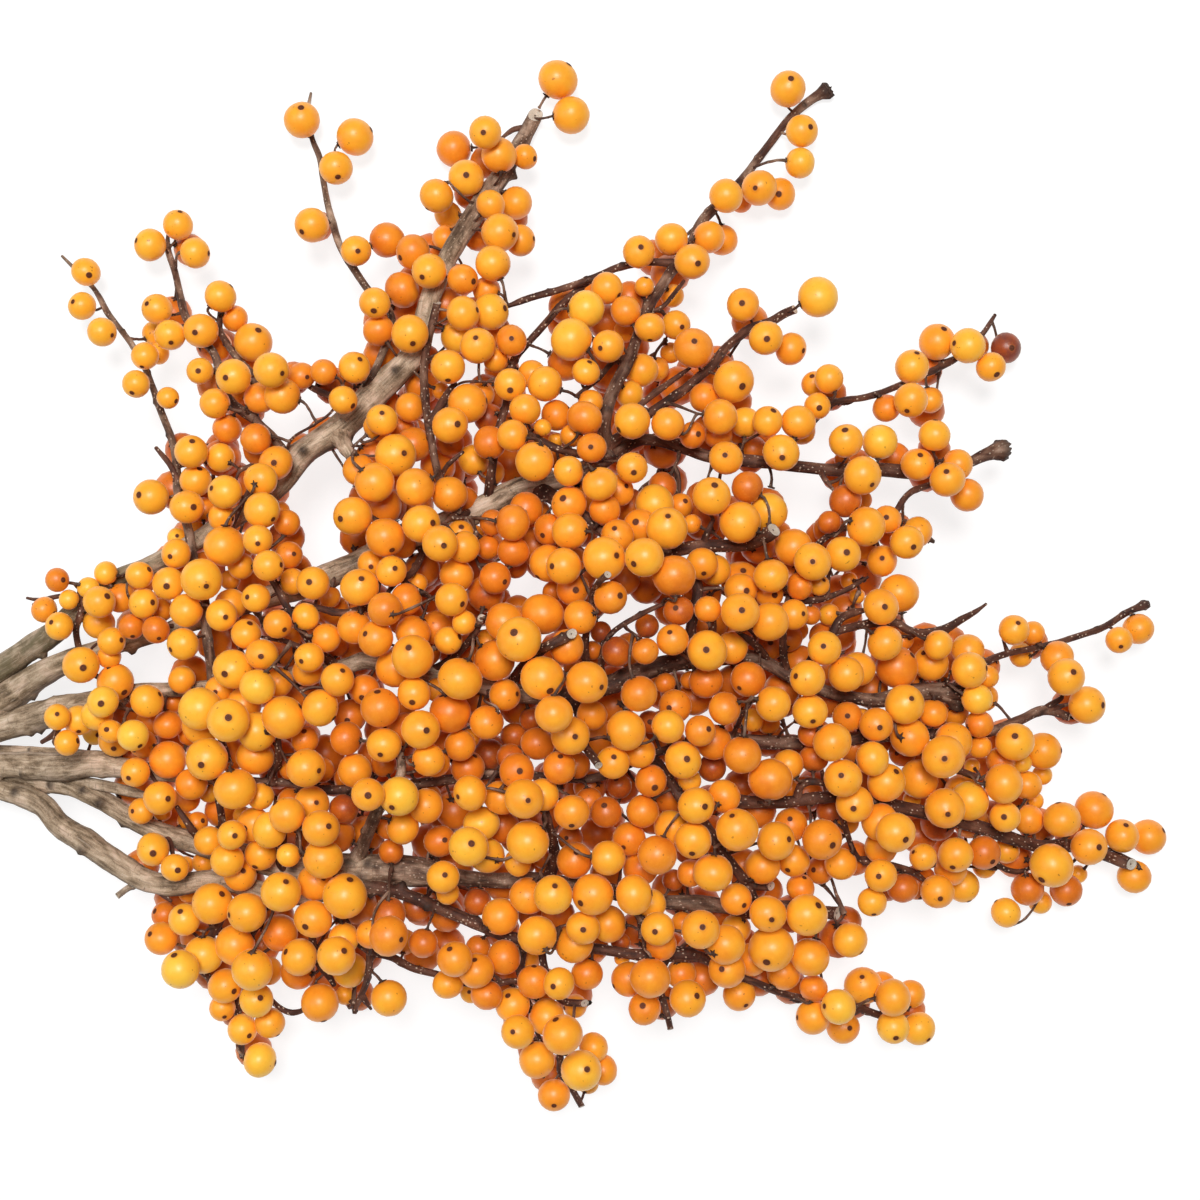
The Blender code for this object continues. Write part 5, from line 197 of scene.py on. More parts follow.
# Wood, from the root of each shoot to its tip: name, kind (limb, branch or twig),
# the shoot that carries it, a lift above its usual height in mm, how the tip ends,
# then across, down and thickness of each point in plan units.
WOOD = """
A limb stem 2.0 cut : -250,742,26 -200,737,34 -150,724,33 -100,708,30 -50,690,28 0,668,26 50,635,24 75,612,22 100,590,20 120,577,18 160,560,18 215,530,19 275,490,20 300,455,26 340,428,28 370,398,28 400,370,26 418,350,22 425,320,20 432,292,20 448,258,20 475,215,20 490,190,19 508,165,18 525,135,15 539,108,14
B limb stem -0.8 knob : -250,741,28 -200,738,36 -150,731,35 -100,722,33 -50,712,32 0,700,32 40,675,28 70,660,22 100,650,19 130,642,16 165,632,17 200,620,18 260,600,20 320,580,25 345,568,25 400,545,25 440,526,25 484,507,25 520,487,22 560,480,20 600,462,17 640,440,12 680,447,12 710,457,12 765,463,12 830,470,12 880,470,13 920,472,14 962,465,10 985,455,13 1001,450,17
C limb stem 2.6 shag : -250,750,26 -200,749,33 -150,745,32 -100,739,30 -50,734,28 0,728,27 60,710,28 100,700,20 140,690,14 165,690,14 220,686,15 275,676,16 310,674,16 350,665,16 370,660,17 425,672,18 500,690,18 560,696,18 610,685,18 640,672,20 690,660,18 750,658,14 770,665,14 790,676,13 822,690,12 850,697,12 880,700,15 915,692,18 945,692,18 970,693,16
D limb stem 0.4 cut : -250,758,26 -200,757,34 -150,757,33 -100,758,30 -50,762,27 0,765,26 60,767,28 100,764,26 125,768,20 200,778,12 285,783,8 330,790,9 390,786,10 445,780,10 500,774,9 575,779,8 605,775,9 650,755,8 715,737,8 760,742,14 815,742,13 862,738,12 915,735,11 965,733,10 990,732,10 1020,720,10 1045,710,10 1073,718,8
F limb D -3 taper : -90,760,24 -40,766,20 0,773,20 40,781,20 75,787,20 110,805,20 150,828,20 220,850,24 290,865,28 345,867,30 400,870,32 430,873,26 460,878,15 500,881,16 540,880,14 600,890,14 650,901,14 700,903,16 730,908,14 750,916,10
G limb stem 1.2 taper : -250,762,24 -200,764,30 -150,767,28 -100,772,25 -50,781,22 0,790,20 40,804,22 60,825,24 90,845,25 120,865,25 145,880,23 175,885,22 210,880,20 250,888,18 290,898,16 330,893,15 365,887,14 400,893,13 440,908,12 480,925,12 520,940,12 593,948,10 640,955,12 680,954,16 705,957,12
A2 branch A 2 cut : 336,432,17 345,446,15 351,457,14
A3 twig A 3 taper : 526,128,6 514,129,6 502,138,5
B2 twig B 2 taper : 820,470,6 824,478,6 832,488,5
C2 branch C -1 shag : 938,693,12 950,698,12 958,706,11
C3 twig C 5 taper : 938,692,4 947,683,3 950,672,3
C4 twig C 3 taper : 66,712,8 55,733,7 42,742,7
D2 twig D 2 taper : 1043,711,7 1050,705,7 1062,698,6 1061,689,5
D3 twig D 1 taper : 1047,710,6 1058,707,6 1068,704,5
E twig D -2 taper : 50,768,12 75,780,12 100,785,12 125,790,12 146,796,10
F2 branch F 4 taper : 356,866,15 361,850,14 368,833,14 377,812,13 390,792,12 401,775,11 400,752,9
G2 twig G 1 cut : 146,880,8 130,887,7 115,898,7
G3 twig G 3 taper : 155,886,6 163,895,6 171,901,5
H twig D -9 taper : -50,750,9 0,749,9 40,751,9 80,753,8 112,757,6
T83 twig A 3 taper : 86,601,5 72,597,5 60,596,5 40,600,5 27,598,4
T82 twig C 4 taper : 110,697,6 108,684,6 90,673,6 75,672,5
T84 twig B 6 taper : 81,655,7 77,640,7 76,628,7 81,612,7 79,585,6
T1 twig C 0 taper : 214,686,12 213,675,12 209,650,11 206,625,11 205,605,11 200,585,11 192,553,10 188,528,10 178,495,9 177,470,9 172,440,8 160,408,8 147,372,7 134,348,7 118,326,6 107,312,7 95,290,5 72,266,4 62,256,4
T1b twig T1 2 taper : 178,480,7 170,465,6 156,448,6
T3 twig A 2 knob : 290,462,10 272,436,9 258,422,9 252,406,9 256,386,8 250,372,8 236,357,7 226,342,7 219,328,7 222,312,7
T2 twig T3 1 taper : 256,418,10 238,408,10 223,390,10 219,370,10 213,352,9 200,338,9 186,318,9 181,300,8 175,272,7 168,250,7 168,234,5
T4 twig C 2 taper : 340,668,10 322,655,9 308,640,8 298,625,8 285,603,8 271,577,8 264,560,5
T5 twig A 2 taper : 278,488,7 262,487,6 252,489,6 243,502,6 236,518,5 233,530,4
T6 twig A 3 taper : 284,478,6 268,470,5 254,466,5 240,470,5 236,480,4
T6b twig B 3 cut : 474,511,10 456,498,9 441,482,9 436,466,9 432,445,9 428,420,9 425,395,9 424,370,9 427,345,9 433,320,9 438,299,9
T7 twig A 0 taper : 362,404,9 366,388,8 376,368,8 384,350,8 391,330,8 390,312,8 370,292,8 352,266,8 341,248,8 334,228,8 327,200,7 323,178,7 320,158,7 312,138,6 308,112,5 311,93,4
T7b twig A 6 taper : 286,470,3.5 290,441,3 312,426,3 333,410,3 345,380,3
T7c twig A 2 taper : 372,398,8 350,400,8 328,395,8 312,388,7 302,383,5
T9 twig B 1 knob : 612,456,14 606,440,14 604,425,14 608,405,14 616,385,14 628,362,13 638,335,12 648,308,12 658,292,12 672,270,12 690,245,11 700,224,11 714,208,10 740,182,9 765,150,9 790,118,9 812,99,10 826,91,13
T8 twig T9 1 taper : 678,264,9 650,262,8 620,267,8 600,275,8 580,283,8 555,291,8 530,298,8 508,306,7
T10 twig T9 3 taper : 652,312,5 664,306,5 673,295,5 684,281,5
T11 twig B -2 taper : 488,505,10 490,480,10 495,450,9 500,425,9 506,405,8 508,378,8 514,360,8 527,344,8 545,324,8 563,303,8 586,284,6 600,278,4
T12 twig T6b 2 taper : 429,425,9 440,407,9 450,390,8 455,382,6
T13 twig T6b 3 taper : 439,480,5 447,466,5 463,452,5
T14 twig T12 1 taper : 448,392,3 463,382,3 494,382,3
T16 twig T9 0 cut : 608,446,11 626,432,10 643,418,10 665,403,10 690,385,10 702,374,10 712,366,10 722,352,10 735,340,10 750,329,10 770,322,10 785,313,10 799,308,10
T16b twig T16 3 taper : 622,434,7 632,414,7 645,401,7 658,391,7 690,368,5
T17 twig T9 3 taper : 628,358,7 613,362,6 598,379,6 576,396,5
T18 twig B 2 taper : 616,456,9 600,455,9 585,455,9 555,448,9 528,433,8
T18b twig B 4 taper : 622,454,4 602,461,4 588,466,3
T19 twig B 3 taper : 752,463,8 768,462,8 782,450,7 805,430,7 828,406,7 845,400,7 862,398,7 880,393,7 905,383,7 930,372,7 955,359,7 980,337,6 995,315,5
T20 twig B 2 taper : 948,469,8 941,481,7 930,485,7 912,491,7 903,500,7 895,513,7 881,529,5
T21 twig C 2 taper : 251,680,5 249,668,5 245,658,5 232,635,5
T22 twig B 1 taper : 378,556,9 378,580,8 371,605,8 355,611,8 340,613,8 315,607,7 302,602,5
T22b twig T4 2 taper : 314,647,6 300,647,6 285,641,6 262,637,5
T23 twig B 3 taper : 426,536,8 423,552,8 411,574,8 397,580,8 385,597,5
T23b twig T23 1 taper : 400,579,6 420,592,6 438,601,5
T24 twig B 4 taper : 474,511,7 457,515,7 444,523,6
T25 twig C 3 cut : 428,673,9 449,660,8 463,648,8 474,634,8 483,614,8
T26 twig C 2 cut : 508,690,11 520,670,11 540,651,11 556,642,11 577,631,11
T27 twig C 2 cut : 590,688,8 585,650,8 588,620,8 592,603,7 593,592,7 600,581,7 611,572,8
T29 twig C 3 taper : 606,686,7 601,660,6 611,634,6 640,615,6 668,602,5
T30 twig B -2 cut : 535,486,16 570,508,15 610,536,14 645,553,14 670,551,14 700,546,14 740,545,14 764,538,14 779,524,16
T30b twig T30 2 taper : 704,546,7 706,536,7 713,520,6
T31 twig C -3 taper : 690,660,13 689,640,12 694,612,12 698,590,12 692,566,11
T31b twig C 3 cut : 705,658,9 712,634,9 712,612,9
T32 twig C 3 taper : 768,664,8 764,654,8 752,642,8 738,632,6
T34 twig C 0 taper : 786,674,9 783,640,8 788,602,8 799,570,7 817,545,7 835,532,7 850,527,6 863,522,4
T35 twig T34 1 taper : 788,604,8 800,601,8 818,600,8 832,596,6 850,588,6 868,577,4
T35b twig T35 1 taper : 828,596,5 828,578,5 831,567,4
T36 twig C 1 taper : 802,682,10 814,655,9 833,634,9 850,628,9 872,623,9 895,622,9 908,630,9 925,633,9 945,629,9 962,619,8 975,612,6 986,604,4
T36b twig T36 1 taper : 834,632,8 840,619,8 855,612,8 868,610,6
T37 twig D 2 taper : 732,738,6 735,731,5 742,716,5 752,700,5
T37b twig D 2 taper : 776,740,3 782,732,3 795,721,3
T39 twig C 1 knob : 962,690,9 974,672,8 988,661,8 1010,653,7 1035,648,7 1060,642,7 1085,634,7 1106,626,7 1126,613,7 1145,605,9
T39b twig T39 1 taper : 1008,654,5 1006,648,5 1003,640,4
T42 twig D 2 cut : 912,736,9 922,752,8 940,764,8 960,771,8 981,779,8
T43 twig C 2 cut : 221,690,9 219,720,8 222,742,8 226,752,8 229,764,8
T44 twig D 3 cut : 303,786,7 301,812,7 299,838,7 298,861,7
T45 twig F 3 taper : 296,868,10 284,868,10 280,857,10 283,843,9 285,828,6
T46 twig D 2 taper : 275,784,9 272,774,9 279,760,9 278,745,8 279,730,5
T50 twig G 1 taper : 332,893,9 345,922,9 360,944,8 375,953,8 392,957,8 412,968,8 440,975,8 462,982,8 485,985,8 512,981,7 530,982,5
T51 twig C 2 cut : 574,694,9 580,722,9 585,746,9 592,756,9 601,769,9
T53 twig F 2 taper : 548,880,12 555,855,12 548,825,11 545,806,7
T57 twig F 2 cut : 639,899,8 640,919,7 642,941,7
T58 branch D 0 taper : 645,757,11 656,762,11 668,778,11 680,797,12 690,810,12
T59 branch T58 0 cut : 688,806,12 705,824,11 718,845,11 735,868,11 748,883,11 762,886,10 776,886,10
T59b twig T59 1 taper : 746,882,8 751,890,8 757,899,7
T60 branch T58 0 taper : 686,804,14 712,805,13 738,802,13 780,803,13 815,798,13 840,797,13
T61 twig T60 3 taper : 797,800,8 800,786,8 812,781,8 827,785,7
T62 branch F 0 cut : 742,912,12 785,906,13 826,912,14 844,914,14
T63 twig T60 0 taper : 838,798,8 846,830,7 857,857,6 872,865,5
T65 branch T60 0 cut : 838,797,14 870,801,14 905,808,14 945,818,14 985,829,14 1010,838,14 1040,846,14 1070,846,14 1105,855,13 1120,861,13 1138,866,13
T66 twig T65 1 taper : 986,830,7 990,852,6 1001,867,6 1018,872,6 1029,868,5
T67 twig T63 0 taper : 864,860,8 880,863,8 900,868,8 915,873,7 929,884,5
T69 twig G 0 cut : 222,882,9 222,915,9 206,945,8 199,966,8 209,977,8 217,998,8
T70 twig G 0 taper : 256,889,9 250,940,8 241,980,8 238,1005,8 241,1040,8 242,1057,7
T71 twig T70 1 taper : 245,966,7 255,985,6 267,996,6 280,1008,6 293,1013,7 307,1009,6
T72 twig G 0 taper : 312,895,9 311,930,8 318,962,8 328,975,8 334,985,7
T73 twig T50 0 taper : 370,951,7 369,968,7 366,984,7 359,1000,7 355,1011,5
T73b twig T73 0 taper : 361,995,6 366,1002,6 371,1009,4
T75 twig G 0 cut : 540,942,9 546,972,8 560,999,8 574,1003,8 589,1003,8
T77 twig G 0 cut : 524,940,9 521,975,8 531,1010,8 550,1038,7 560,1054,7 560,1072,7 569,1084,7 577,1098,7 583,1109,7
T76 twig T77 1 taper : 530,1008,6 535,1026,6 541,1042,5
T79 twig G 0 cut : 668,955,8 661,975,7 661,991,7 666,1010,7 671,1032,7
T80 twig G 0 taper : 700,957,9 720,967,9 740,977,8 757,983,8 778,992,8 802,998,8 830,1002,8 855,1007,8 882,1016,8 901,1021,6
T81 twig T80 1 taper : 894,1019,6 902,1012,6 909,1007,5
T85 twig D 1 taper : 130,768,7 140,764,6 148,771,6 156,782,5
T86 twig F 2 taper : 158,831,6 168,838,6 172,850,6 174,862,4
T87 twig F 2 taper : 214,850,9 204,847,8 194,832,8 177,807,7
T88 twig F 3 taper : 219,850,8 222,822,8 218,799,7 215,785,5
"""

EYE_MM = 500.0  # height of the plan's viewpoint above the table
PLAN_MM = 1872.0  # plan units across for one unit of slope from the viewpoint
PLAN_MID = 600.0  # the point of the plan straight below the viewpoint
CROWN_MM = 70.0  # height of the topmost berries' centres
RIM_MM = 8.5  # height of the berries' centres at the rim of the sprig
LAYER_MM = 8.0  # drop from one layer of berries to the next
STEM_BUTT = -335.0  # where the cut stem ends, in plan units
STEM_WIDTH = 60.0  # thickness of the cut stem, in plan units


def canopy(u, v):
    """Height in mm of the top berries' centres over a point of the plan."""
    d = np.sqrt(((u - 530.0) / 620.0) ** 2 + ((v - 650.0) / 480.0) ** 2)
    return np.maximum(RIM_MM, CROWN_MM - (CROWN_MM - RIM_MM) * (0.92 * d) ** 1.7)


def spot(u, v, z):
    """The point in mm at height z that the plan shows at (u, v)."""
    s = (EYE_MM - z) / PLAN_MM
    return np.stack([(u - PLAN_MID) * s, -(v - PLAN_MID) * s, z + 0.0 * u], axis=-1)


def smooth(t):
    t = np.clip(t, 0.0, 1.0)
    return t * t * (3.0 - 2.0 * t)


def spline(points, step):
    """Points every step or so along a smooth curve through the given rows."""
    p = np.asarray(points, float)
    if len(p) < 3:
        n = max(2, int(np.linalg.norm(p[-1, :2] - p[0, :2]) / step) + 1)
        t = np.linspace(0.0, 1.0, n)[:, None]
        return p[0] * (1 - t) + p[-1] * t
    ends = np.vstack([2 * p[0] - p[1], p, 2 * p[-1] - p[-2]])
    out = []
    for i in range(1, len(ends) - 2):
        a, b, c, d = ends[i - 1 : i + 3]
        n = max(1, int(round(np.linalg.norm(c[:2] - b[:2]) / step)))
        t = (np.arange(n) / n)[:, None]
        out.append(
            0.5
            * (
                2 * b
                + (c - a) * t
                + (2 * a - 5 * b + 4 * c - d) * t**2
                + (3 * b - 3 * c + d - a) * t**3
            )
        )
    out.append(p[-1:])
    return np.vstack(out)


def read_wood():
    """Every shoot as a dict: name, kind, parent, end, line (x, y, z, radius in mm), plan."""
    shoots = {}
    butt = spline(
        [(STEM_BUTT, 752, STEM_WIDTH), (-280, 750, 57), (-225, 748, 56), (-180, 746, 50), (-140, 745, 38), (-105, 745, 22)], 6.0
    )
    z = stem_height(butt[:, 0])
    shoots["stem"] = {
        "name": "stem", "kind": "limb", "parent": "", "end": "butt",
        "plan": butt, "line": line_of(butt, z),
    }
    for row in WOOD.strip().splitlines():
        head, tail = row.split(" : ")
        name, kind, parent, lift, end = head.split()
        plan = spline([tuple(map(float, p.split(","))) for p in tail.split()], 6.0)
        u, v = plan[:, 0], plan[:, 1]
        top = canopy(u, v)
        if kind == "limb":
            z = np.minimum(top - 7.5, 14.0 + 0.5 * (top - RIM_MM))
            z = z * smooth(u / 90.0) + stem_height(u) * (1 - smooth(u / 90.0)) + float(lift)
        else:
            z = top - 8.5 + float(lift)
        z = np.maximum(z, 0.5 * plan[:, 2] * 0.26 + 0.4)
        carrier = shoots[parent]
        gap = np.hypot(carrier["plan"][:, 0] - u[0], carrier["plan"][:, 1] - v[0])
        k = int(np.argmin(gap))
        foot = carrier["line"][k, 2]
        run = np.concatenate([[0], np.cumsum(np.hypot(np.diff(u), np.diff(v)))])
        reach = min(max(40.0, 4.5 * abs(float(z[0] - foot))), 0.85 * run[-1])
        z = foot + (z - foot) * smooth(run / reach)
        if parent != "stem" and gap[k] > 2.0:
            joint = carrier["plan"][k].copy()
            joint[2] = plan[0, 2]
            plan = np.vstack([joint, plan])
            z = np.concatenate([[foot], z])
        shoots[name] = {
            "name": name, "kind": kind, "parent": parent, "end": end,
            "plan": plan, "line": line_of(plan, z),
        }
    return shoots


def stem_height(u):
    """Height of the stem's axis: it comes down to the table at its cut end."""
    t = np.clip((u - STEM_BUTT) / -STEM_BUTT, 0.0, 1.2)
    return 7.4 + 9.0 * t**1.2


def line_of(plan, z):
    s = (EYE_MM - z) / PLAN_MM
    return np.concatenate([spot(plan[:, 0], plan[:, 1], z), (0.5 * plan[:, 2] * s)[:, None]], axis=1)


def read_berries():
    rows = []
    for entry in BERRIES.replace("\n", ";").split(";"):
        part = entry.split()
        if part:
            rows.append([float(x) for x in part[:6]] + ["nydr".index(part[6])])
    return np.array(rows)


def near_pairs(plan, reach, other=None, other_reach=None):
    """Pairs whose discs on the plan come near each other."""
    b = plan if other is None else other
    rb = reach if other is None else other_reach
    first, second = [], []
    for i in range(len(plan)):
        start = i + 1 if other is None else 0
        gap = np.hypot(b[start:, 0] - plan[i, 0], b[start:, 1] - plan[i, 1])
        hit = np.nonzero(gap < reach[i] + rb[start:])[0] + start
        first.append(np.full(len(hit), i))
        second.append(hit)
    return np.concatenate(first), np.concatenate(second)


def settle(rows, wood, rng):
    """Finds the berries' depths, so that each keeps its place on the plan and none overlap."""
    u0, v0, r, layer = rows[:, 0], rows[:, 1], rows[:, 2], rows[:, 3]
    u, v = u0.copy(), v0.copy()
    aim = canopy(u, v) - LAYER_MM * layer + rng.uniform(-1.2, 1.2, len(u))
    size0 = r * (EYE_MM - aim) / PLAN_MM
    aim = np.maximum(aim, size0)
    z = aim.copy()
    roam = np.array([3.0, 5.0, 8.0, 10.0])[layer.astype(int)]
    i, j = near_pairs(rows[:, :2], r + 8.0)
    swap = layer[i] > layer[j]
    i, j = np.where(swap, j, i), np.where(swap, i, j)
    same = layer[i] == layer[j]
    bi, wj = near_pairs(rows[:, :2], r + 8.0, wood[:, 4:6], wood[:, 6] / 2 + 4.0)
    count = np.maximum(1.0, np.bincount(np.concatenate([i, j]), minlength=len(u)) / 8.0)
    rounds = 420
    for step in range(rounds):
        p = spot(u, v, z)
        size = r * (EYE_MM - z) / PLAN_MM
        move = np.zeros((len(u), 3))
        d = p[i] - p[j]
        flat = np.hypot(d[:, 0], d[:, 1]) + 1e-9
        need = size[i] + size[j] + 0.18
        dist = np.sqrt(flat**2 + d[:, 2] ** 2)
        over = np.maximum(need - dist, 0.0)
        rise = np.sqrt(np.maximum(need**2 - flat**2, 0.0))
        sign = np.where(same, np.where(d[:, 2] >= 0, 1.0, -1.0), 1.0)
        short = np.maximum(rise - sign * d[:, 2], 0.0)
        short = np.where(same & (over <= 0), 0.0, short)
        push = 0.22 * np.minimum(short, 3.0) * sign
        np.add.at(move[:, 2], i, push)
        np.add.at(move[:, 2], j, -push)
        side = np.where(over > 0, 0.30 * over, 0.0)[:, None] * d[:, :2] / flat[:, None]
        np.add.at(move[:, 0], i, side[:, 0])
        np.add.at(move[:, 0], j, -side[:, 0])
        np.add.at(move[:, 1], i, side[:, 1])
        np.add.at(move[:, 1], j, -side[:, 1])
        w = wood[wj]
        d = p[bi] - w[:, :3]
        flat = np.hypot(d[:, 0], d[:, 1]) + 1e-9
        need = size[bi] + w[:, 3] + 0.2
        dist = np.sqrt(flat**2 + d[:, 2] ** 2)
        over = np.maximum(need - dist, 0.0)
        rise = np.sqrt(np.maximum(need**2 - flat**2, 0.0))
        sign = np.where(layer[bi] <= 1, 1.0, -1.0)
        sign = np.where((flat > 0.85 * need), np.where(d[:, 2] >= 0, 1.0, -1.0), sign)
        short = np.where(over > 0, np.maximum(rise - sign * d[:, 2], 0.0), 0.0)
        best = np.zeros(len(u))
        np.maximum.at(best, bi, short * (sign > 0))
        worst = np.zeros(len(u))
        np.maximum.at(worst, bi, short * (sign < 0))
        move[:, 2] += 0.4 * np.minimum(best, 3.0) - 0.4 * np.minimum(worst, 3.0)
        side = (0.35 * over)[:, None] * d[:, :2] / flat[:, None]
        most = np.zeros((len(u), 2))
        np.add.at(most[:, 0], bi, side[:, 0])
        np.add.at(most[:, 1], bi, side[:, 1])
        move[:, :2] += np.clip(most, -0.4, 0.4)
        pull = 0.05 if step < rounds * 0.6 else (0.01 if step < rounds * 0.8 else 0.0)
        z = z + np.clip(move[:, 2] / count**0.5, -1.6, 1.6) + pull * (aim - z)
        px = PLAN_MM / (EYE_MM - z)
        u = u + np.clip(move[:, 0] * px, -1.5, 1.5) + 0.4 * pull * (u0 - u)
        v = v - np.clip(move[:, 1] * px, -1.5, 1.5) + 0.4 * pull * (v0 - v)
        away = np.hypot(u - u0, v - v0) + 1e-9
        hold = np.minimum(1.0, roam / away)
        u, v = u0 + (u - u0) * hold, v0 + (v - v0) * hold
        size = r * (EYE_MM - z) / PLAN_MM
        z = np.maximum(z, size + 0.02)
        z = np.minimum(z, CROWN_MM + 8.0)
    return u, v, z, r * (EYE_MM - z) / PLAN_MM



def fill(rows, u, v, z, size, wood, rng):
    """Adds the berries below the crown, only where the ones above cover them on the plan."""
    r = rows[:, 2]
    p = spot(u, v, z)
    wide = 17.0
    found = []
    ring = np.linspace(0, 2 * math.pi, 10, endpoint=False)
    du = np.concatenate([[0.0], np.cos(ring), 0.5 * np.cos(ring[::2])])
    dv = np.concatenate([[0.0], np.sin(ring), 0.5 * np.sin(ring[::2])])
    places = []
    for a in np.arange(20.0, 1180.0, 19.0):
        for b in np.arange(90.0, 1100.0, 19.0):
            rim = math.hypot((a - 530.0) / 620.0, (b - 650.0) / 480.0)
            places.append((abs(rim - 0.72), a + rng.uniform(-7, 7), b + rng.uniform(-7, 7)))
    places.sort()
    for level in range(6):
        for _, a, b in places:
            top = float(canopy(np.array(a), np.array(b)))
            wide = 15.0 + 4.0 * rng.random()
            low = wide * EYE_MM / PLAN_MM * 0.985
            h = low + 0.02 + level * (7.6 + 0.8 * rng.random())
            if h > top - 17.0 and level > 0:
                continue
            size_h = wide * (EYE_MM - h) / PLAN_MM
            if level == 0:
                h = size_h
            su, sv = a + wide * du, b + wide * dv
            near = np.nonzero((np.hypot(u - a, v - b) < wide + 24.0) & (z > h + 3.0))[0]
            if len(near) < 3:
                continue
            cover = np.hypot(su[:, None] - u[near], sv[:, None] - v[near]) < 0.96 * r[near]
            if not cover.any(axis=1).all():
                continue
            q = spot(np.array(a), np.array(b), np.array(h))
            if (np.linalg.norm(p - q, axis=1) < size + size_h + 0.3).any():
                continue
            if found:
                f = np.array(found)
                if (np.linalg.norm(f[:, 7:10] - q, axis=1) < f[:, 6] + size_h + 0.3).any():
                    continue
            if (np.linalg.norm(wood[:, :3] - q, axis=1) < wood[:, 3] + size_h + 0.3).any():
                continue
            found.append([a, b, wide, 4.0, h, float(rng.integers(0, 3)), size_h, *q])
    return np.array(found)



# Openings through the sprig on the plan: middle u v, then half the width and height.
WINDOWS = """
320 508 22 46; 300 486 8 14; 142 664 34 16; 246 441 8 16; 236 470 7 8; 300 598 10 8; 112 613 9 7
330 731 10 7; 333 757 8 5; 203 808 13 9; 108 786 14 10; 205 655 5 9; 487 491 9 11; 514 502 12 8
552 489 10 8; 528 587 20 10; 527 549 5 8; 628 613 30 19; 631 659 6 8; 657 638 6 8; 650 480 26 16
640 420 12 8; 720 773 15 10; 791 725 12 9; 765 690 6 6; 845 586 14 8; 868 640 14 12; 875 616 12 7
906 637 7 12; 836 706 5 8; 824 771 6 6; 975 757 11 8; 990 766 9 5; 196 846 8 9; 385 891 12 6
440 903 12 6; 424 936 22 12; 480 925 20 12; 562 959 20 12; 612 962 16 16; 593 848 5 4; 748 846 9 5
824 888 7 12; 787 880 8 10; 790 936 7 8; 410 848 4 4; 700 470 20 20; 735 478 10 14; 545 432 14 8
352 443 16 12; 478 436 10 8; 432 470 5 8; 640 370 8 10; 545 395 10 10; 660 350 12 12; 700 440 8 8
590 380 10 10; 470 375 8 6; 345 590 8 8; 240 570 8 5; 880 480 16 10; 905 560 14 10; 955 690 6 6
375 978 10 16; 300 983 12 10; 810 640 5 5; 60 760 14 10; 120 650 8 5; 66 660 8 14; 150 850 6 6
"""


def wide(mask, cells):
    """The mask grown by a disc of so many cells."""
    out = mask.copy()
    for a in range(-cells, cells + 1):
        for b in range(-cells, cells + 1):
            if a * a + b * b <= (cells + 0.3) ** 2:
                out |= np.roll(np.roll(mask, a, axis=0), b, axis=1)
    return out


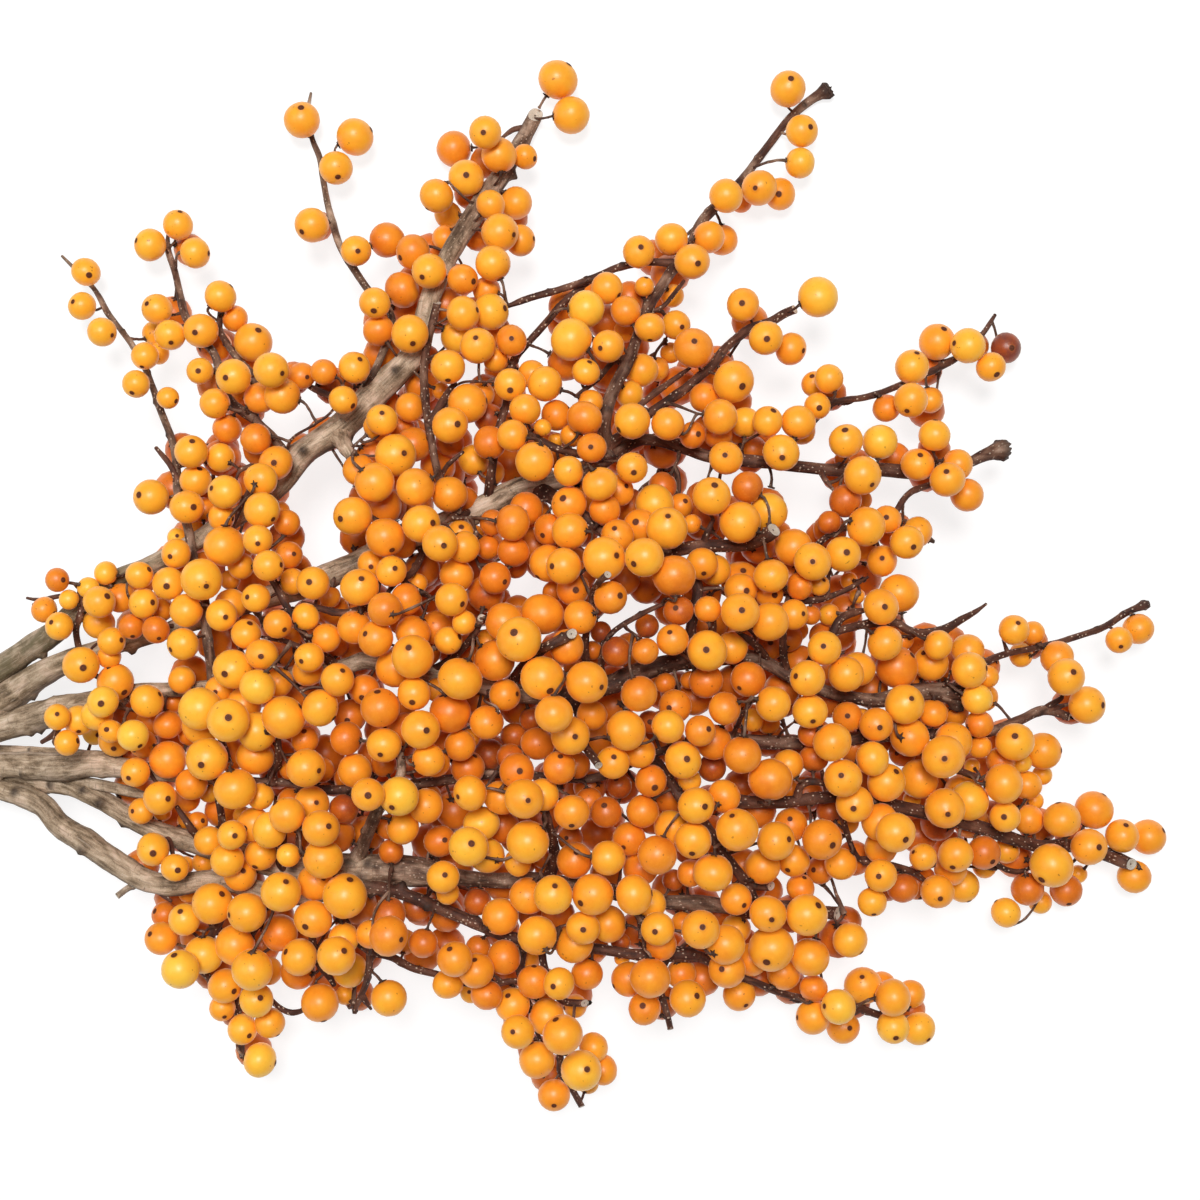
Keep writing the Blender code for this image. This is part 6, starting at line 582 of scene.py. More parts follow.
def backfill(u, v, r, z, wood, taken, rng):
    """Adds the berries that close the small gaps between the upper ones on the plan."""
    cell = 3.0
    side = int(1230 / cell)
    axis = np.arange(side) * cell - 9.0
    height = np.full((side, side), -1.0)

    def patch(a, b, wide_by):
        i0, i1 = np.searchsorted(axis, [b - wide_by, b + wide_by])
        j0, j1 = np.searchsorted(axis, [a - wide_by, a + wide_by])
        gu, gv = axis[j0:j1][None, :] - a, axis[i0:i1][:, None] - b
        return slice(i0, i1), slice(j0, j1), gu**2 + gv**2

    def draw(a, b, wide_by, mid, thick):
        rows_at, cols_at, away = patch(a, b, wide_by)
        top = mid + thick * np.sqrt(np.maximum(1.0 - away / wide_by**2, 0.0))
        inside = away < wide_by**2
        here = height[rows_at, cols_at]
        here[inside] = np.maximum(here[inside], top[inside])

    for a, b, c, h in zip(u, v, r, z):
        draw(a, b, c, h, c * (EYE_MM - h) / PLAN_MM)
    for row in taken:
        draw(row[0], row[1], row[2], row[4], row[6])
    for row in wood[::2]:
        draw(row[4], row[5], max(row[6] / 2, 3.2), row[2], row[3])
    solid = height > -0.5
    # Wider gaps close in the thick of the sprig, and only narrow ones near its edges.
    thick = ((axis[None, :] - 510.0) / 410.0) ** 2 + ((axis[:, None] - 690.0) / 265.0) ** 2 < 1.0
    closed = np.where(thick, ~wide(~wide(solid, 5), 5), ~wide(~wide(solid, 2), 2))
    closed[:, axis < 100.0] = False
    barred = np.zeros_like(solid)
    for entry in WINDOWS.replace("\n", ";").split(";"):
        part = [float(x) for x in entry.split()]
        if part:
            barred |= ((axis[None, :] - part[0]) / part[2]) ** 2 + ((axis[:, None] - part[1]) / part[3]) ** 2 < 1.0
    gap = closed & ~solid & ~barred
    p = np.vstack([spot(u, v, z), taken[:, 7:10]])
    size = np.concatenate([r * (EYE_MM - z) / PLAN_MM, taken[:, 6]])
    found = []
    places = []
    for a in np.arange(30.0, 1150.0, 8.0):
        for b in np.arange(90.0, 1090.0, 8.0):
            c = 15.5 + 4.5 * rng.random()
            rows_at, cols_at, away = patch(a, b, c)
            gain = int((gap[rows_at, cols_at] & (away < c * c)).sum())
            if gain >= 7:
                places.append((-gain, a, b, c))
    places.sort()
    for _, a, b, c in places:
        rows_at, cols_at, away = patch(a, b, c)
        inside = away < c * c
        open_now = gap[rows_at, cols_at] & inside
        if open_now.sum() < 6:
            continue
        ceiling = float(canopy(np.array(a), np.array(b))) - 6.0
        best, score = None, 5.0
        for h in np.arange(c * EYE_MM / PLAN_MM * 0.985 + 0.02, ceiling, 2.5):
            size_h = c * (EYE_MM - h) / PLAN_MM
            h = max(h, size_h + 0.02)
            q = spot(np.array(a), np.array(b), np.array(h))
            if (np.linalg.norm(p - q, axis=1) < size + size_h + 0.12).any():
                continue
            if (np.linalg.norm(wood[:, :3] - q, axis=1) < wood[:, 3] + size_h + 0.15).any():
                continue
            top = h + size_h * np.sqrt(np.maximum(1.0 - away / c**2, 0.0))
            seen = inside & (top > height[rows_at, cols_at])
            good = float((seen & open_now).sum())
            bad = float((seen & ~open_now).sum())
            value = good - 1.3 * bad + 0.04 * h
            if bad <= 0.13 * inside.sum() and value > score:
                best, score = (h, size_h, q, top, seen), value
        if best is None:
            continue
        h, size_h, q, top, seen = best
        here = height[rows_at, cols_at]
        here[inside] = np.maximum(here[inside], top[inside])
        gap[rows_at, cols_at] &= ~inside
        p = np.vstack([p, q[None]])
        size = np.append(size, size_h)
        found.append([a, b, c, 3.0, h, float(rng.integers(0, 3)), size_h, *q])
    return np.array(found)



CLUSTERS = 35  # groups of berries that hang together on their own twigs
TIE_MM = 1.35  # half the thickness of a tie between neighbouring berries
OWN = {
    # shoots with a node of their own, and the smaller shoots that belong to them
    "limb_a": "A A2 A3", "limb_b": "B B2", "limb_c": "C C2 C3 C4", "limb_d": "D D2 D3 E",
    "limb_e": "F", "limb_f": "G G2 G3",
    "side_branch_01": "T1 T1b", "side_branch_02": "T3 T2", "side_branch_03": "T6b T12 T13",
    "side_branch_04": "T7", "side_branch_05": "T9 T10 T17", "side_branch_06": "T8",
    "side_branch_07": "T11", "side_branch_08": "T16 T16b", "side_branch_09": "T19",
    "side_branch_10": "T30 T30b", "side_branch_11": "T31", "side_branch_12": "T36 T36b",
    "side_branch_13": "T39 T39b", "side_branch_14": "T58 T59 T59b T60 T61 T65",
    "side_branch_15": "T80 T81", "side_branch_16": "T50 T73 T73b",
}


def gather(shoots, p, size):
    """Groups the berries and the small twigs into clusters joined by short ties that miss the wood."""
    own = {name for names in OWN.values() for name in names.split()} | {"stem"}
    thick = np.vstack([shoots[n]["line"] for n in shoots if n in own])
    pos, rad, chain = [*p], [*size], []
    for shoot in shoots.values():
        if shoot["name"] in own:
            continue
        line = shoot["line"]
        clear = np.linalg.norm(line[:, None, :3] - thick[None, :, :3], axis=2) - thick[None, :, 3]
        keep = (clear.min(axis=1) > np.maximum(line[:, 3], 0.9) + 0.6) & (shoot["plan"][:, 0] > 14.0)
        last = -1
        for k in range(0, len(line), 2):
            if not keep[k]:
                last = -1
                continue
            pos.append(line[k, :3])
            rad.append(max(line[k, 3], 0.95))
            if last >= 0:
                chain.append((last, len(pos) - 1))
            last = len(pos) - 1
    pos, rad = np.array(pos), np.array(rad)
    n = len(p)
    edges = []
    for a, b in chain:
        edges.append((0.1, a, b))
    linked = {(a, b) for a, b in chain}
    for a in range(len(pos)):
        gap = np.linalg.norm(pos[a + 1 :] - pos[a], axis=1) - rad[a + 1 :] - rad[a]
        for k in np.nonzero(gap < 9.0)[0]:
            b = a + 1 + int(k)
            if a >= n and b >= n and gap[k] > 2.0:
                continue
            if (a, b) in linked:
                continue
            t = np.linspace(0.1, 0.9, 7)[:, None]
            path = pos[a] * (1 - t) + pos[b] * t
            lo, hi = path.min(axis=0) - 6.0, path.max(axis=0) + 6.0
            box = thick[((thick[:, :3] > lo) & (thick[:, :3] < hi)).all(axis=1)]
            if len(box):
                clear = np.linalg.norm(path[:, None] - box[None, :, :3], axis=2) - box[None, :, 3]
                if clear.min() < TIE_MM + 0.55:
                    continue
            edges.append((max(float(gap[k]), 0.0) + 0.3, a, b))
    links = [[] for _ in pos]
    for cost, a, b in edges:
        links[a].append((b, cost))
        links[b].append((a, cost))
    part = np.full(len(pos), -1)
    loose = []
    for start in range(len(pos)):
        if part[start] >= 0:
            continue
        part[start], todo, members = start, [start], []
        while todo:
            a = todo.pop()
            members.append(a)
            for b, _ in links[a]:
                if part[b] < 0:
                    part[b] = start
                    todo.append(b)
        if sum(a < n for a in members) < 6:
            loose.extend(members)
    part[loose] = -1
    held = np.nonzero(part[:n] >= 0)[0]
    seeds = [int(held[np.argmin(p[held, 0] + p[held, 1])])]
    away = np.linalg.norm(p[held] - p[seeds[0]], axis=1)
    while len(seeds) < CLUSTERS:
        seeds.append(int(held[np.argmax(away)]))
        away = np.minimum(away, np.linalg.norm(p[held] - p[seeds[-1]], axis=1))
    for _ in range(9):
        group = np.full(len(pos), -1)
        far = np.full(len(pos), 1e9)
        heap = [(0.0, s, k) for k, s in enumerate(seeds)]
        heapq.heapify(heap)
        while heap:
            cost, a, k = heapq.heappop(heap)
            if group[a] >= 0:
                continue
            group[a] = k
            for b, step in links[a]:
                reach = cost + 0.35 * step + 0.13 * float(np.linalg.norm(pos[a] - pos[b])) ** 1.4
                if group[b] < 0 and reach < far[b]:
                    far[b] = reach
                    heapq.heappush(heap, (reach, b, k))
        for k in range(CLUSTERS):
            mine = np.nonzero(group[:n] == k)[0]
            if len(mine):
                mid = p[mine].mean(axis=0)
                seeds[k] = int(mine[np.argmin(np.linalg.norm(p[mine] - mid, axis=1))])
    ties = [[] for _ in range(CLUSTERS)]
    root = list(range(len(pos)))

    def top(a):
        while root[a] != a:
            root[a] = root[root[a]]
            a = root[a]
        return a

    for cost, a, b in sorted(edges):
        if group[a] >= 0 and group[a] == group[b] and top(a) != top(b):
            root[top(a)] = top(b)
            ties[group[a]].append((a, b))
    # A berry with no way to its neighbours hangs on the nearest shoot that has a node of its own.
    owner = {name: node for node, names in OWN.items() for name in names.split()}
    labels = [n for n in shoots if n in owner for _ in shoots[n]["line"]]
    bars = np.vstack([shoots[n]["line"] for n in shoots if n in owner])
    perched = []
    for a in np.nonzero(group[:n] < 0)[0]:
        k = int(np.argmin(np.linalg.norm(bars[:, :3] - p[a], axis=1) - bars[:, 3]))
        perched.append((int(a), owner[labels[k]], bars[k]))
    return pos, rad, group, ties, perched



def layout():
    """Shoots, berries and clusters of the whole sprig, in millimetres."""
    shoots = read_wood()
    rows = read_berries()
    wood = np.vstack([np.concatenate([s["line"], s["plan"]], axis=1) for s in shoots.values()])
    rng = np.random.default_rng(7)
    u, v, z, size = settle(rows, wood, rng)
    hidden = fill(rows, u, v, z, size, wood, rng)
    hidden = np.vstack([hidden, backfill(u, v, rows[:, 2], z, wood, hidden, rng)])
    p = np.vstack([spot(u, v, z), hidden[:, 7:10]])
    size = np.concatenate([size, hidden[:, 6]])
    return shoots, rows, hidden, p, size, gather(shoots, p, size)


# ---------------------------------------------------------------- small helpers


def lattice(ix, iy, iz, seed):
    n = (ix * 374761393 + iy * 668265263 + iz * 1274126177 + seed * 974634777) & 0xFFFFFFFF
    n = ((n ^ (n >> 13)) * 1103515245) & 0xFFFFFFFF
    n = ((n ^ (n >> 16)) * 2246822519) & 0xFFFFFFFF
    return (n ^ (n >> 15)) / 2147483647.5 - 1.0


def grain(p, seed=0):
    """Smooth noise from -1 to 1 at each point."""
    base = np.floor(p).astype(np.int64)
    f = p - base
    f = f * f * (3.0 - 2.0 * f)
    out = 0.0
    for dx in (0, 1):
        for dy in (0, 1):
            for dz in (0, 1):
                w = (
                    (f[..., 0] if dx else 1 - f[..., 0])
                    * (f[..., 1] if dy else 1 - f[..., 1])
                    * (f[..., 2] if dz else 1 - f[..., 2])
                )
                out = out + w * lattice(base[..., 0] + dx, base[..., 1] + dy, base[..., 2] + dz, seed)
    return out


def unit(v):
    return v / (np.linalg.norm(v, axis=-1, keepdims=True) + 1e-12)


class Skin:
    """Gathers vertices, faces and per-point attributes for one piece."""

    def __init__(self):
        self.points, self.faces, self.marks, self.flow, self.count = [], [], [], [], 0

    def add(self, points, faces, marks, flow=None):
        self.points.append(points)
        self.marks.append(np.broadcast_to(np.asarray(marks, float), (len(points), 4)))
        self.flow.append(np.zeros((len(points), 3)) if flow is None else flow)
        for f in faces:
            self.faces.append(f + self.count)
        self.count += len(points)

    def finish(self, name, mat, slot):
        """Makes the object. marks become a colour attribute and flow a vector attribute."""
        points = np.vstack(self.points) + SHIFT
        points[:, 2] = np.maximum(points[:, 2], 0.0)
        points *= MM
        mesh = bpy.data.meshes.new(name)
        quads = [f for f in self.faces if f.shape[1] == 4]
        tris = [f for f in self.faces if f.shape[1] == 3]
        quads = np.vstack(quads) if quads else np.zeros((0, 4), int)
        tris = np.vstack(tris) if tris else np.zeros((0, 3), int)
        loops = np.concatenate([quads.ravel(), tris.ravel()])
        starts = np.concatenate([np.arange(len(quads)) * 4, len(quads) * 4 + np.arange(len(tris)) * 3])
        mesh.vertices.add(len(points))
        mesh.vertices.foreach_set("co", points.astype(np.float32).ravel())
        mesh.loops.add(len(loops))
        mesh.loops.foreach_set("vertex_index", loops.astype(np.int32))
        mesh.polygons.add(len(starts))
        mesh.polygons.foreach_set("loop_start", starts.astype(np.int32))
        mesh.update(calc_edges=True)
        mesh.validate()
        mesh.polygons.foreach_set("use_smooth", np.ones(len(mesh.polygons), bool))
        marks = mesh.attributes.new("marks", "FLOAT_COLOR", "POINT")
        marks.data.foreach_set("color", np.vstack(self.marks).astype(np.float32).ravel())
        flow = mesh.attributes.new("flow", "FLOAT_VECTOR", "POINT")
        flow.data.foreach_set("vector", np.vstack(self.flow).astype(np.float32).ravel())
        mesh.materials.append(mat)
        obj = bpy.data.objects.new(name, mesh)
        bpy.context.scene.collection.objects.link(obj)
        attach(obj, "root")
        return obj


def strips(rings, sides, first=0):
    """Quads between consecutive rings of a tube."""
    a = first + np.arange(rings - 1)[:, None] * sides + np.arange(sides)[None, :]
    b = first + np.arange(rings - 1)[:, None] * sides + (np.arange(sides)[None, :] + 1) % sides
    return np.stack([a, b, b + sides, a + sides], axis=-1).reshape(-1, 4)


# ---------------------------------------------------------------- berries


def berry_form(sides, angles):
    """A unit berry with its eye on +Z: directions, how far each point stands in or out, faces."""
    t = np.array(angles)
    lift = np.interp(
        t,
        [0.0, 0.05, 0.10, 0.145, 0.19, 0.27, 0.42, 0.7, 2.5, 2.8, 3.0, 3.14159],
        [0.016, -0.004, -0.020, 0.012, 0.004, -0.014, -0.004, 0.0, 0.0, -0.008, -0.03, -0.04],
    )
    turn = np.arange(sides) * 2 * math.pi / sides
    ring = np.stack(
        [
            np.sin(t)[:, None] * np.cos(turn),
            np.sin(t)[:, None] * np.sin(turn),
            np.cos(t)[:, None] * np.ones(sides),
        ],
        axis=-1,
    ).reshape(-1, 3)
    dirs = np.vstack([ring, [[0, 0, 1.0], [0, 0, -1.0]]])
    lift = np.concatenate([np.repeat(lift, sides), [0.012, -0.04]])
    angle = np.concatenate([np.repeat(t, sides), [0.0, math.pi]])
    n = len(t) * sides
    k = np.arange(sides)
    top = np.stack([np.full(sides, n), k, (k + 1) % sides], axis=-1)
    last = n - sides
    end = np.stack([np.full(sides, n + 1), last + (k + 1) % sides, last + k], axis=-1)
    body = strips(len(t), sides)[:, ::-1]
    return dirs, lift, angle, [body, top, end]


FORMS = [
    berry_form(20, [0.05, 0.10, 0.145, 0.19, 0.27, 0.42, 0.65, 0.90, 1.15, 1.40, 1.65, 1.90, 2.16, 2.42, 2.68, 2.92]),
    berry_form(18, [0.06, 0.12, 0.19, 0.34, 0.60, 0.87, 1.14, 1.41, 1.68, 1.95, 2.22, 2.49, 2.76, 2.96]),
    berry_form(14, [0.08, 0.17, 0.42, 0.80, 1.18, 1.56, 1.94, 2.32, 2.72]),
]


def faced(rows, p, size, wood, rng):
    """Where each berry's eye points. Seen ones follow the plan, the others turn away from the viewpoint."""
    n = len(rows)
    out = np.zeros((len(p), 3))
    eye = np.array([0.0, 0.0, EYE_MM])
    for k in range(len(p)):
        back = unit(eye - p[k])
        right = unit(np.cross([0.0, 1.0, 0.0], back))
        up = np.cross(back, right)
        if k < n and (rows[k, 4] or rows[k, 5]):
            # The eye keeps its place on the berry, though the berry may have been nudged on the plan.
            a = (rows[k, 4] - rows[k, 0]) / rows[k, 2]
            b = -(rows[k, 5] - rows[k, 1]) / rows[k, 2]
            far = math.hypot(a, b)
            if far > 0.975:
                a, b = a * 0.975 / far, b * 0.975 / far
            c = math.sqrt(max(0.0, 1.0 - a * a - b * b))
            out[k] = unit(a * right + b * up + c * back)
            continue
        # An eye that isn't seen points away from the nearest wood, and slightly away from the viewpoint.
        near = int(np.argmin(np.linalg.norm(wood[:, :3] - p[k], axis=1) - wood[:, 3]))
        w = unit(unit(p[k] - wood[near, :3]) + 0.35 * unit(rng.normal(size=3)))
        c = float(w @ back)
        w = unit(w + (min(max(c, -0.55), -rng.uniform(0.10, 0.30)) - c) * back)
        out[k] = w
    return out


def add_berry(skin, centre, radius, way, shaded_tone, form, rng):
    dirs, lift, angle, faces = FORMS[form]
    side = unit(np.cross(way, unit(rng.normal(size=3))))
    up = np.cross(way, side)
    spin = np.stack([side, up, way])
    squeeze = np.array([1.0 + rng.uniform(-0.035, 0.04), 1.0 + rng.uniform(-0.035, 0.04), 0.975 + rng.uniform(-0.045, 0.04)])
    seed = int(rng.integers(1, 9999))
    soft = 0.018 * grain(dirs * 1.3 + 50.0, seed) + 0.004 * grain(dirs * 4.0 + 50.0, seed)
    local = dirs * (1.0 + lift * (0.8 + 0.5 * rng.random()) + soft)[:, None] * squeeze
    points = centre + (local * radius) @ spin
    dot = 0.160 + rng.uniform(-0.024, 0.024)
    dot = dot * min(1.25, max(0.85, 4.3 / radius) ** 0.5)
    eye = np.clip((dot + 0.03 - angle) / 0.045, 0.0, 1.0)
    marks = np.stack([np.full(len(dirs), shaded_tone), eye, np.full(len(dirs), rng.random()), angle / math.pi], axis=-1)
    skin.add(points, faces, marks, local * radius + seed % 97)


# ---------------------------------------------------------------- stalks


def bezier(a, b, c, d, n):
    t = np.linspace(0.0, 1.0, n)[:, None]
    return a * (1 - t) ** 3 + 3 * b * t * (1 - t) ** 2 + 3 * c * t * t * (1 - t) + d * t**3


def grow(shoots, p, size, ways, used, rng):
    """Joins each berry to the wood by a stalk: nearest first, later ones from earlier ones where the wood is far."""
    spots, radii = [], []
    for shoot in shoots.values():
        # No stalk starts on a raised end, because it would cross the berries below.
        line = shoot["line"][: shoot.get("level", len(shoot["line"]))]
        if shoot["name"] == "stem":
            continue
        spots.append(line[:, :3])
        radii.append(line[:, 3])
    feet = np.vstack(spots)
    thick = np.concatenate(radii)
    owner = np.full(len(feet), -1)
    base = p - ways * (size * 0.955)[:, None]
    left = [int(k) for k in used]
    best = np.full(len(p), 1e9)
    link = np.full(len(p), -1)

    def offer(points, r, start, extra):
        for k in left:
            d = points - base[k]
            far = np.linalg.norm(d, axis=1)
            cos = -(d @ ways[k]) / (far + 1e-9)
            under = np.maximum(0.0, points[:, 2] - p[k, 2] - 1.0)
            cost = np.maximum(far - r, 0.0) + 2.2 * (1.0 - cos) + 0.5 * under + extra
            cost = cost + np.where(far < r + 0.4, 3.0, 0.0)
            j = int(np.argmin(cost))
            if cost[j] < best[k]:
                best[k], link[k] = cost[j], start + j

    offer(feet, thick, 0, 0.0)
    paths, parents = {}, {}
    while left:
        k = min(left, key=lambda a: best[a])
        left.remove(k)
        foot = feet[link[k]]
        parents[k] = int(owner[link[k]])
        span = np.linalg.norm(base[k] - foot)
        chosen, score = None, -1e9
        for attempt in range(16):
            wild = 0.0 if attempt == 0 else 0.28 * span
            one = foot + (base[k] - foot) * 0.35 + rng.normal(size=3) * wild * 0.6
            two = base[k] - ways[k] * min(0.45 * span + 0.3, 3.2) + rng.normal(size=3) * wild * 0.25
            path = bezier(foot, one, two, base[k], 9)
            gap = np.linalg.norm(path[1:-1, None] - p[None], axis=2) - size
            own = float((gap[:, k] - np.array([0.5, 0.5, 0.45, 0.4, 0.3, 0.15, 0.0])).min())
            gap[:, k] = 9.0
            clear = min(float(gap.min()), 0.5)
            length = float(np.linalg.norm(np.diff(path, axis=0), axis=1).sum())
            good = 6.0 * clear - 0.25 * length - 0.5 * max(0.0, float((path[:, 2] - p[k, 2]).max()))
            good += 7.0 * min(own, 0.0)
            if path[:, 2].min() < 0.5:
                good -= 9.0
            if good > score:
                chosen, score = path, good
        paths[k] = chosen
        start = len(feet)
        mids = chosen[2:7]
        feet = np.vstack([feet, mids])
        thick = np.concatenate([thick, np.full(len(mids), 0.5)])
        owner = np.concatenate([owner, np.full(len(mids), k)])
        offer(mids, 0.5, start, 1.6)
    load = {k: 0 for k in paths}
    for k in paths:
        a = parents[k]
        while a >= 0:
            load[a] += 1
            a = parents[a]
    return paths, load


def around(points):
    """Two directions across the line at each of its points, carried along without twist."""
    along = unit(np.gradient(points, axis=0))
    side = np.zeros_like(points)
    first = np.cross(along[0], [0.0, 0.0, 1.0])
    if np.linalg.norm(first) < 1e-3:
        first = np.cross(along[0], [0.0, 1.0, 0.0])
    side[0] = unit(first)
    for i in range(1, len(points)):
        s = side[i - 1] - along[i] * (side[i - 1] @ along[i])
        side[i] = s / (np.linalg.norm(s) + 1e-12)
    return along, side, np.cross(side, along)


def add_stalk(skin, path, load, way, radius, rng):
    sides = 6
    n = len(path)
    t = np.linspace(0.0, 1.0, n)
    thin = 0.32 + 0.06 * rng.random()
    foot = thin + 0.13 * min(load, 4) ** 0.7
    r = foot + (thin - foot) * smooth(t * 1.6) + 0.16 * np.exp(-t / 0.10) + 0.13 * np.exp(-(1 - t) / 0.07)
    along, side, up = around(path)
    turn = np.arange(sides) * 2 * math.pi / sides
    wob = 1.0 + 0.10 * rng.normal(size=(n, sides))
    ring = path[:, None] + (np.cos(turn)[None, :, None] * side[:, None] + np.sin(turn)[None, :, None] * up[:, None]) * (
        r[:, None] * wob
    )[..., None]
    points = ring.reshape(-1, 3)
    s = np.concatenate([[0], np.cumsum(np.linalg.norm(np.diff(path, axis=0), axis=1))])
    flow = np.stack(
        [np.repeat(s, sides) + 37.0 * rng.random(), np.tile(turn * 0.5, n), np.repeat(r, sides)], axis=-1
    )
    marks = np.tile([0.36, 0.10, 0.0, 0.0], (len(points), 1))
    marks[-2 * sides :, 1] = 0.65
    skin.add(points, [strips(n, sides)], marks, flow)
    # The calyx: five short lobes that lie back against the berry.
    low = path[-1] + way * (radius * 0.955)
    side0 = unit(np.cross(way, unit(rng.normal(size=3))))
    up0 = np.cross(way, side0)
    reach = np.where(np.arange(10) % 2 == 0, 0.24, 0.12) * (1 + 0.15 * rng.normal(size=10))
    turn = np.arange(10) * 2 * math.pi / 10
    dirs = (
        -way * np.cos(reach)[:, None]
        + (np.cos(turn)[:, None] * side0 + np.sin(turn)[:, None] * up0) * np.sin(reach)[:, None]
    )
    outer = low + dirs * radius * 1.03
    inner = low + dirs * radius * 0.985
    tip_out = low - way * radius * 1.05
    tip_in = low - way * radius * 0.93
    points = np.vstack([outer, inner, [tip_out], [tip_in]])
    k = np.arange(10)
    nxt = (k + 1) % 10
    faces = [
        np.stack([np.full(10, 20), nxt, k], axis=-1),
        np.stack([np.full(10, 21), 10 + k, 10 + nxt], axis=-1),
        np.stack([k, nxt, 10 + nxt, 10 + k], axis=-1),
    ]
    skin.add(points, faces, [0.0, 0.8, 0.0, 0.0], np.tile([s[-1], 0.0, 0.5], (22, 1)))


# ---------------------------------------------------------------- wood


def resampled(line, step):
    d = np.linalg.norm(np.diff(line[:, :3], axis=0), axis=1)
    s = np.concatenate([[0], np.cumsum(d)])
    n = max(4, int(s[-1] / step) + 1)
    t = np.linspace(0, s[-1], n)
    out = np.stack([np.interp(t, s, line[:, k]) for k in range(4)], axis=1)
    for _ in range(max(1, int(1.6 / step))):
        out[1:-1] = 0.25 * out[:-2] + 0.5 * out[1:-1] + 0.25 * out[2:]
    return out, t


WOODY = {
    # where along the plan each limb's bark turns darker, and how grey it is before and after
    "A": (340, 520, 1.0, 0.42), "A2": (0, 100, 0.9, 0.9), "B": (420, 640, 1.0, 0.30), "B2": (0, 100, 0.25, 0.25),
    "C": (380, 580, 1.0, 0.38), "C2": (0, 100, 0.40, 0.40), "D": (140, 240, 0.9, 0.33), "E": (140, 240, 0.9, 0.45),
    "F": (310, 400, 1.0, 0.44), "F2": (0, 100, 0.50, 0.50), "G": (320, 400, 1.0, 0.14), "G2": (0, 100, 0.6, 0.6),
    "H": (-40, 120, 0.8, 0.8), "T1": (0, 100, 0.42, 0.42), "T9": (0, 100, 0.34, 0.34), "T7": (0, 100, 0.44, 0.44),
    "T2": (0, 100, 0.36, 0.36), "T3": (0, 100, 0.36, 0.36), "T6b": (0, 100, 0.32, 0.32), "T4": (0, 100, 0.28, 0.28),
}


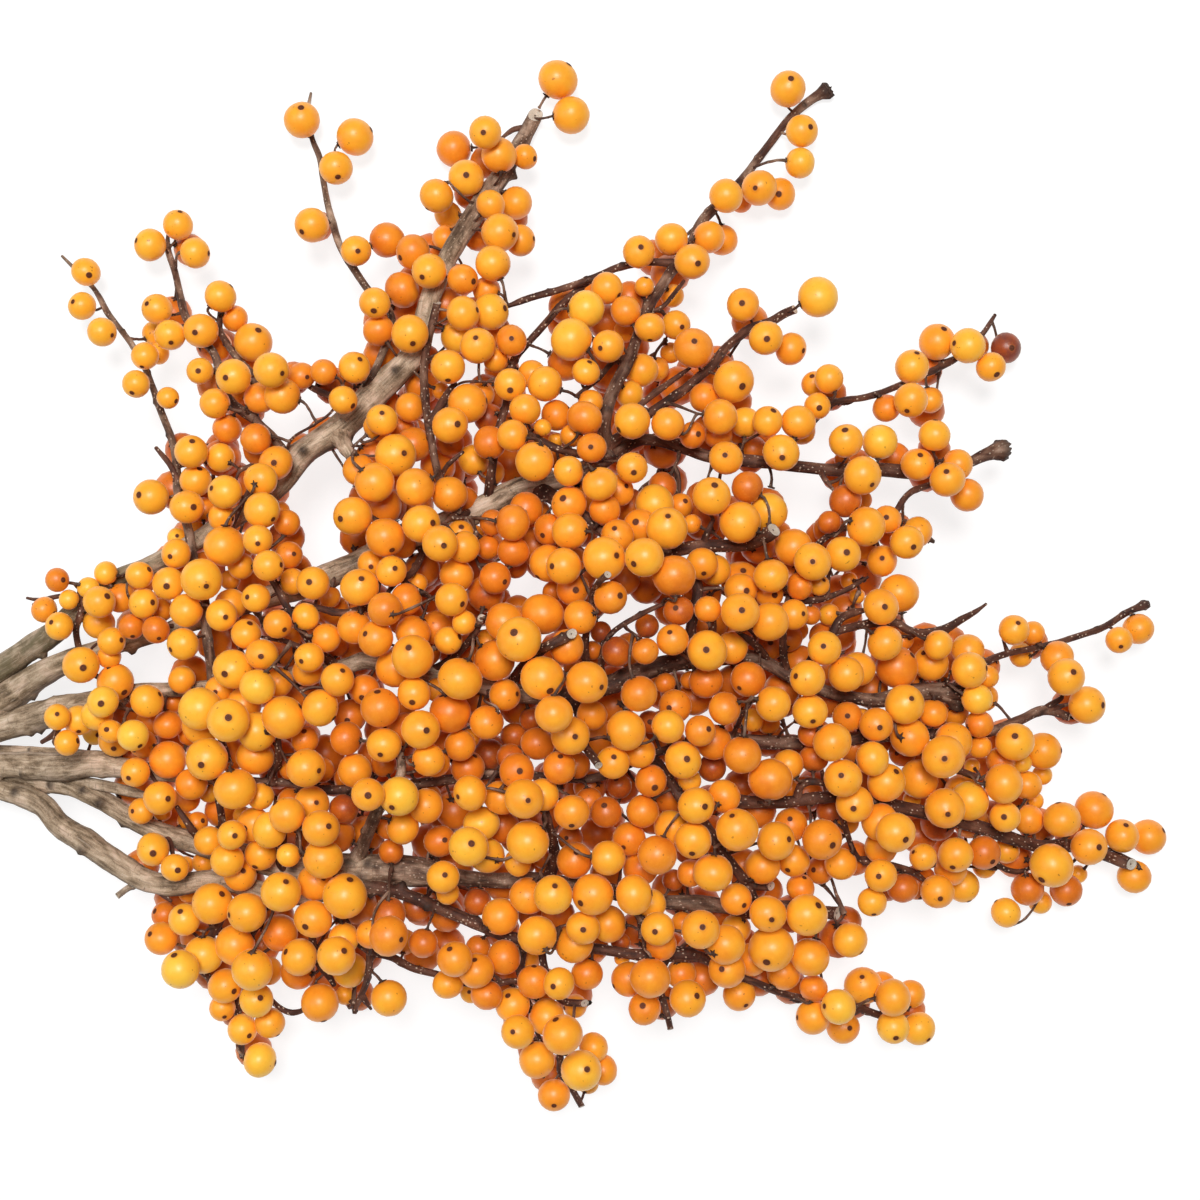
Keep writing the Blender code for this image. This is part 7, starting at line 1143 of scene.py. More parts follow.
def add_shoot(skin, shoot, line, rng, woody, green=0.0, spurs=(), open_start=False):
    """One shoot with bark: swollen nodes, bud scars, wrinkles, and its own kind of end."""
    wide = float(np.median(line[:, 3]))
    step = 0.9 if wide > 2.2 else (0.62 if wide > 1.2 else 0.55)
    sides = 32 if wide > 2.2 else (18 if wide > 1.3 else 12)
    line, s = resampled(line, step)
    n, length = len(line), s[-1]
    end = shoot["end"]
    seed = int(rng.integers(1, 9999))
    r = line[:, 3].copy()
    if shoot["kind"] != "limb":
        r = 0.93 * np.maximum(r, 0.52 * wide)
    # A shoot swells where it leaves its carrier and, slightly, at each bud.
    if not open_start:
        r *= 1.0 + (1.1 if shoot["name"] in ("T3", "A2", "F2") else 0.45) * np.exp(-s / (2.2 * wide))
    pitch = 13.0 + 3.0 * wide
    at = rng.uniform(4.0, pitch)
    buds = []
    while at < length - 3.0:
        buds.append((at, rng.uniform(0, 2 * math.pi)))
        at += pitch * rng.uniform(0.6, 1.5)
    for b, _ in buds:
        r *= 1.0 + 0.07 * np.exp(-(((s - b) / (0.9 * wide + 0.5)) ** 2))
    if end == "knob":
        r *= 1.0 + 0.16 * np.exp(-(((length - s) / 1.6) ** 2))
    elif end == "taper":
        r *= 1.0 - 0.25 * smooth(1.0 - (length - s) / 4.0)
    elif end == "shag":
        r *= 1.0 + 0.25 * np.exp(-(((length - s) / 2.5) ** 2))
    along, side, up = around(line[:, :3])
    turn = np.arange(sides) * 2 * math.pi / sides
    c, q = np.cos(turn), np.sin(turn)
    ring = np.stack(
        [np.tile(c, (n, 1)) * 1.0, np.tile(q, (n, 1)) * 1.0, np.repeat(s[:, None], sides, axis=1)], axis=-1
    )
    bumps = (
        (0.11 if wide > 2.2 else 0.09) * grain(ring * [0.9, 0.9, 0.13] + 31.0, seed)
        + 0.035 * grain(ring * [2.2, 2.2, 0.35] + 11.0, seed + 1)
        + (0.018 if wide > 2.2 else 0.03) * grain(ring * [3.6, 3.6, 1.1] + 7.0, seed + 2)
    )
    ridge = 0.0
    if wide > 2.2:
        ridge = 0.05 * grain(ring * [4.6, 4.6, 0.12] + 5.0, seed + 3)
    scar = np.zeros((n, sides))
    stand = np.zeros((n, sides))
    for b, a in buds:
        gap = np.angle(np.exp(1j * (turn - a)))[None, :] * np.maximum(r[:, None], 0.6)
        d = np.sqrt(((s[:, None] - b) / 1.0) ** 2 + (gap / 1.3) ** 2)
        size_b = min(1.45, 0.45 + 0.26 * wide)
        stand += 0.75 * size_b * np.exp(-((d / (0.75 * size_b)) ** 2)) * (0.6 if wide < 1.2 else 0.8)
        scar = np.maximum(scar, np.clip(1.35 - d / (0.85 * size_b), 0.0, 1.0))
    for b, a, high in spurs:
        gap = np.angle(np.exp(1j * (turn - a)))[None, :] * r[:, None]
        d = np.sqrt((s[:, None] - b) ** 2 + gap**2)
        stand += 1.2 * high * np.exp(-((d / 1.0) ** 2))
        scar = np.maximum(scar, np.clip(1.35 - d / 1.45, 0.0, 1.0))
    if end == "shag":
        rough = np.exp(-((length - s) / 3.0))[:, None]
        stand += rough * 0.5 * np.abs(grain(ring * [2.5, 2.5, 0.9] + 3.0, seed + 5)) * wide
        scar = np.maximum(scar, 0.6 * rough)
    if end == "knob":
        rough = np.exp(-(((length - s) / 1.8) ** 2))[:, None]
        stand += rough * 0.5 * np.abs(grain(ring * [2.0, 2.0, 1.2] + 3.0, seed + 5)) * wide
        scar = np.maximum(scar, 0.6 * rough)
    rr = r[:, None] * (1.0 + bumps + ridge) + stand
    points = line[:, None, :3] + (c[None, :, None] * side[:, None] + q[None, :, None] * up[:, None]) * rr[..., None]
    tip, face_way = line[-1, :3], along[-1]
    if end == "cut":
        # The shears left a slanting face that looks partly upwards.
        lift_way = np.array([0.0, 0.0, 1.0]) - along[-1] * along[-1, 2]
        lift_way = unit(lift_way)
        slant, reach_c = 1.15, float(r[-1])
        high = (points - line[:, None, :3]) @ lift_way
        start = max(0.0, length - 2.6 * slant * reach_c)
        stop = length - slant * (reach_c + np.clip(high, -reach_c, reach_c))
        share = np.clip((s[:, None] - start) / (length - start), 0.0, None)
        moved = np.where(s[:, None] > start, start + share * (stop - start), s[:, None])
        points = points + along[:, None] * (moved - s[:, None])[..., None]
        tip = line[-1, :3] - along[-1] * slant * reach_c
        face_way = unit(along[-1] + slant * lift_way)
    points = points.reshape(-1, 3)
    shade = 0.0 if wide > 2.2 else 0.05
    marks = np.zeros((n * sides, 4))
    wood = np.clip((r - 1.15) / 1.1, 0.0, 1.0) if woody is None else np.full(n, woody)
    if shoot["name"] in WOODY:
        # Old grey wood near the stem turns to younger, darker bark farther out.
        start, stop, most, least = WOODY[shoot["name"]]
        u_here = PLAN_MID + line[:, 0] * PLAN_MM / (EYE_MM - line[:, 2])
        wood = most + (least - most) * smooth((u_here - start) / (stop - start))
    marks[:, 0] = np.repeat(wood, sides)
    marks[:, 1] = np.clip(scar + shade, 0.0, 1.0).ravel()
    marks[:, 3] = green
    if green:
        # The greenish bark is only near the stem.
        u_here = PLAN_MID + line[:, 0] * PLAN_MM / (EYE_MM - line[:, 2])
        marks[:, 3] = np.repeat(green * (1.0 - 0.9 * smooth((u_here - 110.0) / 130.0)), sides)
    offset = 61.0 * rng.random()
    flow = np.stack(
        [np.repeat(s + offset, sides), np.tile(turn, n) * np.repeat(np.maximum(r, 0.7), sides), np.repeat(r, sides)],
        axis=-1,
    )
    # The angle runs out at the last side, so flow holds a point on a circle for the noise instead.
    flow = np.stack(
        [np.repeat(s + offset, sides), np.tile(c, n) * np.repeat(r, sides) + offset, np.tile(q, n) * np.repeat(r, sides)],
        axis=-1,
    )
    faces = [strips(n, sides)]
    k = np.arange(sides)
    extra, extra_marks, extra_flow = [], [], []
    count = n * sides

    def close(centre_ring, centre, way, kind, flip):
        """Closes one end of the tube with a few rings and a middle point."""
        nonlocal count
        rim = points[centre_ring * sides : (centre_ring + 1) * sides]
        mid = centre
        size_e = float(np.linalg.norm(rim - mid, axis=1).mean())
        if kind == "cut":
            plan = [(0.985, 0.05, 0.35), (0.90, 0.02, 1.0), (0.62, -0.03, 1.0), (0.22, -0.04, 0.9), (0.12, -0.10, 0.3)]
        elif kind == "round":
            plan = [(0.92, 0.22, 0.0), (0.72, 0.45, 0.0), (0.40, 0.62, 0.0)]
        elif kind == "ragged":
            plan = [(0.86, 0.30, 0.0), (0.60, 0.35, 0.3), (0.35, 0.05, 0.2)]
        else:
            plan = []
        last = centre_ring * sides
        for share, out, pale in plan:
            here = mid + (rim - mid) * share + way * (out * size_e)
            if kind == "ragged":
                here = here + way * (size_e * 0.55 * np.abs(grain(rim * 1.7 + share, seed + 9)))[:, None]
            mark = np.tile([wood[centre_ring], 0.2 if kind == "cut" else 0.7, pale, green], (sides, 1))
            extra.append(here)
            extra_marks.append(mark)
            extra_flow.append(flow[centre_ring * sides : (centre_ring + 1) * sides] * [1, share, share])
            q4 = np.stack([last + k, last + (k + 1) % sides, count + (k + 1) % sides, count + k], axis=-1)
            faces.append(q4[:, ::-1] if flip else q4)
            last = count
            count += sides
        lift = {"cut": -0.12, "round": 0.68, "ragged": -0.05}.get(kind, 0.0)
        extra.append((mid + way * lift * size_e)[None])
        extra_marks.append(np.array([[wood[centre_ring], 0.4, 0.2 if kind == "cut" else 0.0, green]]))
        extra_flow.append(flow[centre_ring * sides : centre_ring * sides + 1])
        t3 = np.stack([last + k, last + (k + 1) % sides, np.full(sides, count)], axis=-1)
        faces.append(t3[:, ::-1] if flip else t3)
        count += 1

    close(0, line[0, :3], -along[0], "flat", True)
    kind = {"cut": "cut", "shag": "ragged", "knob": "ragged", "taper": "round", "butt": "cut"}[end]
    close(n - 1, tip, face_way, kind, False)
    skin.add(
        np.vstack([points, *extra]), faces, np.vstack([marks, *extra_marks]), np.vstack([flow, *extra_flow])
    )
    if end in ("knob", "taper") and wide < 2.4:
        add_tip(skin, line[-1, :3], along[-1], float(r[-1]), end, rng)


def add_tip(skin, tip, way, radius, end, rng):
    """Dry scales at a twig's tip: the leavings of last year's bud or of fallen fruit."""
    for _ in range(7 if end == "knob" else 3):
        lean = unit(way + 0.9 * unit(rng.normal(size=3)))
        side = unit(np.cross(lean, unit(rng.normal(size=3))))
        up = np.cross(lean, side)
        size_t = radius * rng.uniform(0.45, 0.85)
        root = tip - way * 0.25 * radius + 0.3 * radius * unit(rng.normal(size=3))
        turn = np.arange(6) * math.pi / 3
        a = root + (np.cos(turn)[:, None] * side + 0.6 * np.sin(turn)[:, None] * up) * size_t * 0.55
        b = root + lean * size_t * 0.8 + (np.cos(turn)[:, None] * side + 0.6 * np.sin(turn)[:, None] * up) * size_t * 0.5
        c = root + lean * size_t * (rng.uniform(1.2, 1.7) if end == "knob" else rng.uniform(0.9, 1.2))
        points = np.vstack([a, b, [c], [root]])
        k = np.arange(6)
        faces = [
            strips(2, 6),
            np.stack([6 + k, 6 + (k + 1) % 6, np.full(6, 12)], axis=-1),
            np.stack([(k + 1) % 6, k, np.full(6, 13)], axis=-1),
        ]
        skin.add(points, faces, [0.0, rng.uniform(0.3, 0.9), 0.12 * rng.random(), 0.0], np.tile([5.0, 1.0, 1.0], (14, 1)))


SPURS = """
0 A 66 690 1.5; 0 B 136 668 1.3; 0 B 38 706 0.9; 0 C 53 768 0.8; 0 F 104 802 1.5; 0 F 118 827 0.7; 0 G 87 850 1.2
0 G 21 792 0.7; 0 C 112 712 0.9; 0 G 400 885 1.6; 0 B 21 722 0.9; 0 F 60 784 0.7; 0 A 515 178 1.4; 0 A 95 596 0.9
0 A 150 566 0.8; 0 A 305 452 0.9; 0 A 395 374 1.0; 0 B 230 612 0.8; 0 B 455 517 0.9; 0 F 300 866 0.8; 0 C 560 694 0.9
0 F 350 861 1.3; 0 F 364 874 1.0; 0 F 371 862 0.9; 0 A 347 440 0.9; 0 A 290 470 0.8; 0 G 372 897 1.1; 0 G 425 905 1.0
"""


def spurs_of(name, line, rng):
    """The small pointed buds that the plan shows on a limb, as (distance along, angle, height)."""
    d = np.linalg.norm(np.diff(line[:, :3], axis=0), axis=1)
    s = np.concatenate([[0], np.cumsum(d)])
    along, side, up = around(line[:, :3])
    found = []
    for entry in SPURS.replace("\n", ";").split(";"):
        part = entry.split()
        if not part or part[1] != name:
            continue
        u, v, high = map(float, part[2:])
        q = (EYE_MM - line[:, 2]) / PLAN_MM
        target = np.stack([(u - PLAN_MID) * q, -(v - PLAN_MID) * q], axis=-1)
        gap = target - line[:, :2]
        k = int(np.argmin(np.linalg.norm(gap, axis=1)))
        flat = np.array([gap[k, 0], gap[k, 1], 0.0])
        share = min(1.0, float(np.linalg.norm(flat)) / (line[k, 3] + 1e-6))
        way = unit(flat) * share + np.array([0.0, 0.0, math.sqrt(max(0.0, 1 - share * share))])
        found.append((float(s[k]), math.atan2(float(way @ up[k]), float(way @ side[k])), high))
    return found


def stem_piece(shoots, mat, rng):
    """The cut stem and its forks, grown together under one bark."""
    lines = [shoots["stem"]["line"]]
    for name in "ABCDFG":
        line, plan = shoots[name]["line"], shoots[name]["plan"]
        lines.append(line[plan[:, 0] < 6.0])
    shape = bmesh.new()
    for i, line in enumerate(lines):
        line, _ = resampled(line, 1.5)
        along, side, up = around(line[:, :3])
        turn = np.arange(20) * 2 * math.pi / 20
        points = line[:, None, :3] + (np.cos(turn)[None, :, None] * side[:, None] + np.sin(turn)[None, :, None] * up[:, None]) * line[:, None, 3:]
        points = points.reshape(-1, 3)
        verts = [shape.verts.new(x) for x in points]
        for f in strips(len(line), 20):
            shape.faces.new([verts[j] for j in f])
        shape.faces.new([verts[j] for j in range(19, -1, -1)])
        shape.faces.new([verts[len(points) - 20 + j] for j in range(20)])
    mesh = bpy.data.meshes.new("stem_rough")
    shape.to_mesh(mesh)
    shape.free()
    obj = bpy.data.objects.new("stem_rough", mesh)
    bpy.context.scene.collection.objects.link(obj)
    skin = obj.modifiers.new("skin", "REMESH")
    skin.mode = "VOXEL"
    skin.voxel_size = 0.62
    even = obj.modifiers.new("even", "SMOOTH")
    even.factor = 0.5
    even.iterations = 5
    bpy.context.view_layer.update()
    graph = bpy.context.evaluated_depsgraph_get()
    done = bpy.data.meshes.new_from_object(obj.evaluated_get(graph), depsgraph=graph)
    bpy.data.objects.remove(obj, do_unlink=True)
    bpy.data.meshes.remove(mesh)
    n = len(done.vertices)
    p = np.empty(n * 3, np.float32)
    done.vertices.foreach_get("co", p)
    p = p.reshape(-1, 3).astype(float)
    normal = np.empty(n * 3, np.float32)
    done.vertices.foreach_get("normal", normal)
    normal = normal.reshape(-1, 3).astype(float)
    quads = np.empty(len(done.polygons) * 4, np.int32)
    done.polygons.foreach_get("vertices", quads)
    quads = quads.reshape(-1, 4)
    bpy.data.meshes.remove(done)
    # Each point's distance along and place round its nearest limb.
    far = np.full(n, 1e9)
    s = np.zeros(n)
    across = np.zeros((n, 3))
    for i, line in enumerate(lines):
        line, run = resampled(line, 1.5)
        for k in range(len(line)):
            d = np.linalg.norm(p - line[k, :3], axis=1) - line[k, 3]
            near = d < far
            far[near] = d[near]
            s[near] = line[k, 0]
            across[near] = p[near] - line[k, :3]
    butt = shoots["stem"]["line"][0]
    way = unit(shoots["stem"]["line"][0, :3] - shoots["stem"]["line"][2, :3])
    cap = (p - butt[:3]) @ way
    face = smooth((cap + 0.75) / 0.5) * (normal @ way > 0.35)
    skinny = 1.0 - face
    ring = np.stack([across[:, 1] * 0.22, across[:, 2] * 0.22, s * 0.05], axis=-1)
    bump = (
        0.42 * grain(ring * 1.0 + 9.0, 71)
        + 0.20 * grain(ring * [4.5, 4.5, 2.4] + 5.0, 72)
        + 0.09 * grain(ring * [9.0, 9.0, 12.0] + 2.0, 73)
    )
    scar = np.zeros(n)
    for b, a in ((-232.0, 0.4), (-214.0, 2.4), (-196.0, 5.1), (-180.0, 1.3), (-168.0, 3.9)):
        turn = np.arctan2(across[:, 2], across[:, 1])
        gap = np.angle(np.exp(1j * (turn - a))) * np.linalg.norm(across, axis=1)
        d = np.sqrt((s - b) ** 2 + gap**2)
        bump += 1.1 * np.exp(-((d / 1.9) ** 2)) - 0.5 * np.exp(-((d / 0.8) ** 2))
        scar = np.maximum(scar, np.clip(1.3 - d / 1.7, 0.0, 1.0))
    rings = 0.05 * np.sin(np.linalg.norm(p - butt[:3], axis=1) * 5.2)
    moved = p + normal * (bump * skinny + rings * face)[:, None]
    moved[:, 2] = np.maximum(moved[:, 2], 0.0)
    marks = np.stack([np.ones(n), np.clip(scar, 0, 1), face, np.full(n, 0.12)], axis=-1)
    flow = np.stack([s, across[:, 1], across[:, 2]], axis=-1)
    out = Skin()
    out.add(moved, [quads], marks, flow)
    return out.finish("main_stem_bark", mat, "grey_bark")


# ---------------------------------------------------------------- materials


def linear(code):
    """A hex colour as linear red, green, blue, alpha."""
    out = []
    for k in (0, 2, 4):
        c = int(code[k : k + 2], 16) / 255.0
        out.append(c / 12.92 if c <= 0.04045 else ((c + 0.055) / 1.055) ** 2.4)
    return (*out, 1.0)


class Paint:
    """Short ways to add shader nodes."""

    def __init__(self, name):
        self.mat = bpy.data.materials.new(name)
        self.mat.use_nodes = True
        self.tree = self.mat.node_tree
        self.skin = self.tree.nodes["Principled BSDF"]

    def node(self, kind, **settings):
        made = self.tree.nodes.new(kind)
        for key, value in settings.items():
            setattr(made, key, value)
        return made

    def wire(self, a, b):
        self.tree.links.new(a, b)

    def maths(self, op, a, b=None, c=None):
        made = self.node("ShaderNodeMath", operation=op)
        for k, x in enumerate((a, b, c)):
            if x is None:
                continue
            if isinstance(x, (int, float)):
                made.inputs[k].default_value = x
            else:
                self.wire(x, made.inputs[k])
        return made.outputs[0]

    def noise(self, vector, scale, detail=3.0, rough=0.55, warp=0.0):
        made = self.node("ShaderNodeTexNoise")
        made.inputs["Scale"].default_value = scale
        made.inputs["Detail"].default_value = detail
        made.inputs["Roughness"].default_value = rough
        made.inputs["Distortion"].default_value = warp
        self.wire(vector, made.inputs["Vector"])
        return made.outputs["Fac"]

    def scaled(self, vector, xyz):
        made = self.node("ShaderNodeVectorMath", operation="MULTIPLY")
        self.wire(vector, made.inputs[0])
        made.inputs[1].default_value = xyz
        return made.outputs[0]

    def ramp(self, fac, stops, mode="LINEAR"):
        made = self.node("ShaderNodeValToRGB")
        made.color_ramp.interpolation = mode
        while len(made.color_ramp.elements) < len(stops):
            made.color_ramp.elements.new(0.5)
        for element, (at, colour) in zip(made.color_ramp.elements, stops):
            element.position = at
            element.color = colour
        self.wire(fac, made.inputs["Fac"])
        return made.outputs["Color"]

    def band(self, value, low, high):
        made = self.node("ShaderNodeMapRange")
        made.interpolation_type = "SMOOTHSTEP"
        made.inputs["From Min"].default_value = low
        made.inputs["From Max"].default_value = high
        self.wire(value, made.inputs["Value"])
        return made.outputs["Result"]

    def mix(self, fac, a, b, blend="MIX"):
        made = self.node("ShaderNodeMix", data_type="RGBA", blend_type=blend)
        for socket, x in ((made.inputs[0], fac), (made.inputs[6], a), (made.inputs[7], b)):
            if isinstance(x, (int, float, tuple)):
                socket.default_value = x
            else:
                self.wire(x, socket)
        return made.outputs[2]

    def bump(self, height, strength, distance, below=None):
        made = self.node("ShaderNodeBump")
        made.inputs["Strength"].default_value = strength
        made.inputs["Distance"].default_value = distance
        self.wire(height, made.inputs["Height"])
        if below is not None:
            self.wire(below, made.inputs["Normal"])
        return made.outputs["Normal"]


def berry_paint():
    """Satin golden skin: riper and paler patches, faint pores, a dry brown eye, with painted shade and painted light
    carried in each berry's tone.
    """
    w = Paint("berry_skin")
    marks = w.node("ShaderNodeAttribute", attribute_name="marks")
    flow = w.node("ShaderNodeAttribute", attribute_name="flow").outputs["Vector"]
    split = w.node("ShaderNodeSeparateColor")
    w.wire(marks.outputs["Color"], split.inputs["Color"])
    shaded_tone, eye, chance = split.outputs
    pole = marks.outputs["Alpha"]
    patches = w.noise(flow, 0.28, 3.0)
    speck = w.noise(flow, 2.1, 3.0, 0.6)
    # Ripeness goes from pale gold to ruddy orange, and each berry blushes unevenly. The same tone also holds painted
    # shade for berries deep in the sprig and painted light for those on the left.
    shaded_ripeness = w.maths("MULTIPLY_ADD", w.maths("SUBTRACT", patches, 0.5), 0.42, shaded_tone)
    shaded_ripeness = w.maths("MULTIPLY_ADD", w.maths("SUBTRACT", chance, 0.5), 0.12, shaded_ripeness)
    shaded_ripeness = w.maths("MULTIPLY_ADD", w.band(pole, 0.45, 1.0), 0.16, shaded_ripeness)
    shaded_ripeness = w.maths("MULTIPLY", shaded_ripeness, 0.8)
    colour = w.ramp(
        shaded_ripeness,
        [
            (0.0, linear("FFC640")),
            (0.21, linear("FEB22F")),
            (0.40, linear("F99B25")),
            (0.59, linear("E67D1B")),
            (0.79, linear("C66117")),
            (0.88, linear("A84A18")),
            (1.0, linear("7E3E30")),
        ],
    )
    colour = w.mix(w.maths("MULTIPLY", w.band(speck, 0.56, 0.75), 0.16), colour, linear("E8811C"))
    colour = w.mix(w.maths("MULTIPLY", w.band(speck, 0.46, 0.22), 0.14), colour, linear("FFD066"))
    # Round the eye the skin darkens a little, and the eye itself is dry and brown.
    halo = w.maths("MULTIPLY", w.band(pole, 0.105, 0.045), 0.45)
    colour = w.mix(halo, colour, linear("C96F1E"))
    dry = w.ramp(w.noise(flow, 6.0, 2.0), [(0.3, linear("351302")), (0.55, linear("5A2604")), (0.75, linear("8E4A0E"))])
    colour = w.mix(w.band(eye, 0.25, 0.75), colour, dry)
    spot = w.maths("MULTIPLY", w.band(w.noise(flow, 0.95, 1.0), 0.735, 0.77), 0.55)
    colour = w.mix(spot, colour, linear("8E4A1C"))
    w.wire(colour, w.skin.inputs["Base Color"])
    rough = w.maths("MULTIPLY_ADD", speck, 0.16, 0.30)
    rough = w.maths("MULTIPLY_ADD", eye, 0.35, rough)
    w.wire(rough, w.skin.inputs["Roughness"])
    w.skin.inputs["Specular IOR Level"].default_value = 0.48
    w.skin.inputs["Sheen Weight"].default_value = 0.28
    w.skin.inputs["Sheen Roughness"].default_value = 0.25
    w.skin.inputs["Sheen Tint"].default_value = (1.0, 0.80, 0.48, 1.0)
    pores = w.maths("MULTIPLY_ADD", w.noise(flow, 9.0, 2.0), 0.5, w.maths("MULTIPLY", patches, 0.8))
    w.wire(w.bump(pores, 0.22, 0.00012), w.skin.inputs["Normal"])
    return w.mat


def bark_paint(name):
    """Bark that runs from grey-tan limbs to purple-brown twigs, with lenticels, scars, pale cuts and a painted shade on
    the lower side.
    """
    w = Paint(name)
    marks = w.node("ShaderNodeAttribute", attribute_name="marks")
    flow = w.node("ShaderNodeAttribute", attribute_name="flow").outputs["Vector"]
    split = w.node("ShaderNodeSeparateColor")
    w.wire(marks.outputs["Color"], split.inputs["Color"])
    woody, scar, pale = split.outputs
    green = marks.outputs["Alpha"]
    # flow.x runs along the shoot and y, z across it, in millimetres.
    fibre = w.noise(w.scaled(flow, (0.16, 0.85, 0.85)), 1.0, 5.0, 0.62, 0.45)
    wrinkle = w.noise(w.scaled(flow, (1.5, 0.35, 0.35)), 1.0, 4.0, 0.6, 0.5)
    blotch = w.noise(w.scaled(flow, (0.13, 0.24, 0.24)), 1.0, 3.0, 0.55, 0.5)
    fine = w.noise(flow, 4.2, 3.0, 0.6)
    mixed = w.maths("MULTIPLY_ADD", fibre, 0.40, w.maths("MULTIPLY", blotch, 0.42))
    mixed = w.maths("MULTIPLY_ADD", fine, 0.18, mixed)
    limb = w.ramp(
        mixed,
        [
            (0.36, linear("43342A")),
            (0.43, linear("7C6750")),
            (0.50, linear("AC947A")),
            (0.58, linear("D3BCA2")),
            (0.68, linear("EBDCC8")),
        ],
    )
    rosy = w.maths("MULTIPLY", w.band(blotch, 0.52, 0.70), 0.35)
    limb = w.mix(rosy, limb, linear("CDA994"))
    patch = w.maths("MULTIPLY_ADD", w.band(w.noise(w.scaled(flow, (0.16, 0.3, 0.3)), 1.0, 2.0), 0.34, 0.62), 0.55, 0.30)
    limb = w.mix(w.maths("MULTIPLY", green, patch), limb, linear("5E563A"))
    streak = w.noise(w.scaled(flow, (0.09, 2.1, 2.1)), 1.0, 3.0, 0.6, 0.3)
    limb = w.mix(w.maths("MULTIPLY", w.band(streak, 0.46, 0.35), 0.38), limb, linear("4E3D2E"))
    limb = w.mix(w.maths("MULTIPLY", w.band(streak, 0.57, 0.68), 0.26), limb, linear("DCCAB4"))
    dark_lines = w.maths("MULTIPLY", w.band(wrinkle, 0.41, 0.29), 0.55)
    limb = w.mix(dark_lines, limb, linear("544536"))
    # Painted shade: the side that faces down and towards the bottom of the view is darker, as it lies away from the key
    # light.
    shade_side = w.node("ShaderNodeVectorMath", operation="DOT_PRODUCT")
    w.wire(w.node("ShaderNodeNewGeometry").outputs["Normal"], shade_side.inputs[0])
    shade_side.inputs[1].default_value = (0.0, -0.75, -0.66)
    under = w.maths("MULTIPLY", w.band(shade_side.outputs["Value"], -0.15, 0.62), 0.62)
    limb = w.mix(under, limb, linear("463729"))
    twig = w.ramp(
        mixed,
        [
            (0.36, linear("24120C")),
            (0.45, linear("44251A")),
            (0.54, linear("653F2E")),
            (0.67, linear("8E6751")),
        ],
    )
    colour = w.mix(w.band(w.maths("MULTIPLY_ADD", w.maths("SUBTRACT", blotch, 0.5), 0.5, woody), 0.25, 0.75), twig, limb)
    # Lenticels: small pale dots, longer along the shoot.
    dots = w.node("ShaderNodeTexVoronoi", feature="F1")
    dots.inputs["Scale"].default_value = 1.0
    w.wire(w.scaled(flow, (0.95, 1.45, 1.45)), dots.inputs["Vector"])
    picked = w.node("ShaderNodeSeparateColor")
    w.wire(dots.outputs["Color"], picked.inputs["Color"])
    there = w.band(picked.outputs[0], 0.52, 0.56)
    dot = w.maths("MULTIPLY", w.band(dots.outputs["Distance"], 0.31, 0.20), there)
    on_twig = w.mix(woody, (0.90, 0.90, 0.90, 1.0), (0.20, 0.20, 0.20, 1.0))
    colour = w.mix(w.maths("MULTIPLY", dot, on_twig), colour, linear("D2BBA4"))
    colour = w.mix(w.maths("MULTIPLY", scar, 0.88), colour, linear("2E2019"))
    pith = w.ramp(
        w.noise(w.scaled(flow, (0.1, 2.4, 2.4)), 1.0, 3.0),
        [(0.3, linear("B49E86")), (0.5, linear("D9CCBA")), (0.7, linear("EFE7DA"))],
    )
    colour = w.mix(w.band(pale, 0.2, 0.7), colour, pith)
    w.wire(colour, w.skin.inputs["Base Color"])
    rough = w.maths("MULTIPLY_ADD", fine, 0.25, 0.55)
    w.wire(rough, w.skin.inputs["Roughness"])
    w.skin.inputs["Specular IOR Level"].default_value = 0.35
    height = w.maths("MULTIPLY_ADD", fibre, 0.7, w.maths("MULTIPLY", wrinkle, 0.5))
    height = w.maths("MULTIPLY_ADD", dot, 0.25, height)
    height = w.maths("MULTIPLY_ADD", fine, 0.2, height)
    w.wire(w.bump(height, 0.55, 0.0006), w.skin.inputs["Normal"])
    return w.mat


# ---------------------------------------------------------------- the sprig


RAISED = {
    # twig ends that bend up over the berries beside them: where it starts and how quickly
    # (plan units back from the tip), and how far up in mm
    "T26": (56, 26, 12.6), "T27": (34, 24, 14.5), "T65": (46, 32, 12.0), "T30": (40, 30, 12.5), "T51": (34, 26, 10.5),
}


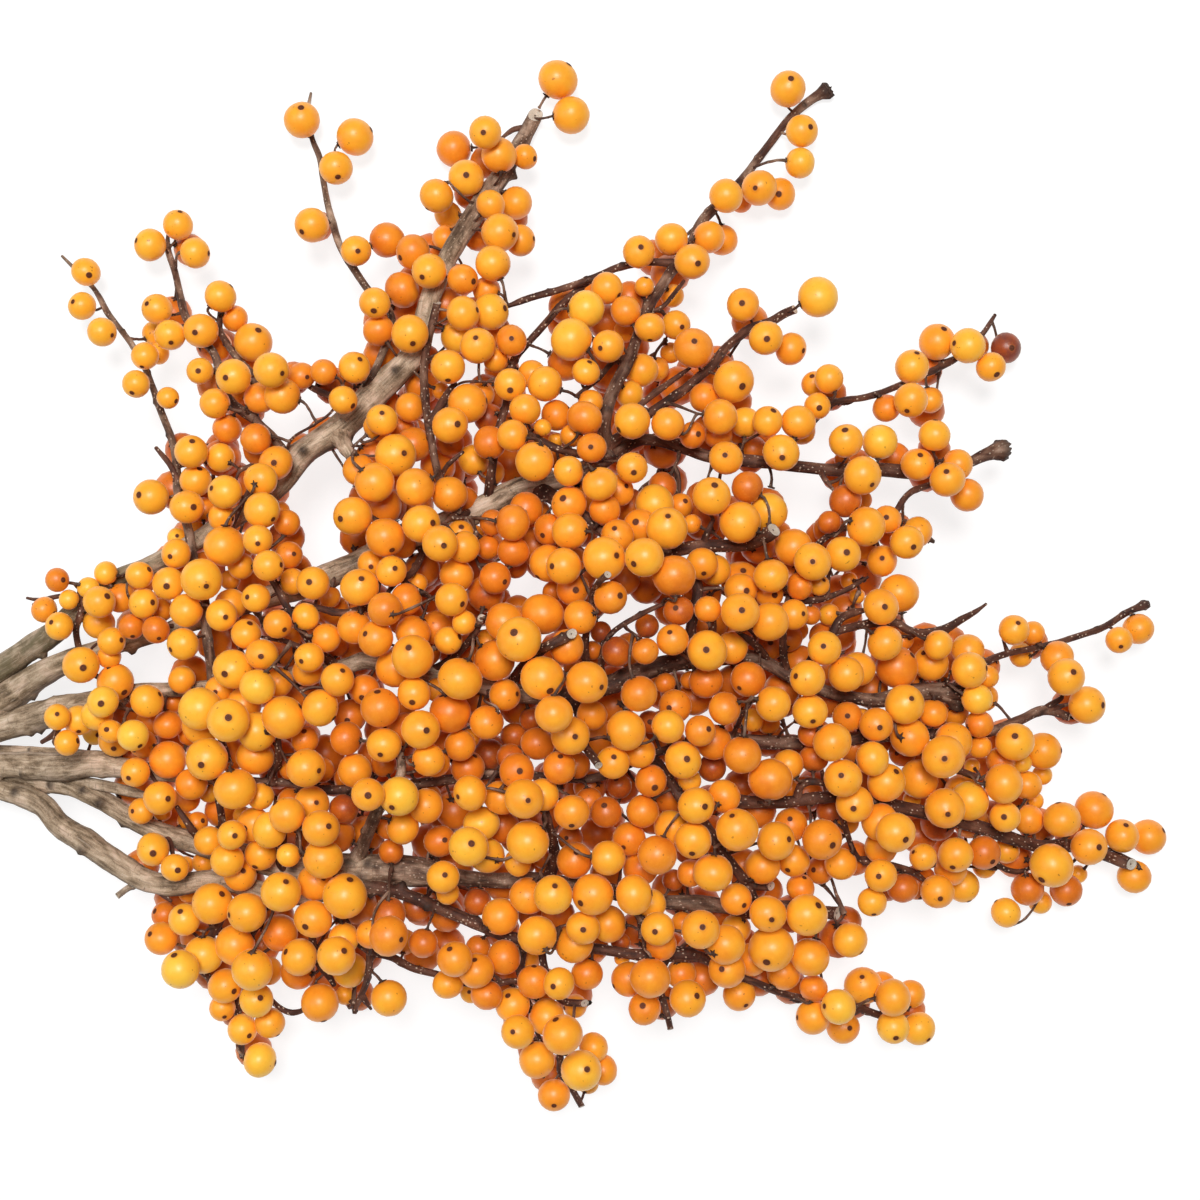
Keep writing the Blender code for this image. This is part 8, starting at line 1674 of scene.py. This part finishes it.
def build_sprig():
    shoots, rows, hidden, p, size, (pos, rad, group, ties, perched) = layout()
    for name, (reach, span, lift) in RAISED.items():
        plan = shoots[name]["plan"]
        run = np.concatenate([[0.0], np.cumsum(np.hypot(np.diff(plan[:, 0]), np.diff(plan[:, 1])))])
        shoots[name]["level"] = int((run[-1] - run > reach - 4.0).sum())
        z = shoots[name]["line"][:, 2] + lift * smooth((reach - (run[-1] - run)) / span)
        shoots[name]["line"] = line_of(plan, z)
    shoots["A2"]["end"] = "taper"
    shown = len(rows)
    rng = np.random.default_rng(11)
    wood = np.vstack([shoot["line"] for shoot in shoots.values()])
    ways = faced(rows, p, size, wood, rng)
    used = [k for k in range(len(p)) if k < shown or group[k] >= 0]
    paths, load = grow(shoots, p, size, ways, used, rng)
    skin = berry_paint()
    grey, purple = bark_paint("grey_bark"), bark_paint("purple_twig")

    def shaded_tone_of(k):
        # Berries below the crown get a darker tone, which is painted shade.
        if k >= shown:
            return 0.72 + 0.12 * float(hidden[k - shown, 5] > 0)
        if abs(rows[k, 0] - 1006) + abs(rows[k, 1] - 348) < 8:
            return 1.16  # the one overripe berry
        base = {0: 0.36, 1: 0.14, 2: 0.56, 3: 0.80}[int(rows[k, 6])]
        u, v = rows[k, 0], rows[k, 1]
        # Painted shade: berries on lower layers and in the thick middle of the sprig get a darker tone. Painted light:
        # berries towards the left get a paler tone.
        deep = math.exp(-(((u - 530.0) / 230.0) ** 2) - ((v - 600.0) / 170.0) ** 2)
        pale = float(smooth((340.0 - u) / 150.0))
        return min(1.0, base + 0.08 * rows[k, 3] + (0.06 + 0.05 * rows[k, 3]) * deep - 0.07 * pale)

    def put_berries(name, members, *nodes):
        fruit, stalks = Skin(), Skin()
        for k in members:
            seen = k < shown and (rows[k, 4] or rows[k, 5])
            form = 2 if k >= shown else (0 if seen else 1)
            add_berry(fruit, p[k], size[k], ways[k], shaded_tone_of(k), form, rng)
            add_stalk(stalks, paths[k], load[k], ways[k], size[k], rng)
        made = fruit.finish("berries_" + name, skin, "berry_skin")
        stalks.finish("stalks_" + name, purple, "purple_twig")
        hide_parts(*nodes)

    for c in range(CLUSTERS):
        members = [int(k) for k in np.nonzero(group[: len(p)] == c)[0]]
        put_berries(f"{c + 1:02d}", members, f"berry_cluster_{c + 1:02d}")
    put_berries("single", [k for k, _, _ in perched if k < shown])

    made = stem_piece(shoots, grey, rng)
    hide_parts("main_stem")
    green_of = {"A": 0.95, "B": 0.25, "C": 0.10, "D": 0.05, "F": 0.10, "G": 0.10}
    owner = {name: node for node, names in OWN.items() for name in names.split()}
    pieces = {}
    for name, shoot in shoots.items():
        if name == "stem":
            continue
        node = owner.get(name)
        a = name
        while a not in owner and a != "stem":
            a = shoots[a]["parent"]
        key = node or "twigs_" + owner.get(a, "main_stem")
        line = shoot["line"]
        woody, green = None, 0.0
        if name in "ABCDFG":
            line = line[shoot["plan"][:, 0] > -14.0]
            green = green_of[name]
        elif shoot["kind"] == "twig":
            woody = 0.0
        if shoot["kind"] == "branch":
            woody = 0.12
        skin_here = pieces.setdefault(key, Skin())
        add_shoot(skin_here, shoot, line, rng, woody, green, spurs_of(name, line, rng), open_start=name in "ABCDFG")
    for key, piece in pieces.items():
        limb = key.startswith("limb")
        made = piece.finish(key + ("_bark" if key in OWN else ""), grey if limb else purple, "grey_bark" if limb else "purple_twig")
        if key in OWN:
            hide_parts(key)


def build_stage():
    floor_mesh = bpy.data.meshes.new("floor")
    floor_mesh.from_pydata([(-4, -4, -0.0003), (4, -4, -0.0003), (4, 4, -0.0003), (-4, 4, -0.0003)], [], [(0, 1, 2, 3)])
    floor = bpy.data.objects.new("floor", floor_mesh)
    bpy.context.scene.collection.objects.link(floor)
    mat = bpy.data.materials.new("floor_white")
    mat.use_nodes = True
    skin = mat.node_tree.nodes["Principled BSDF"]
    skin.inputs["Base Color"].default_value = (0.25, 0.25, 0.25, 1.0)
    skin.inputs["Roughness"].default_value = 0.9
    skin.inputs["Specular IOR Level"].default_value = 0.1
    skin.inputs["Emission Color"].default_value = (1.0, 1.0, 1.0, 1.0)
    skin.inputs["Emission Strength"].default_value = 0.82
    floor_mesh.materials.append(mat)

    world = bpy.data.worlds.new("studio")
    bpy.context.scene.world = world
    world.use_nodes = True
    back = world.node_tree.nodes["Background"]
    back.inputs["Color"].default_value = (1.0, 1.0, 1.0, 1.0)
    back.inputs["Strength"].default_value = 0.16

    def lamp(name, place, aim, wide, power, colour=(1.0, 1.0, 1.0)):
        light = bpy.data.lights.new(name, "AREA")
        light.shape = "DISK"
        light.size = wide
        light.energy = power
        light.color = colour
        obj = bpy.data.objects.new(name, light)
        bpy.context.scene.collection.objects.link(obj)
        obj.location = place
        from_to = np.array(aim, float) - np.array(place, float)
        from_to /= np.linalg.norm(from_to)
        x = np.cross(from_to, [0.0, 1.0, 0.02])
        x /= np.linalg.norm(x)
        y = np.cross(x, from_to)
        from mathutils import Matrix

        turn = Matrix([[x[0], y[0], -from_to[0]], [x[1], y[1], -from_to[1]], [x[2], y[2], -from_to[2]]])
        obj.rotation_euler = turn.to_euler()
        return obj

    lamp("key", (0.02, 0.30, 1.28), (0.0, 0.0, 0.02), 0.40, 15.0)
    lamp("fill", (-0.8, 0.1, 0.9), (0.0, 0.0, 0.0), 0.8, 2.6)

    camera = bpy.data.cameras.new("camera")
    camera.sensor_width = 36.0
    camera.lens = 36.0 * PLAN_MM / 1200.0
    camera.clip_start = 0.01
    camera.clip_end = 20.0
    eye = bpy.data.objects.new("camera", camera)
    bpy.context.scene.collection.objects.link(eye)
    eye.location = (SHIFT[0] * MM, SHIFT[1] * MM, EYE_MM * MM)
    eye.rotation_euler = (0.0, 0.0, 0.0)
    bpy.context.scene.camera = eye
    bpy.context.scene.view_settings.view_transform = "Standard"
    bpy.context.scene.view_settings.look = "None"


build_stage()
build_sprig()
